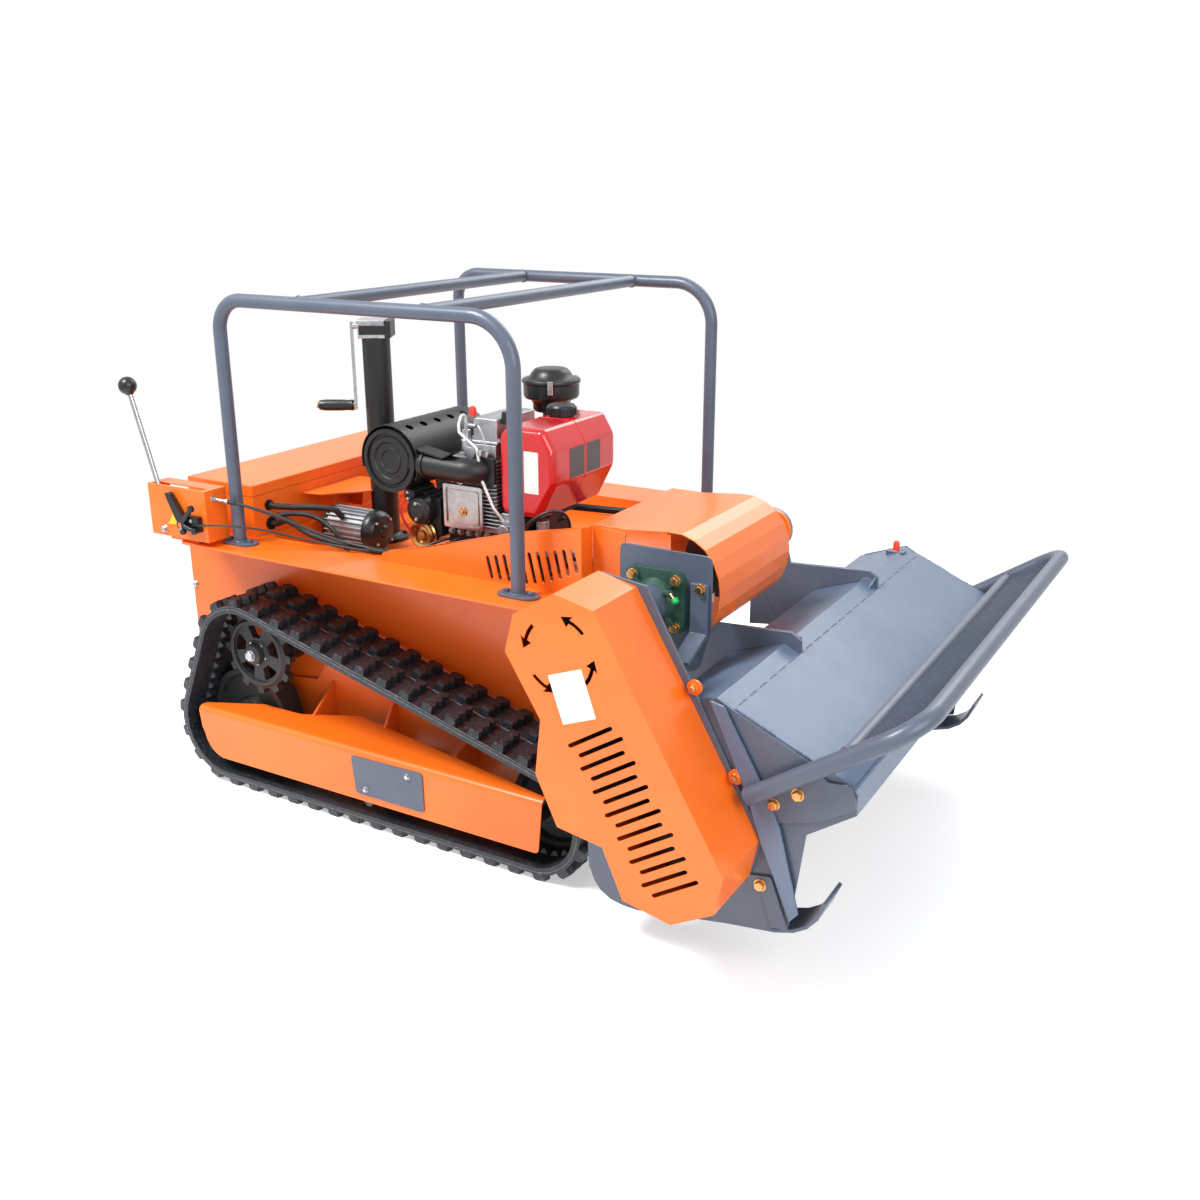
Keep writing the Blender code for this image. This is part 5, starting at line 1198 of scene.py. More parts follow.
    def build_covers(self) -> None:
        """Pressed side cover, rocker cover, injector, filler cap and the fuel pipes."""
        near = self.near
        frame = rounded([(0.517, 0.792), (0.634, 0.792), (0.634, 0.902), (0.517, 0.902)], 0.006, 4)
        inset = rounded([(0.525, 0.800), (0.626, 0.800), (0.626, 0.894), (0.525, 0.894)], 0.008, 4)
        panel = rounded([(0.530, 0.805), (0.621, 0.805), (0.621, 0.889), (0.530, 0.889)], 0.008, 4)
        cover = [plate([frame, inset], near - 0.009, near - 0.003),
                 plate([frame], near - 0.004, near),
                 plate([panel], near - 0.0075, near - 0.003)]
        self.bench.fit("pressed_cover", PRESSED, "carrier", *cover, bevel=0.0018, rings=3)
        boss = rod((0.5755, near - 0.004, 0.836), (0.5755, near - 0.011, 0.836), 0.011, 24)
        self.bench.fit("pressed_cover_bolt", GOLD, "carrier", boss,
                       bolt((0.5755, near - 0.011, 0.836), (0, -1, 0), 0.011, 0.006, 0),
                       bevel=0.0005)
        rocker = [box((0.586, near + 0.020, 1.0043), (0.664, self.far - 0.02, 1.012)),
                  box((0.590, near + 0.024, 1.010), (0.660, self.far - 0.024, 1.066))]
        self.bench.fit("rocker_cover_casting", ALLOY, "carrier", *rocker,
                       stands_for=("rocker_cover",), bevel=0.008, rings=4)
        studs = [bolt((x, y, 1.012), (0, 0, 1), 0.010, 0.006, 1.3)
                 for x in (0.5885, 0.6615) for y in (near + 0.03, -0.15)]
        injector = [turned([(0.0, 0.050), (0.006, 0.050), (0.006, 0.034), (0.011, 0.032),
                            (0.011, 0.010),
                            (0.014, 0.008), (0.014, -0.02), (0.0, -0.02)],
                           (0.571, near + 0.022, 1.002), (0, 0, 1), 24),
                    rod((0.571, near + 0.022, 1.046), (0.600, near + 0.022, 1.046), 0.005, 16)]
        self.bench.fit("injector", ZINC, "carrier", *injector, *studs, bevel=0.0005, rings=1)
        self.bench.fit("injector_cap", RED_CAP, "carrier",
                       turned([(0.0, 0.024), (0.006, 0.024), (0.009, 0.016), (0.009, 0.0),
                               (0.0, 0.0)],
                              (0.589, near + 0.028, 1.068), (0, 0, 1), 24), bevel=0.0012)
        pipe = bent([(0.571, near + 0.022, 1.050), (0.571, near + 0.020, 1.098),
                     (0.566, near + 0.000, 1.050), (0.571, near - 0.006, 1.032),
                     (0.628, near - 0.014, 1.000), (0.636, near - 0.014, 0.930),
                     (0.668, near - 0.008, 0.855), (0.690, near + 0.010, 0.815)],
                    (0.008, 0.012, 0.010, 0.016, 0.05, 0.03), 8)
        self.bench.fit("fuel_pipe", PALE_PIPE, "carrier", tube(pipe, 0.0040, 4), corner=80)
        second = flowing([(0.600, near + 0.022, 1.046), (0.622, near + 0.004, 1.050),
                          (0.640, near - 0.002, 1.020), (0.646, near, 0.975)])
        nuts = [bolt((0.6365, near - 0.014, 0.985), (0, 0, 1), 0.011, 0.012, 0),
                bolt((0.690, near + 0.010, 0.815), (0.3, 0.2, -1), 0.013, 0.012, 0)]
        self.bench.fit("leak_off_pipe", ZINC, "carrier", tube(second, 0.0026, 3), *nuts)
        pump = [rod((0.690, near + 0.016, 0.800), (0.690, near - 0.006, 0.800), 0.016, 24),
                rod((0.716, near + 0.016, 0.846), (0.716, near - 0.002, 0.846), 0.011, 20),
                box((0.676, near + 0.008, 0.806), (0.706, near + 0.022, 0.842)),
                rod((0.768, near + 0.052, 0.775), (0.768, near + 0.052, 0.826), 0.016, 26),
                box((0.756, near + 0.036, 0.740), (0.792, near + 0.110, 0.782))]
        self.bench.fit("fuel_pump_and_filter", ALLOY, "carrier", *pump, bevel=0.002, rings=2)
        lamp = [box((0.7485, near + 0.055, 0.700), (0.7520, near + 0.150, 0.836))]
        self.bench.fit("tank_stay", BLACK, "carrier", *lamp,
                       box((0.700, near + 0.066, 0.829), (0.780, -0.100, 0.8378)), bevel=0.001)

    def build_tank(self) -> None:
        """Chamfered pressed tank with its filler, cap, labels and hose."""
        low, high = Vector(self.tank_low), Vector(self.tank_high)
        top, under = self.tank_chamfer_top, self.tank_chamfer_low
        side = [(low.x, low.z + 0.012), (low.x + 0.012, low.z), (high.x - under[0], low.z),
                (high.x, low.z + under[1]), (high.x, high.z - top[1]), (high.x - top[0], high.z),
                (low.x + 0.020, high.z), (low.x, high.z - 0.020)]
        shape = bmesh.new()
        rings = []
        middle = Vector(((low.x + high.x) / 2, (low.z + high.z) / 2))
        for y, share in ((low.y, 0.90), (low.y + 0.012, 1.0), (high.y - 0.012, 1.0),
                         (high.y, 0.90)):
            rings.append([shape.verts.new((middle.x + (x - middle.x) * share, y,
                                           middle.y + (z - middle.y) * share)) for x, z in side])
        count = len(side)
        for first, second in zip(rings, rings[1:]):
            for i in range(count):
                j = (i + 1) % count
                shape.faces.new((first[i], first[j], second[j], second[i]))
        shape.faces.new(rings[0][::-1])
        shape.faces.new(rings[-1])
        bmesh.ops.recalc_face_normals(shape, faces=shape.faces)
        self.bench.fit("fuel_tank_pressing", RED, "carrier", to_mesh(shape),
                       stands_for=("fuel_tank",), bevel=0.008, rings=5, corner=22)
        grown = rounded([(middle.x + (x - middle.x) * 1.010, middle.y + (z - middle.y) * 1.008)
                         for x, z in side], 0.008, 4)
        self.bench.fit("fuel_tank_seam", RED, "carrier", plate([grown], -0.1415, -0.1385),
                       bevel=0.0008)
        x, y = self.cap_at
        rim = self.cap_r
        neck = [(0.0, 0.003), (rim - 0.005, 0.003), (rim - 0.001, 0.0), (rim - 0.001, -0.004),
                (0.0, -0.004)]
        self.bench.fit("tank_filler_neck", RED, "carrier",
                       turned(neck, (x, y, high.z), (0, 0, 1), 36))
        cap = [(0.0, 0.026), (rim - 0.020, 0.026), (rim - 0.016, 0.0285), (rim - 0.005, 0.0285),
               (rim - 0.001, 0.023), (rim - 0.001, 0.004), (rim - 0.003, 0.0), (0.0, 0.0)]
        knurl = [moved(box((rim - 0.002, -0.0018, 0.004), (rim + 0.0008, 0.0018, 0.022)),
                       Matrix.Translation((x, y, high.z + GAP))
                       @ Matrix.Rotation(math.radians(15 * i), 4, "Z")) for i in range(24)]
        self.bench.fit("fuel_cap_ribbed", PLASTIC, "fuel_cap",
                       turned(cap, (x, y, high.z + GAP), (0, 0, 1), 44), *knurl,
                       stands_for=("fuel_cap",), bevel=0.0008)
        near = self.tank_low[1] - GAP
        self.bench.fit("tank_side_label", WHITE_VINYL, "carrier",
                       plate([rounded([(0.749, 0.902), (0.789, 0.902), (0.789, 1.003),
                                       (0.749, 1.003)],
                                      0.002, 3)], near - GAP, near))
        face = self.tank_high[0] + 0.0001
        self.bench.fit("tank_front_label", GREY_VINYL, "carrier",
                       plate([rounded([(-0.214, 0.930), (-0.146, 0.930), (-0.146, 1.003),
                                       (-0.214, 1.003)], 0.002, 3)], face, face + GAP, "YZ"),
                       plate([rounded([(-0.134, 0.930), (-0.070, 0.930), (-0.070, 1.003),
                                       (-0.134, 1.003)], 0.002, 3)], face, face + GAP, "YZ"))
        hose = flowing([(0.742, -0.268, 0.780), (0.770, -0.318, 0.826), (0.806, -0.320, 0.858),
                        (0.840, -0.300, 0.872), (0.856, -0.276, 0.856), (0.858, -0.262, 0.820),
                        (0.846, -0.245, 0.760), (0.800, -0.225, 0.700)])
        self.bench.fit("fuel_hose", SHEATH, "carrier", tube(hose, 0.0042, 4), corner=80)
        tap = [turned([(0.0, 0.030), (0.010, 0.030), (0.012, 0.024), (0.012, 0.0), (0.0, 0.0)],
                      (0.668, -0.240, 1.052), (0, 0, 1), 24)]
        self.bench.fit("breather_cap", PLASTIC, "carrier", *tap, bevel=0.001)

    def build_exhaust(self) -> None:
        """Silencer drum, its perforated guard, straps and the elbow to the head."""
        x, z, radius = self.muffler
        near, far = self.muffler_y
        length = far - near
        face = [(0.0, 0.0), (0.024, 0.0), (0.026, -0.003), (0.032, -0.003), (0.034, 0.0),
                (0.044, 0.0),
                (0.047, -0.004), (0.058, -0.004), (0.061, 0.001), (0.066, 0.001), (0.068, -0.005),
                (radius, -0.005), (radius + 0.001, 0.0), (radius + 0.001, 0.004), (radius, 0.006)]
        profile = face + [(radius, length - 0.004), (radius - 0.006, length), (0.0, length)]
        profile.reverse()
        drum = turned(profile, (x, near, z), (0, 1, 0), 56)
        self.bench.fit("silencer_drum", BLACK, "carrier", drum, stands_for=("muffler",), corner=28)
        outer = arc((x, z), radius + 0.0095, -28, 196, 40)
        inner = arc((x, z), radius + 0.0075, 196, -28, 40)
        guard = plate([outer + inner], near - 0.002, far - 0.02)
        holes = []
        for turn in (66, 104):
            a = math.radians(turn)
            for i in range(5):
                y = near + 0.038 + 0.056 * i + (0.028 if turn > 90 else 0.0)
                if y < far - 0.03:
                    holes.append(rod((x + (radius - 0.01) * math.cos(a), y,
                                      z + (radius - 0.01) * math.sin(a)),
                                     (x + (radius + 0.03) * math.cos(a), y,
                                      z + (radius + 0.03) * math.sin(a)),
                                     0.0105, 20))
        scallops = []
        for i in range(6):
            y = near + 0.058 + 0.056 * i
            a = math.radians(-28)
            scallops.append(rod((x + (radius - 0.01) * math.cos(a), y,
                                 z + (radius - 0.01) * math.sin(a)),
                                (x + (radius + 0.03) * math.cos(a), y,
                                 z + (radius + 0.03) * math.sin(a)),
                                0.014, 20))
        self.bench.fit("silencer_guard", BLACK, "carrier", cut(guard, *holes, *scallops), corner=28)
        clips = [rod((x + radius * math.cos(a), y, z + radius * math.sin(a)),
                     (x + (radius + 0.011) * math.cos(a), y, z + (radius + 0.011) * math.sin(a)),
                     0.006, 16)
                 for a in (math.radians(8), math.radians(150)) for y in (near + 0.05, far - 0.06)]
        strap = [plate([[(0.440, 0.992), (0.470, 0.985), (0.548, 0.972), (0.575, 0.986),
                         (0.575, 0.990),
                         (0.548, 0.977), (0.470, 0.991), (0.440, 0.998)]], -0.345, -0.300)]
        elbow = bent([(0.440, -0.322, 0.950), (0.622, -0.322, 0.944), (0.627, -0.262, 0.942)],
                     (0.034,), 12)
        collar = turned([(0.0, 0.012), (0.034, 0.012), (0.034, -0.002), (0.032, -0.004),
                         (0.0, -0.004)],
                        (0.478, -0.322, 0.9485), (1, 0, 0), 36)
        flange = plate([rounded([(0.586, 0.906), (0.668, 0.906), (0.668, 0.978), (0.586, 0.978)],
                                0.016, 4)], -0.298, -0.288)
        self.bench.fit("exhaust_elbow", BLACK, "carrier", *clips, *strap, tube(elbow, 0.0305, 8),
                       collar,
                       flange,
                       bevel=0.0012, corner=40)
        stay = [(0.395, 0.745), (0.470, 0.745), (0.470, 0.768), (0.412, 0.885), (0.372, 0.885)]
        self.bench.fit("silencer_stay", BLACK, "carrier", plate([stay], -0.150, -0.146),
                       bevel=0.0008)

    def build_filter(self) -> None:
        """Air cleaner with its lid ring, clips and intake pipe."""
        bench = self.bench
        x, y, z = self.filter_at
        profile = [(0.0, 0.078), (0.036, 0.0775), (0.043, 0.0755), (0.052, 0.066), (0.058, 0.056),
                   (0.066, 0.052), (0.0765, 0.050), (0.078, 0.047), (0.078, 0.041),
                   (0.0745, 0.0385),
                   (0.0740, 0.006), (0.070, 0.000), (0.054, -0.006), (0.050, -0.014),
                   (0.049, -0.030), (0.044, -0.036), (0.0, -0.036)]
        line = bent([(x, y, z + 0.01), (x, y, 0.955), (x, self.far + GAP, 0.955)], (0.045,), 10)
        bench.fit("air_cleaner", PLASTIC, "carrier", turned(profile, (x, y, z), (0, 0, 1), 56),
                  tube(line, 0.024, 8), stands_for=("air_filter",), bevel=0.0012, corner=40)
        clips = [moved(box((0.073, -0.007, 0.016), (0.0785, 0.007, 0.052)),
                       Matrix.Translation((x, y, z)) @ Matrix.Rotation(math.radians(a), 4, "Z"))
                 for a in (-60, 60, 180)]
        bench.fit("air_cleaner_clips", ZINC, "carrier", *clips, bevel=0.0012)

    def build_generator(self) -> None:
        """Ribbed alloy barrel between black end caps."""
        y, z = self.generator
        ribs = []
        for i in range(24):
            rib = box((0.082, -0.0016, 0.040), (0.214, 0.0016, 0.0545))
            ribs.append(moved(rib, Matrix.Translation((0, y, z))
                              @ Matrix.Rotation(math.radians(15 * i), 4, "X")))
        self.bench.fit("generator_barrel", ALLOY, "carrier",
                       rod((0.076, y, z), (0.220, y, z), 0.047, 44), *ribs,
                       box((0.090, y - 0.030, self.bed), (0.206, y + 0.030, z - 0.03)),
                       stands_for=("generator",), bevel=0.0009)
        caps = [turned([(0.0, 0.042), (0.014, 0.042), (0.018, 0.036), (0.042, 0.033),
                        (0.053, 0.022),
                        (0.056, 0.012), (0.056, 0.0), (0.0, 0.0)], (0.212, y, z), (1, 0, 0), 44),
                turned([(0.0, 0.020), (0.040, 0.020), (0.051, 0.012), (0.053, 0.0), (0.0, 0.0)],
                       (0.084, y, z), (-1, 0, 0), 44)]
        self.bench.fit("generator_end_caps", PLASTIC, "carrier", *caps, bevel=0.0012)
        heads = [bolt((0.2455, y + 0.040 * math.cos(a), z + 0.040 * math.sin(a)), (1, 0, 0), 0.007,
                      0.005, 0) for a in (math.radians(45 + 90 * i) for i in range(4))]
        self.bench.fit("generator_screws", ZINC, "carrier", *heads)


# ---- jack and controls --------------------------------------------------------------------
@dataclass
class Jack:
    """Screw jack that carries the engine bed's rear: column, gear head, crank and grip."""

    bench: Bench
    at: Pair = (0.160, -0.100)
    top: float = 1.212
    radius: float = 0.037
    yaw: float = math.radians(30.0)
    reach: float = 0.222
    bed: float = 0.6603

    def build(self) -> None:
        """Build the column, the gear head and the crank."""
        x, y = self.at
        bench = self.bench
        profile = [(0.0, 0.0), (0.060, 0.0), (0.060, 0.010), (0.044, 0.013), (self.radius, 0.020),
                   (self.radius, self.top - self.bed), (0.0, self.top - self.bed)]
        holes = [bolt((x + 0.050 * math.cos(a), y + 0.050 * math.sin(a), self.bed + 0.010),
                      (0, 0, 1),
                      0.010, 0.006) for a in (math.radians(45 + 90 * i) for i in range(4))]
        bench.fit("jack_column_tube", BLACK, "carrier",
                  turned(profile, (x, y, self.bed), (0, 0, 1), 52),
                  *holes, stands_for=("jack_column",), bevel=0.0008)
        turn = Matrix.Translation((x, y, 0)) @ Matrix.Rotation(self.yaw, 4, "Z")
        low = self.top + GAP
        head = [box((-0.042, -0.034, low), (0.034, 0.034, low + 0.040)),
                box((-0.044, -0.036, low + 0.038), (0.030, 0.036, low + 0.048))]
        bench.fit("jack_head_box", ZINC, "carrier", *[moved(m, turn) for m in head],
                  stands_for=("jack_head",), bevel=0.0025, rings=3)
        cheek = [box((0.030, -0.040, low + 0.002), (0.046, 0.040, low + 0.046)),
                 box((-0.038, -0.0375, low + 0.010), (0.030, -0.0345, low + 0.034))]
        bench.fit("jack_head_cheek", BLACK, "carrier", *[moved(m, turn) for m in cheek],
                  bevel=0.002,
                  rings=3)
        bench.dress("crank_arm", DRAWN_STEEL, "crank_arm", 0.0012)
        grip_z = low + 0.0297 - self.reach + 0.012
        profile = [(0.0055, 0.047), (0.0125, 0.047), (0.0150, 0.043), (0.0138, 0.030),
                   (0.0150, 0.012),
                   (0.0150, -0.030), (0.0138, -0.040), (0.0125, -0.047), (0.0055, -0.047),
                   (0.0055, 0.047)]
        grip = turned(profile, (0, 0, 0), (1, 0, 0), 36)
        grip.transform(turn @ Matrix.Translation((-0.115, 0, grip_z)))
        bench.fit("crank_grip_sleeve", PLASTIC, "crank_grip", grip, stands_for=("crank_grip",),
                  bevel=0.0008)
        end = moved(rod((-0.168, 0, grip_z), (-0.1640, 0, grip_z), 0.0085, 20), turn)
        eye = moved(rod((-0.0685, 0, grip_z), (-0.0655, 0, grip_z), 0.011, 24), turn)
        bench.fit("crank_end_washers", GOLD, "crank_arm", end, eye, bevel=0.0006)


@dataclass
class Controls:
    """Lever box with its long lever, quadrant, throttle lever and the cables."""

    bench: Bench
    low: Triple = (-0.240, -0.562, 0.7320)
    high: Triple = (-0.035, -0.492, 0.866)
    pivot: Triple = (-0.187, -0.545, 0.750)
    reach: float = 0.3517
    lean: float = math.radians(16.2)
    knob: float = 0.023
    throttle: Pair = (-0.103, 0.778)

    def build(self) -> None:
        """Build the box, both levers and the cables."""
        self.build_box()
        self.build_levers()
        self.build_cables()

    def build_box(self) -> None:
        """Folded box, its quadrant, its bolts and its clamp."""
        bench = self.bench
        face = self.low[1]
        bench.dress("lever_box", ORANGE, "carrier", 0.0016, 3)
        outer = [(-0.177, 0.845), (-0.143, 0.845), (-0.143, 0.767), (-0.178, 0.765)]
        outer += [(-0.178 + 0.023 * math.sin(math.pi * i / 10), 0.765 + 0.08 * i / 10)
                  for i in range(1, 10)]
        bench.fit("quadrant_plate", YELLOW, "carrier", plate([outer], face - 0.0018, face - GAP),
                  bevel=0.0004)
        heads = [bolt((-0.191, face, 0.7505), (0, -1, 0), 0.015, 0.009),
                 bolt((self.high[0], -0.534, 0.842), (1, 0, 0), 0.012, 0.008),
                 rod((self.high[0], -0.534, 0.842), (0.004, -0.526, 0.8385), 0.0040, 16),
                 bolt((0.000, -0.5275, 0.8388), (1, 0.2, -0.1), 0.010, 0.008, 0)]
        bench.fit("lever_box_bolts", ZINC, "carrier", *heads, bevel=0.0005, rings=1)
        x, z = self.throttle
        boss = [turned([(0.0, 0.0), (0.017, 0.0), (0.017, 0.004), (0.0, 0.004)],
                       (x, face - GAP, z), (0, -1, 0), 28),
                box((-0.094, face - 0.016, 0.760), (-0.052, face - GAP, 0.800))]
        wings = [rod((x - 0.000, face - 0.019, z), (x - 0.000, face - 0.028, z), 0.013, 24)]
        for dx, dz in ((0.040, 0.046), (0.044, -0.012), (0.004, -0.018)):
            wings.append(rod((x + dx, face - 0.019, z + dz), (x + dx, face - 0.028, z + dz),
                             0.0085, 20))
            wings.append(tube([(x, face - 0.0235, z), (x + dx, face - 0.0235, z + dz)], 0.0062, 4))
        bench.fit("throttle_clamp", PLASTIC, "carrier", *boss, *wings, bevel=0.0014, rings=2)
        bench.fit("throttle_clamp_screw", ZINC, "carrier",
                  rod((x + 0.004, face - 0.028, z - 0.008), (x + 0.004, face - 0.032, z - 0.008),
                      0.0045, 18),
                  rod((x + 0.042, face - 0.028, z + 0.016), (x + 0.042, face - 0.031, z + 0.016),
                      0.0040, 18),
                  bevel=0.0006)

    def build_levers(self) -> None:
        """Long lever with its ball knob, and the throttle lever."""
        bench = self.bench
        bench.fit("control_lever_bar", DRAWN_STEEL, "control_lever", bench.node("control_lever"),
                  stands_for=("control_lever",), bevel=0.0006)
        way = Vector((-math.sin(self.lean), 0, math.cos(self.lean)))
        top = Vector(self.pivot) + way * self.reach
        r = self.knob
        profile = [(0.0, -r * 1.02), (0.0085, -r * 1.02), (0.0100, -r * 0.93)]
        profile += [(r * math.cos(a), r * math.sin(a)) for a in
                    (math.radians(-60 + 150 * i / 20) for i in range(20))]
        profile += [(0.0, r)]
        profile.reverse()
        bench.fit("lever_knob_ball", PLASTIC, "control_lever",
                  turned(profile, top + way * (r + GAP), way, 48), stands_for=("lever_knob",))
        bench.dress("throttle_lever", PLASTIC, "throttle_lever", 0.0016, 3)

    def build_cables(self) -> None:
        """Both cables and the corrugated conduits, held along their whole run."""
        bench = self.bench
        thick = flowing([(0.004, -0.526, 0.8385), (0.030, -0.513, 0.832), (0.060, -0.500, 0.824),
                         (0.130, -0.470, 0.800), (0.215, -0.440, 0.766), (0.300, -0.412, 0.742),
                         (0.380, -0.385, 0.731), (0.440, -0.352, 0.729), (0.475, -0.335, 0.740),
                         (0.505, -0.310, 0.753), (0.520, -0.282, 0.756), (0.520, -0.2648, 0.756)])
        bench.fit("control_cable_outer", SHEATH, "carrier", tube(thick, 0.0042, 4),
                  rod((0.003, -0.5262, 0.8386), (0.022, -0.5165, 0.8340), 0.0062, 18),
                  stands_for=("control_cable",), corner=80)
        thin = flowing([(-0.0765, -0.577, 0.7768), (-0.040, -0.578, 0.782), (0.020, -0.560, 0.786),
                        (0.090, -0.516, 0.776), (0.170, -0.470, 0.755), (0.260, -0.432, 0.738),
                        (0.350, -0.402, 0.728), (0.430, -0.374, 0.7240), (0.480, -0.356, 0.730),
                        (0.522, -0.325, 0.748), (0.548, -0.284, 0.762), (0.548, -0.2648, 0.762)])
        bench.fit("throttle_cable_outer", SHEATH, "carrier", tube(thin, 0.0026, 4),
                  stands_for=("throttle_cable",), corner=80)
        route = flowing([(-0.020, -0.375, 0.795), (0.002, -0.375, 0.795), (0.020, -0.375, 0.795),
                         (0.062, -0.355, 0.793), (0.102, -0.318, 0.789), (0.132, -0.278, 0.778),
                         (0.135, -0.2632, 0.7657), (0.135, -0.2497, 0.7522)])
        low = flowing([(-0.008, -0.372, 0.745), (0.020, -0.374, 0.748), (0.060, -0.384, 0.764),
                       (0.105, -0.398, 0.762), (0.160, -0.402, 0.745), (0.230, -0.399, 0.733),
                       (0.310, -0.3975, 0.7305), (0.380, -0.392, 0.7285), (0.440, -0.372, 0.716),
                       (0.470, -0.345, 0.694)])
        upper = flowing([(0.030, -0.386, 0.772), (0.075, -0.376, 0.782), (0.120, -0.350, 0.776),
                         (0.170, -0.340, 0.752), (0.200, -0.330, 0.715), (0.210, -0.318, 0.680)])
        pieces = []
        for line, radius in ((route, 0.0088), (low, 0.0085), (upper, 0.0070)):
            pieces.append(self.corrugated(line, radius))
        bench.fit("wiring_conduit_corrugated", SHEATH, "carrier", *pieces,
                  stands_for=("wiring_conduit",), corner=50)

    @staticmethod
    def corrugated(line: Sequence[Vector], radius: float, pitch: float = 0.0052) -> Mesh:
        """A ribbed hose along a line.

        Args:
            line: its middle.
            radius: over its ribs.
            pitch: between ribs. The real one has 3 mm, drawn coarser so that it shows.

        Returns:
            The closed mesh.
        """
        points = [Vector(p) for p in line]
        travel = [0.0]
        for a, b in zip(points, points[1:]):
            travel.append(travel[-1] + (b - a).length)
        steps = max(4, round(travel[-1] / (pitch / 4)))
        shape = bmesh.new()
        rings = []
        side = Vector((0.0, 0.0, 1.0))
        sides = 14
        for i in range(steps + 1):
            want = travel[-1] * i / steps
            k = next((n for n in range(1, len(travel)) if travel[n] >= want - 1e-9),
                     len(travel) - 1)
            share = (want - travel[k - 1]) / max(1e-9, travel[k] - travel[k - 1])
            here = points[k - 1].lerp(points[k], share)
            way = (points[min(k + 1, len(points) - 1)] - points[max(k - 2, 0)]).normalized()
            side = (side - way * side.dot(way)).normalized()
            other = way.cross(side)
            size = radius * (1.0 if i % 4 in (0, 1) else 0.84)
            ring = []
            for n in range(sides):
                a = 2 * math.pi * n / sides
                ring.append(shape.verts.new(here + side * (size * math.cos(a))
                                            + other * (size * math.sin(a))))
            rings.append(ring)
        for a, b in zip(rings, rings[1:]):
            for n in range(sides):
                m = (n + 1) % sides
                shape.faces.new((a[n], a[m], b[m], b[n]))
        shape.faces.new(rings[0][::-1])
        shape.faces.new(rings[-1])
        bmesh.ops.recalc_face_normals(shape, faces=shape.faces)
        return to_mesh(shape)


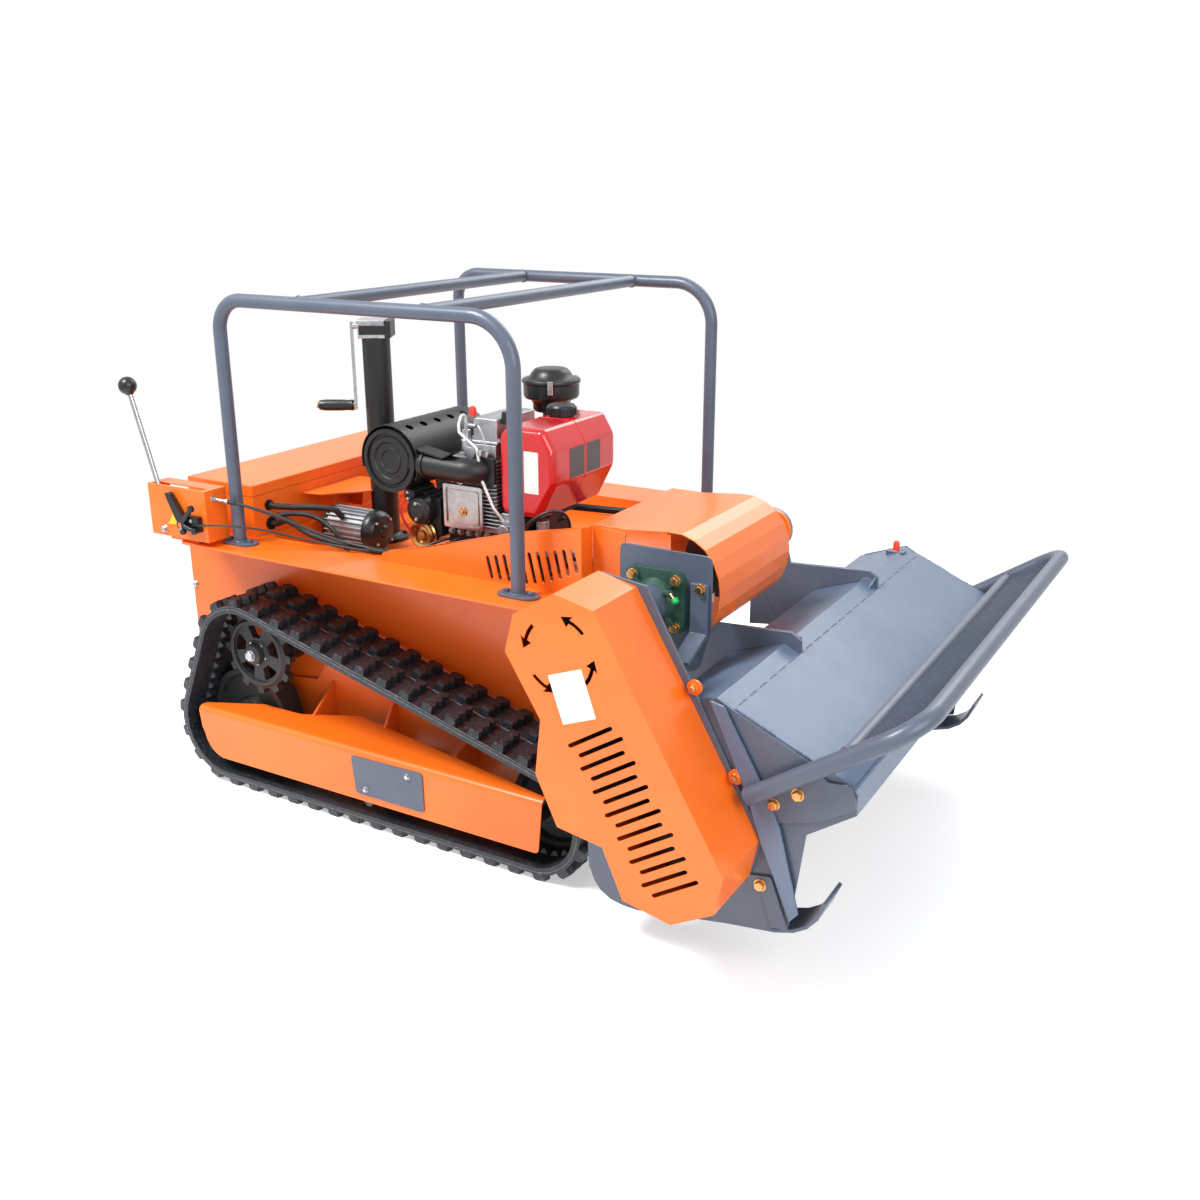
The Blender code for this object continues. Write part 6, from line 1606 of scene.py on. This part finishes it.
# ---- flail head ---------------------------------------------------------------------------
@dataclass
class FlailHead:
    """Head housing with its skids, arms, rotor and push frame."""

    bench: Bench
    half: float = 0.620
    rotor: Pair = (1.405, 0.346)
    arm_y: float = 0.262
    tube_r: float = 0.019
    bumper_y: float = 0.645
    bumper_rear: Pair = (1.500, 0.453)
    bumper_front: Pair = (1.835, 0.677)
    bend: float = 0.085
    middle_share: float = 0.580
    middle_r: float = 0.016
    skid_width: float = 0.095
    mesh_pitch: Pair = (0.0210, 0.0110)    # diamonds across and along the slope
    strand: Pair = (0.0011, 0.0012)        # half width and half thickness of a strand

    def build(self) -> None:
        """Build the whole sub-assembly."""
        for side, word in ((-1, "right"), (1, "left")):
            self.build_side(side, word)
        self.build_shell()
        self.build_rotor()
        self.build_bumper()

    def build_side(self, side: int, word: str) -> None:
        """One end plate with its skid, bearing, arm and gussets."""
        bench, half = self.bench, self.half
        x, z = self.rotor
        edge = [(1.300, 0.598), (1.415, 0.6385), (1.452, 0.6190), (1.640, 0.5345), (1.700, 0.5160),
                (1.716, 0.4980), (1.716, 0.4560), (1.617, 0.3870), (1.602, 0.2620), (1.590, 0.1660),
                (1.545, 0.1500), (1.450, 0.1360), (1.235, 0.1000), (1.180, 0.1080), (1.142, 0.1320),
                (1.119, 0.1700), (1.116, 0.2300), (1.122, 0.3400), (1.190, 0.5000)]
        skid = [(1.128, 0.160), (1.136, 0.140), (1.150, 0.122), (1.175, 0.107), (1.205, 0.101),
                (1.240, 0.100), (1.450, 0.136), (1.560, 0.150), (1.600, 0.162), (1.628, 0.180),
                (1.648, 0.205), (1.664, 0.245)]
        strap = sorted((side * (half - 0.0005), side * (half - self.skid_width)))
        bench.fit(f"side_plate_{word}_welded", SLATE, "head",
                  plate([edge, circle((x, z), 0.030, 32)],
                        *sorted((side * half, side * (half - 0.006)))),
                  sheet_strip(skid, *strap, 0.008), stands_for=(f"side_plate_{word}",),
                  bevel=0.0012,
                  corner=40)
        bench.dress(f"lift_arm_{word}", SLATE, "head", 0.0014)
        web = [(1.106, 0.466), (1.190, 0.476), (1.232, 0.600), (1.196, 0.652), (1.124, 0.646),
               (1.106, 0.560)]
        bench.fit(f"arm_web_{word}", SLATE, "head",
                  plate([web], side * self.arm_y - 0.004, side * self.arm_y + 0.004), bevel=0.0009)
        bench.dress(f"rotor_bearing_{word}", GREEN, "head", 0.0012)
        studs = [bolt((x + 0.045 * math.cos(a), side * (half - 0.0163), z + 0.045 * math.sin(a)),
                      (0, -side, 0), 0.010, 0.006) for a in
                 (math.radians(45 + 90 * i) for i in range(4))]
        bench.fit(f"rotor_bearing_{word}_bolts", GOLD, "head", *studs, bevel=0.0004, rings=1)
        seat = side * self.arm_y
        lean = [(1.399, 0.612), (1.452, 0.612)] + arc((1.425, 0.628), 0.020, 20, 160, 8)
        gusset = plate([lean], *sorted((seat - side * 0.0065, seat - side * 0.0115)))
        fin = [(seat - side * 0.006, 0.616), (seat - side * 0.058, 0.616)]
        fin += [(seat - side * (0.058 - 0.052 * math.sin(t * math.pi / 16)),
                 0.616 + 0.044 * (1 - math.cos(t * math.pi / 16)) ** 0.8) for t in range(1, 9)]
        brace = moved(plate([fin], -0.003, 0.003, "YZ"),
                      Matrix.Translation((1.430, 0, 0.612)) @ Matrix.Rotation(math.radians(24), 4,
                                                                              "Y")
                      @ Matrix.Translation((0, 0, -0.612)))
        bench.fit(f"arm_gusset_{word}", SLATE_PAINTED_SKY_SHEEN, "head", gusset, brace, bevel=0.0010)
        beads = [weld_bead((1.300, seat - side * 0.008, 0.594),
                           (1.408, seat - side * 0.008, 0.628), 0.0038),
                 weld_bead((1.300, seat + side * 0.008, 0.594),
                           (1.408, seat + side * 0.008, 0.628), 0.0038)]
        inner = side * (half - 0.0075)
        for a, b in (((1.465, 0.614), (1.540, 0.581)), ((1.585, 0.561), (1.690, 0.514))):
            beads.append(weld_bead((a[0], inner, a[1]), (b[0], inner, b[1]), 0.0036))
        bench.fit(f"head_welds_{word}", SLATE, "head", *beads, corner=80)
        out = side * (half + GAP)
        ear = [(1.500, 0.268), (1.550, 0.276), (1.592, 0.164), (1.556, 0.160), (1.530, 0.238),
               (1.500, 0.236)]
        bench.fit(f"skid_bracket_{word}", SLATE, "head",
                  plate([rounded(ear, 0.006, 3)], *sorted((out, out + side * 0.006))), bevel=0.001)
        heads = [bolt((1.528, out + side * 0.006, 0.252), (0, side, 0), 0.019, 0.009)]
        bench.fit(f"skid_bolt_{word}", GOLD, "head", *heads, bevel=0.0006, rings=1)

    def build_shell(self) -> None:
        """Folded shell, the stitched seam of its deflector and its stiffening ribs."""
        bench, half = self.bench, self.half
        # The shell's slate is painted lighter and bluer: a painted reflection of the sky.
        bench.dress("head_shell", SLATE_PAINTED_SKY_SHEEN, "head", 0.0012)
        slope = Vector((1.706 - 1.452, 0, 0.502 - 0.616)).normalized()
        normal = Vector((-slope.z, 0, slope.x))
        seam = Vector((1.452, 0, 0.616)) + normal * 0.0035
        beads, y = [], -half + 0.03
        while y < half - 0.05:
            beads.append(weld_bead(seam + Vector((0, y, 0)), seam + Vector((0, y + 0.030, 0)),
                                   0.0036, 0.0055))
            y += 0.052
        bench.fit("deflector_stitch_weld", SLATE, "head", *beads, corner=80)
        a, b = Vector((1.452, 0, 0.616)) + normal * 0.0030, Vector((1.700, 0,
                                                                    0.5047)) + normal * 0.0030
        skin = [(a.x, a.z), (b.x, b.z), (b.x + normal.x * 0.003, b.z + normal.z * 0.003),
                (a.x + normal.x * 0.003, a.z + normal.z * 0.003)]
        # The deflector's slate is painted lighter and bluer: a painted reflection of the sky.
        bench.fit("deflector_skin", SLATE_PAINTED_SKY_SHEEN, "head",
                  plate([skin], -half + 0.0063, half - 0.0063),
                  bevel=0.0012)
        flange = [box((1.698, -half + 0.010, 0.470), (1.704, half - 0.010, 0.474))]
        bench.fit("deflector_lip_stiffener", SLATE, "head", *flange, bevel=0.001)
        caps = [turned([(0.0, 0.030), (0.006, 0.029), (0.009, 0.022), (0.009, 0.004), (0.012, 0.0),
                        (0.0, 0.0)], (x, y, z), (0, 0, 1), 20)
                for x, y, z in ((1.236, 0.372, 0.548), (1.405, 0.560, 0.636))]
        bench.fit("grease_point_caps", RED_CAP, "head", *caps)
        pads = [box((1.380, 0.548, 0.616), (1.430, 0.573, 0.638)),
                box((1.222, 0.360, 0.512), (1.250, 0.384, 0.550))]
        bench.fit("grease_point_pads", SLATE, "head", *pads, bevel=0.0015)
        chain = [box((1.300, -half + 0.02, 0.5895), (1.306, half - 0.02, 0.5945))]
        bench.fit("shell_rib", SLATE, "head", *chain, bevel=0.001)

    def build_rotor(self) -> None:
        """Drum, its cutters with their hard tips, and the driven pulley."""
        self.bench.dress("rotor", MILL_STEEL, "rotor", 0.0016)
        x, z = self.rotor
        tips = []
        ends = self.half - 0.0063 - 0.012
        for column in range(10):
            y = -ends + (column + 0.5) * 2 * ends / 10
            for turn in (0, 180):
                tip = box((x - 0.0165, y - 0.026, z + 0.118), (x - 0.0115, y + 0.026, z + 0.1485))
                tips.append(moved(tip, Matrix.Translation((x, 0, z))
                                  @ Matrix.Rotation(math.radians(turn + 36 * column), 4, "Y")
                                  @ Matrix.Translation((-x, 0, -z))))
        self.bench.fit("cutter_tips", ZINC, "rotor", *tips, bevel=0.0008)

    def build_bumper(self) -> None:
        """Bent push tube, its cross tube, brackets with bolts and the expanded mesh."""
        bench = self.bench
        y = self.bumper_y
        rear = Vector((self.bumper_rear[0], y, self.bumper_rear[1]))
        front = Vector((self.bumper_front[0], y, self.bumper_front[1]))
        line = bent([(rear.x, -y, rear.z), (front.x, -y, front.z), front, rear],
                    (self.bend, self.bend), 14)
        middle = rear.lerp(front, self.middle_share)
        pieces = [tube(line, self.tube_r, 8),
                  rod((middle.x, -y, middle.z), middle, self.middle_r, 36)]
        slope = (front - rear).normalized()
        ends = []
        for side in (-1, 1):
            at = Vector((middle.x, side * (y - self.tube_r), middle.z))
            ends.append(tube([(at.x + 0.0165 * math.cos(t), at.y, at.z + 0.0165 * math.sin(t))
                              for t in (i * math.pi / 8 for i in range(16))], 0.0028, 3, True))
        bench.fit("push_frame_tube", SLATE, "head", *pieces, stands_for=("bumper_frame",),
                  bevel=0.0008)
        bench.fit("push_frame_welds", SLATE, "head", *ends, corner=80)
        for side, word in ((-1, "right"), (1, "left")):
            inner, outer = side * (self.half + GAP), side * (self.half + 0.0063)
            web = [(1.528, 0.420), (1.548, 0.398), (1.640, 0.425), (1.716, 0.470), (1.714, 0.494),
                   (1.700, 0.518), (1.655, 0.516), (1.640, 0.532), (1.622, 0.533), (1.530, 0.471)]
            lip = [(1.532, 0.466), (1.640, 0.5375), (1.640, 0.531), (1.534, 0.460)]
            bench.fit(f"push_frame_bracket_{word}", SLATE, "head",
                      plate([rounded(web, 0.004, 2)], *sorted((inner, outer))),
                      plate([lip], *sorted((inner, side * (y - 0.004)))), bevel=0.0009)
            heads = [bolt((x, outer, z), (0, side, 0), 0.019, 0.009)
                     for x, z in ((1.549, 0.441), (1.598, 0.474))]
            bench.fit(f"push_frame_bolts_{word}", GOLD, "head", *heads, bevel=0.0006, rings=1)
            if side > 0:
                bar = [(1.487, 0.560), (1.500, 0.566), (1.612, 0.385), (1.601, 0.262),
                       (1.578, 0.256), (1.584, 0.376)]
                fold = (self.half + GAP, self.half + 0.0055)
                bench.fit("end_plate_doubler", SLATE_PAINTED_SKY_SHEEN, "head", plate([bar], *fold),
                          bevel=0.001)
        self.build_mesh(rear, front, middle, slope)

    def build_mesh(self, rear: Vector, front: Vector, middle: Vector, slope: Vector) -> None:
        """Diamond mesh of flat strands between the cross tube and the front tube.

        Args:
            rear: the rear end of the side tube.
            front: its front end.
            middle: where the cross tube meets it.
            slope: its direction.
        """
        start = middle + slope * (self.middle_r - 0.004)
        length = (front - slope * (self.tube_r - 0.004) - start).length
        reach = self.bumper_y - 0.026
        pitch_y, pitch_s = self.mesh_pitch
        columns, rows = int(2 * reach / pitch_y), int(length / pitch_s)
        up = Vector((-slope.z, 0, slope.x))
        shape = bmesh.new()
        corner = self.bend - 0.010

        def inside(s: float, y: float) -> bool:
            """Whether a strand may stand here, clear of the bent corners."""
            over = abs(y) - (reach - corner)
            ahead = s - (length - corner)
            return over <= 0 or ahead <= 0 or math.hypot(over, ahead) < corner

        half_w, thick = self.strand
        for row in range(rows):
            for col in range(columns):
                y0 = -reach + col * pitch_y
                s0 = row * pitch_s
                for sign in (-1, 1):
                    a = (s0 if sign > 0 else s0 + pitch_s, y0)
                    m = (s0 + pitch_s / 2, y0 + pitch_y / 2)
                    b = (s0 + pitch_s if sign > 0 else s0, y0 + pitch_y)
                    if not (inside(*a) and inside(*m) and inside(*b)):
                        continue
                    way = Vector((b[1] - a[1], b[0] - a[0])).normalized()
                    wide = Vector((-way.y, way.x)) * half_w
                    verts = []
                    for lift in (-thick, thick):
                        for point, flip in ((a, -1), (a, 1), (b, 1), (b, -1)):
                            s = point[0] + wide.y * flip
                            y = point[1] + wide.x * flip
                            tilt = lift + sign * 0.0006
                            place = start + slope * s + up * tilt
                            verts.append(shape.verts.new((place.x, y, place.z)))
                    for loop in ((3, 2, 1, 0), (4, 5, 6, 7), (0, 1, 5, 4), (1, 2, 6, 5),
                                 (2, 3, 7, 6), (3, 0, 4, 7)):
                        shape.faces.new([verts[i] for i in loop])
        bmesh.ops.recalc_face_normals(shape, faces=shape.faces)
        self.bench.fit("expanded_mesh", SLATE, "head", to_mesh(shape), stands_for=("bumper_mesh",))


@dataclass
class BeltDrive:
    """Jackshaft with its bearing and plates, the belts and the guard over them."""

    bench: Bench
    pivot: Pair = (1.158, 0.738)
    rotor: Pair = (1.405, 0.346)
    half: float = 0.620
    plate_y: float = 0.424
    depth: float = 0.172
    sheet: float = 0.006                   # the backplate
    arrow_r: float = 0.0775                # middle line of the turning arrows
    arrow_sweep: float = 42.0
    arrow_neck: float = 27.0
    housing_shift: Pair = (0.020, 0.011)   # the housing's slots let it sit off the line
    outline: tuple[Pair, ...] = (
        (1.054, 0.804), (1.149, 0.863), (1.237, 0.843), (1.522, 0.353), (1.505, 0.269),
        (1.411, 0.216), (1.303, 0.238), (1.256, 0.345), (1.150, 0.362), (1.100, 0.470),
        (1.114, 0.592), (1.033, 0.723))

    def build(self) -> None:
        """Build the whole sub-assembly."""
        bench = self.bench
        backing = [p for p in self.outline]
        backing[1], backing[2], backing[3] = (1.156, 0.8605), (1.258, 0.8470), (1.530, 0.3560)
        bench.fit("drive_backplate_sheet", SLATE, "head", plate([backing], -0.6263, -0.6203),
                  stands_for=("drive_backplate",), bevel=0.0012)
        bench.dress("jackshaft", MILL_STEEL, "jackshaft", 0.0012)
        bench.dress("drive_belt", BELT_RUBBER, "head", 0.0015)
        bench.dress("engine_belt", BELT_RUBBER, "carrier", 0.0015)
        bench.dress("bearing_plate", SLATE, "carrier", 0.0012)
        bench.dress("bearing_strut", SLATE, "carrier", 0.0012)
        self.build_guard()
        self.build_bearing()

    def build_guard(self) -> None:
        """Folded guard with its slots, its turning arrows, label and fixing ears."""
        bench = self.bench
        back = -(self.half + GAP + self.sheet + GAP)
        face = back - self.depth
        shell = pan(self.outline, face, back, 0.003)
        run = (Vector(self.rotor) - Vector(self.pivot)).normalized()
        side = Vector((-run.y, run.x))
        cutters = []
        for i in range(14):
            sway = -0.012 if i % 2 else -0.024
            middle = Vector(self.pivot) + run * (0.171 + 0.0261 * i) + side * sway
            cutters.append(plate([slot_loop(middle, side, 0.118, 0.009, 5)], face - 0.01,
                                 face + 0.01))
        for start in (44, 138, 222, -38):
            cutters.append(plate([self.arrow(start)], face - 0.01, face + 0.01))
        bench.fit("belt_guard_shell", ORANGE, "head", cut(shell, *cutters),
                  stands_for=("belt_guard",),
                  bevel=0.0010, corner=20)
        label = [(1.134, 0.692), (1.210, 0.720), (1.243, 0.623), (1.168, 0.594)]
        bench.fit("guard_label", WHITE_VINYL, "head",
                  plate([rounded(label, 0.002, 3)], face - 0.0004, face - 0.0001))
        ears, heads = [], []
        for x, z in ((1.372, 0.655), (1.468, 0.482)):
            ears.append(plate([circle((x, z), 0.016, 28)], back - 0.0062, back - 0.0002))
            ears.append(rod((x, back - 0.006, z), (x, back - 0.012, z), 0.011, 26))
            heads.append(bolt((x, back - 0.012, z), (0, -1, 0), 0.014, 0.009, 1.3))
        bench.fit("guard_ears", ORANGE, "head", *ears, bevel=0.0012)
        bench.fit("guard_ear_bolts", GOLD, "head", *heads, bevel=0.0005, rings=1)
        fold = [(1.407, 0.634), (1.437, 0.628), (1.527, 0.474), (1.566, 0.392), (1.614, 0.212),
                (1.596, 0.190), (1.560, 0.276), (1.526, 0.352), (1.493, 0.446)]
        bench.fit("guard_side_bar", SLATE_PAINTED_SKY_SHEEN, "head", plate([fold], -0.6330, -0.6270),
                  bevel=0.0014, rings=3)

    def arrow(self, start: float) -> list[Pair]:
        """The outline of one curved arrow round the jackshaft, its head turned anticlockwise."""
        px, pz = self.pivot
        sweep, neck, middle = self.arrow_sweep, self.arrow_neck, self.arrow_r
        width, barb = 0.0042, 0.0140
        made = arc((px, pz), middle + width, start, start + neck, 6)
        for radius, angle in ((middle + barb, neck - 3), (middle + 0.004, sweep),
                              (middle - barb, neck + 2)):
            a = math.radians(start + angle)
            made.append((px + radius * math.cos(a), pz + radius * math.sin(a)))
        return made + arc((px, pz), middle - width, start + neck, start, 6)

    def build_bearing(self) -> None:
        """Square flange housing with ribs, boss, dome cap, bolts and grease nipple."""
        bench = self.bench
        px, pz = (a + b for a, b in zip(self.pivot, self.housing_shift))
        base = -self.plate_y - GAP
        half = 0.071
        square = rounded([(px - half, pz - half), (px + half, pz - half), (px + half, pz + half),
                          (px - half, pz + half)], 0.024, 7)
        flange = plate([square], base - 0.013, base)
        pads = [rod((px + dx, base - 0.002, pz + dz), (px + dx, base - 0.017, pz + dz), 0.0165, 24)
                for dx in (-0.053, 0.053) for dz in (-0.053, 0.053)]
        boss = turned([(0.0, 0.036), (0.036, 0.036), (0.040, 0.034), (0.043, 0.026), (0.046, 0.024),
                       (0.052, 0.010), (0.052, 0.0), (0.0, 0.0)], (px, base, pz), (0, -1, 0), 48)
        ribs = []
        for i in range(4):
            rib = box((0.030, -0.0045, 0.010), (0.074, 0.0045, 0.022))
            ribs.append(moved(rib, Matrix.Translation((px, base, pz))
                              @ Matrix.Rotation(math.radians(45 + 90 * i), 4, "Y")
                              @ Matrix.Rotation(math.radians(90), 4, "X")))
        nose = rod((px + 0.030, base - 0.028, pz + 0.026), (px + 0.052, base - 0.040, pz + 0.030),
                   0.008, 20)
        bench.fit("flange_housing", GREEN, "carrier", flange, *pads, boss, *ribs, nose,
                  stands_for=("flange_bearing",), bevel=0.0020, rings=3, corner=38)
        tunnel = turned([(0.0, 0.150), (0.039, 0.150), (0.0405, 0.147), (0.0405, 0.060),
                         (0.0415, 0.052),
                         (0.0415, 0.034), (0.0, 0.034)], (px, base, pz), (0, -1, 0), 48)
        bench.fit("shaft_tunnel", SLATE, "carrier", tunnel, bevel=0.001)
        heads = [bolt((px + dx, base - 0.017, pz + dz), (0, -1, 0), 0.018, 0.010, 1.35)
                 for dx in (-0.053, 0.053) for dz in (-0.053, 0.053)]
        heads += [bolt((1.286, -self.plate_y - 0.0103, 0.790), (0, -1, 0), 0.017, 0.010, 1.4)]
        bench.fit("flange_bolts", GOLD, "carrier", *heads, bevel=0.0006, rings=1)
        nipple = [rod((px + 0.052, base - 0.040, pz + 0.030),
                      (px + 0.066, base - 0.046, pz + 0.020), 0.0035, 14)]
        bench.fit("grease_nipple", GOLD, "carrier", *nipple, bevel=0.0004)
        bench.fit("grease_nipple_cap", GREEN_CAP, "carrier",
                  turned([(0.0, 0.012), (0.005, 0.012), (0.0075, 0.009), (0.0075, 0.0), (0.0, 0.0)],
                         (px + 0.064, base - 0.045, pz + 0.022), (0.7, -0.35, -0.62), 22),
                  bevel=0.0008)


# ---- stage --------------------------------------------------------------------------------
@dataclass(frozen=True)
class Lamp:
    """One soft area lamp, aimed at the machine."""

    name: str
    place: Triple
    power: float
    size: float


@dataclass
class Stage:
    """Pale floor, soft lamps, pale world and the camera."""

    aim: Triple = (0.70, 0.0, 0.55)
    lens: float = 37.77
    azimuth: float = math.radians(30.2)
    rise: float = math.radians(18.76)
    roll: float = math.radians(-0.086)
    eye: Triple = (2.373, -2.724, 1.6245)
    world_level: float = 0.40
    floor_glow: float = 0.45
    floor_fade: Pair = (1.6, 3.2)              # where the floor begins and ends turning white
    lamps: tuple[Lamp, ...] = (
        Lamp("key", (-1.3, -3.0, 5.6), 470.0, 2.0),
        Lamp("fill", (4.8, -2.2, 2.8), 130.0, 3.0),
        Lamp("back", (1.0, 4.0, 4.2), 110.0, 3.0))

    def build(self) -> None:
        """Set the whole stage."""
        scene = bpy.context.scene
        scene.view_settings.view_transform = "Standard"
        self.build_world(scene)
        self.build_floor()
        for lamp in self.lamps:
            data = bpy.data.lights.new(lamp.name, "AREA")
            data.energy = lamp.power
            data.size = lamp.size
            made = bpy.data.objects.new(lamp.name, data)
            made.location = Vector(lamp.place) + ORIGIN
            way = Vector(self.aim) - Vector(lamp.place)
            made.rotation_euler = way.to_track_quat("-Z", "Y").to_euler()
            scene.collection.objects.link(made)
        self.build_camera(scene)

    @staticmethod
    def seen_directly(tree: bpy.types.NodeTree) -> bpy.types.NodeSocket:
        """One where the camera, a reflection or a transmission looks, nought for light."""
        path = add_node(tree, "ShaderNodeLightPath")
        first = add_node(tree, "ShaderNodeMath", {0: path.outputs["Is Camera Ray"],
                                                  1: path.outputs["Is Glossy Ray"]},
                         operation="MAXIMUM")
        second = add_node(tree, "ShaderNodeMath", {0: first.outputs[0],
                                                   1: path.outputs["Is Transmission Ray"]},
                          operation="MAXIMUM")
        return second.outputs[0]

    def build_world(self, scene: bpy.types.Scene) -> None:
        """A white surround to look at and a plain even light."""
        world = bpy.data.worlds.new("surround")
        world.use_nodes = True
        scene.world = world
        tree = world.node_tree
        tree.nodes.clear()
        white = add_node(tree, "ShaderNodeBackground",
                         {"Color": linear("#FFFFFF"), "Strength": 1.0})
        light = add_node(tree, "ShaderNodeBackground",
                         {"Color": linear("#F6F9FF"), "Strength": self.world_level})
        mix = add_node(tree, "ShaderNodeMixShader",
                       {0: self.seen_directly(tree), 1: light.outputs[0], 2: white.outputs[0]})
        add_node(tree, "ShaderNodeOutputWorld", {"Surface": mix.outputs[0]})

    def build_floor(self) -> None:
        """A wide pale floor that keeps the machine's shadow."""
        shape = bmesh.new()
        bmesh.ops.create_grid(shape, x_segments=1, y_segments=1, size=14.0)
        floor = bpy.data.objects.new("floor", to_mesh(shape))
        floor.location = (0, 0, -0.0005)
        bpy.context.scene.collection.objects.link(floor)
        made = bpy.data.materials.new("pale_floor")
        made.use_nodes = True
        tree = made.node_tree
        tree.nodes.clear()
        matt = add_node(tree, "ShaderNodeBsdfDiffuse", {"Color": linear("#F4F4F4")})
        glow = add_node(tree, "ShaderNodeEmission",
                        {"Color": linear("#FFFFFF"), "Strength": self.floor_glow})
        both = add_node(tree, "ShaderNodeAddShader", {0: matt.outputs[0], 1: glow.outputs[0]})
        white = add_node(tree, "ShaderNodeEmission", {"Color": linear("#FFFFFF"), "Strength": 1.0})
        place = add_node(tree, "ShaderNodeTexCoord").outputs["Object"]
        away = add_node(tree, "ShaderNodeVectorMath", {0: place}, operation="LENGTH")
        fade = add_node(tree, "ShaderNodeMapRange", {"Value": away.outputs["Value"],
                                                     "From Min": self.floor_fade[0],
                                                     "From Max": self.floor_fade[1]})
        seen = add_node(tree, "ShaderNodeMixShader",
                        {0: fade.outputs["Result"], 1: both.outputs[0], 2: white.outputs[0]})
        mix = add_node(tree, "ShaderNodeMixShader",
                       {0: self.seen_directly(tree), 1: matt.outputs[0], 2: seen.outputs[0]})
        add_node(tree, "ShaderNodeOutputMaterial", {"Surface": mix.outputs[0]})
        floor.data.materials.append(made)

    def build_camera(self, scene: bpy.types.Scene) -> None:
        """The camera, from the front right and above."""
        data = bpy.data.cameras.new("view")
        data.lens = self.lens
        data.sensor_width = 36.0
        data.clip_end = 60.0
        camera = bpy.data.objects.new("view", data)
        a, e, r = self.azimuth, self.rise, self.roll
        back = Vector((math.sin(a) * math.cos(e), -math.cos(a) * math.cos(e), math.sin(e)))
        across = (-back).cross(Vector((0, 0, 1))).normalized()
        up = across.cross(-back)
        right = across * math.cos(r) + up * math.sin(r)
        top = up * math.cos(r) - across * math.sin(r)
        camera.matrix_world = Matrix.Translation(Vector(self.eye) + ORIGIN) @ Matrix(
            ((right.x, top.x, back.x, 0), (right.y, top.y, back.y, 0),
             (right.z, top.z, back.z, 0), (0, 0, 0, 1)))
        scene.collection.objects.link(camera)
        scene.camera = camera


def main() -> None:
    """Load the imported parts, build each sub-assembly over them and set the stage."""
    logging.basicConfig(level=logging.INFO, format="%(name)s: %(message)s")
    FRAME.update(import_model())
    bench = Bench()
    units = [Chassis(bench), RollCage(bench), TrackUnit(bench, -1, "right"),
             TrackUnit(bench, 1, "left"), Engine(bench), Jack(bench), Controls(bench),
             FlailHead(bench), BeltDrive(bench), Stage()]
    for unit in units:
        unit.build()
        LOG.info("%s built", type(unit).__name__)
    LOG.info("%d pieces", bench.count)


if __name__ == "__main__":
    main()
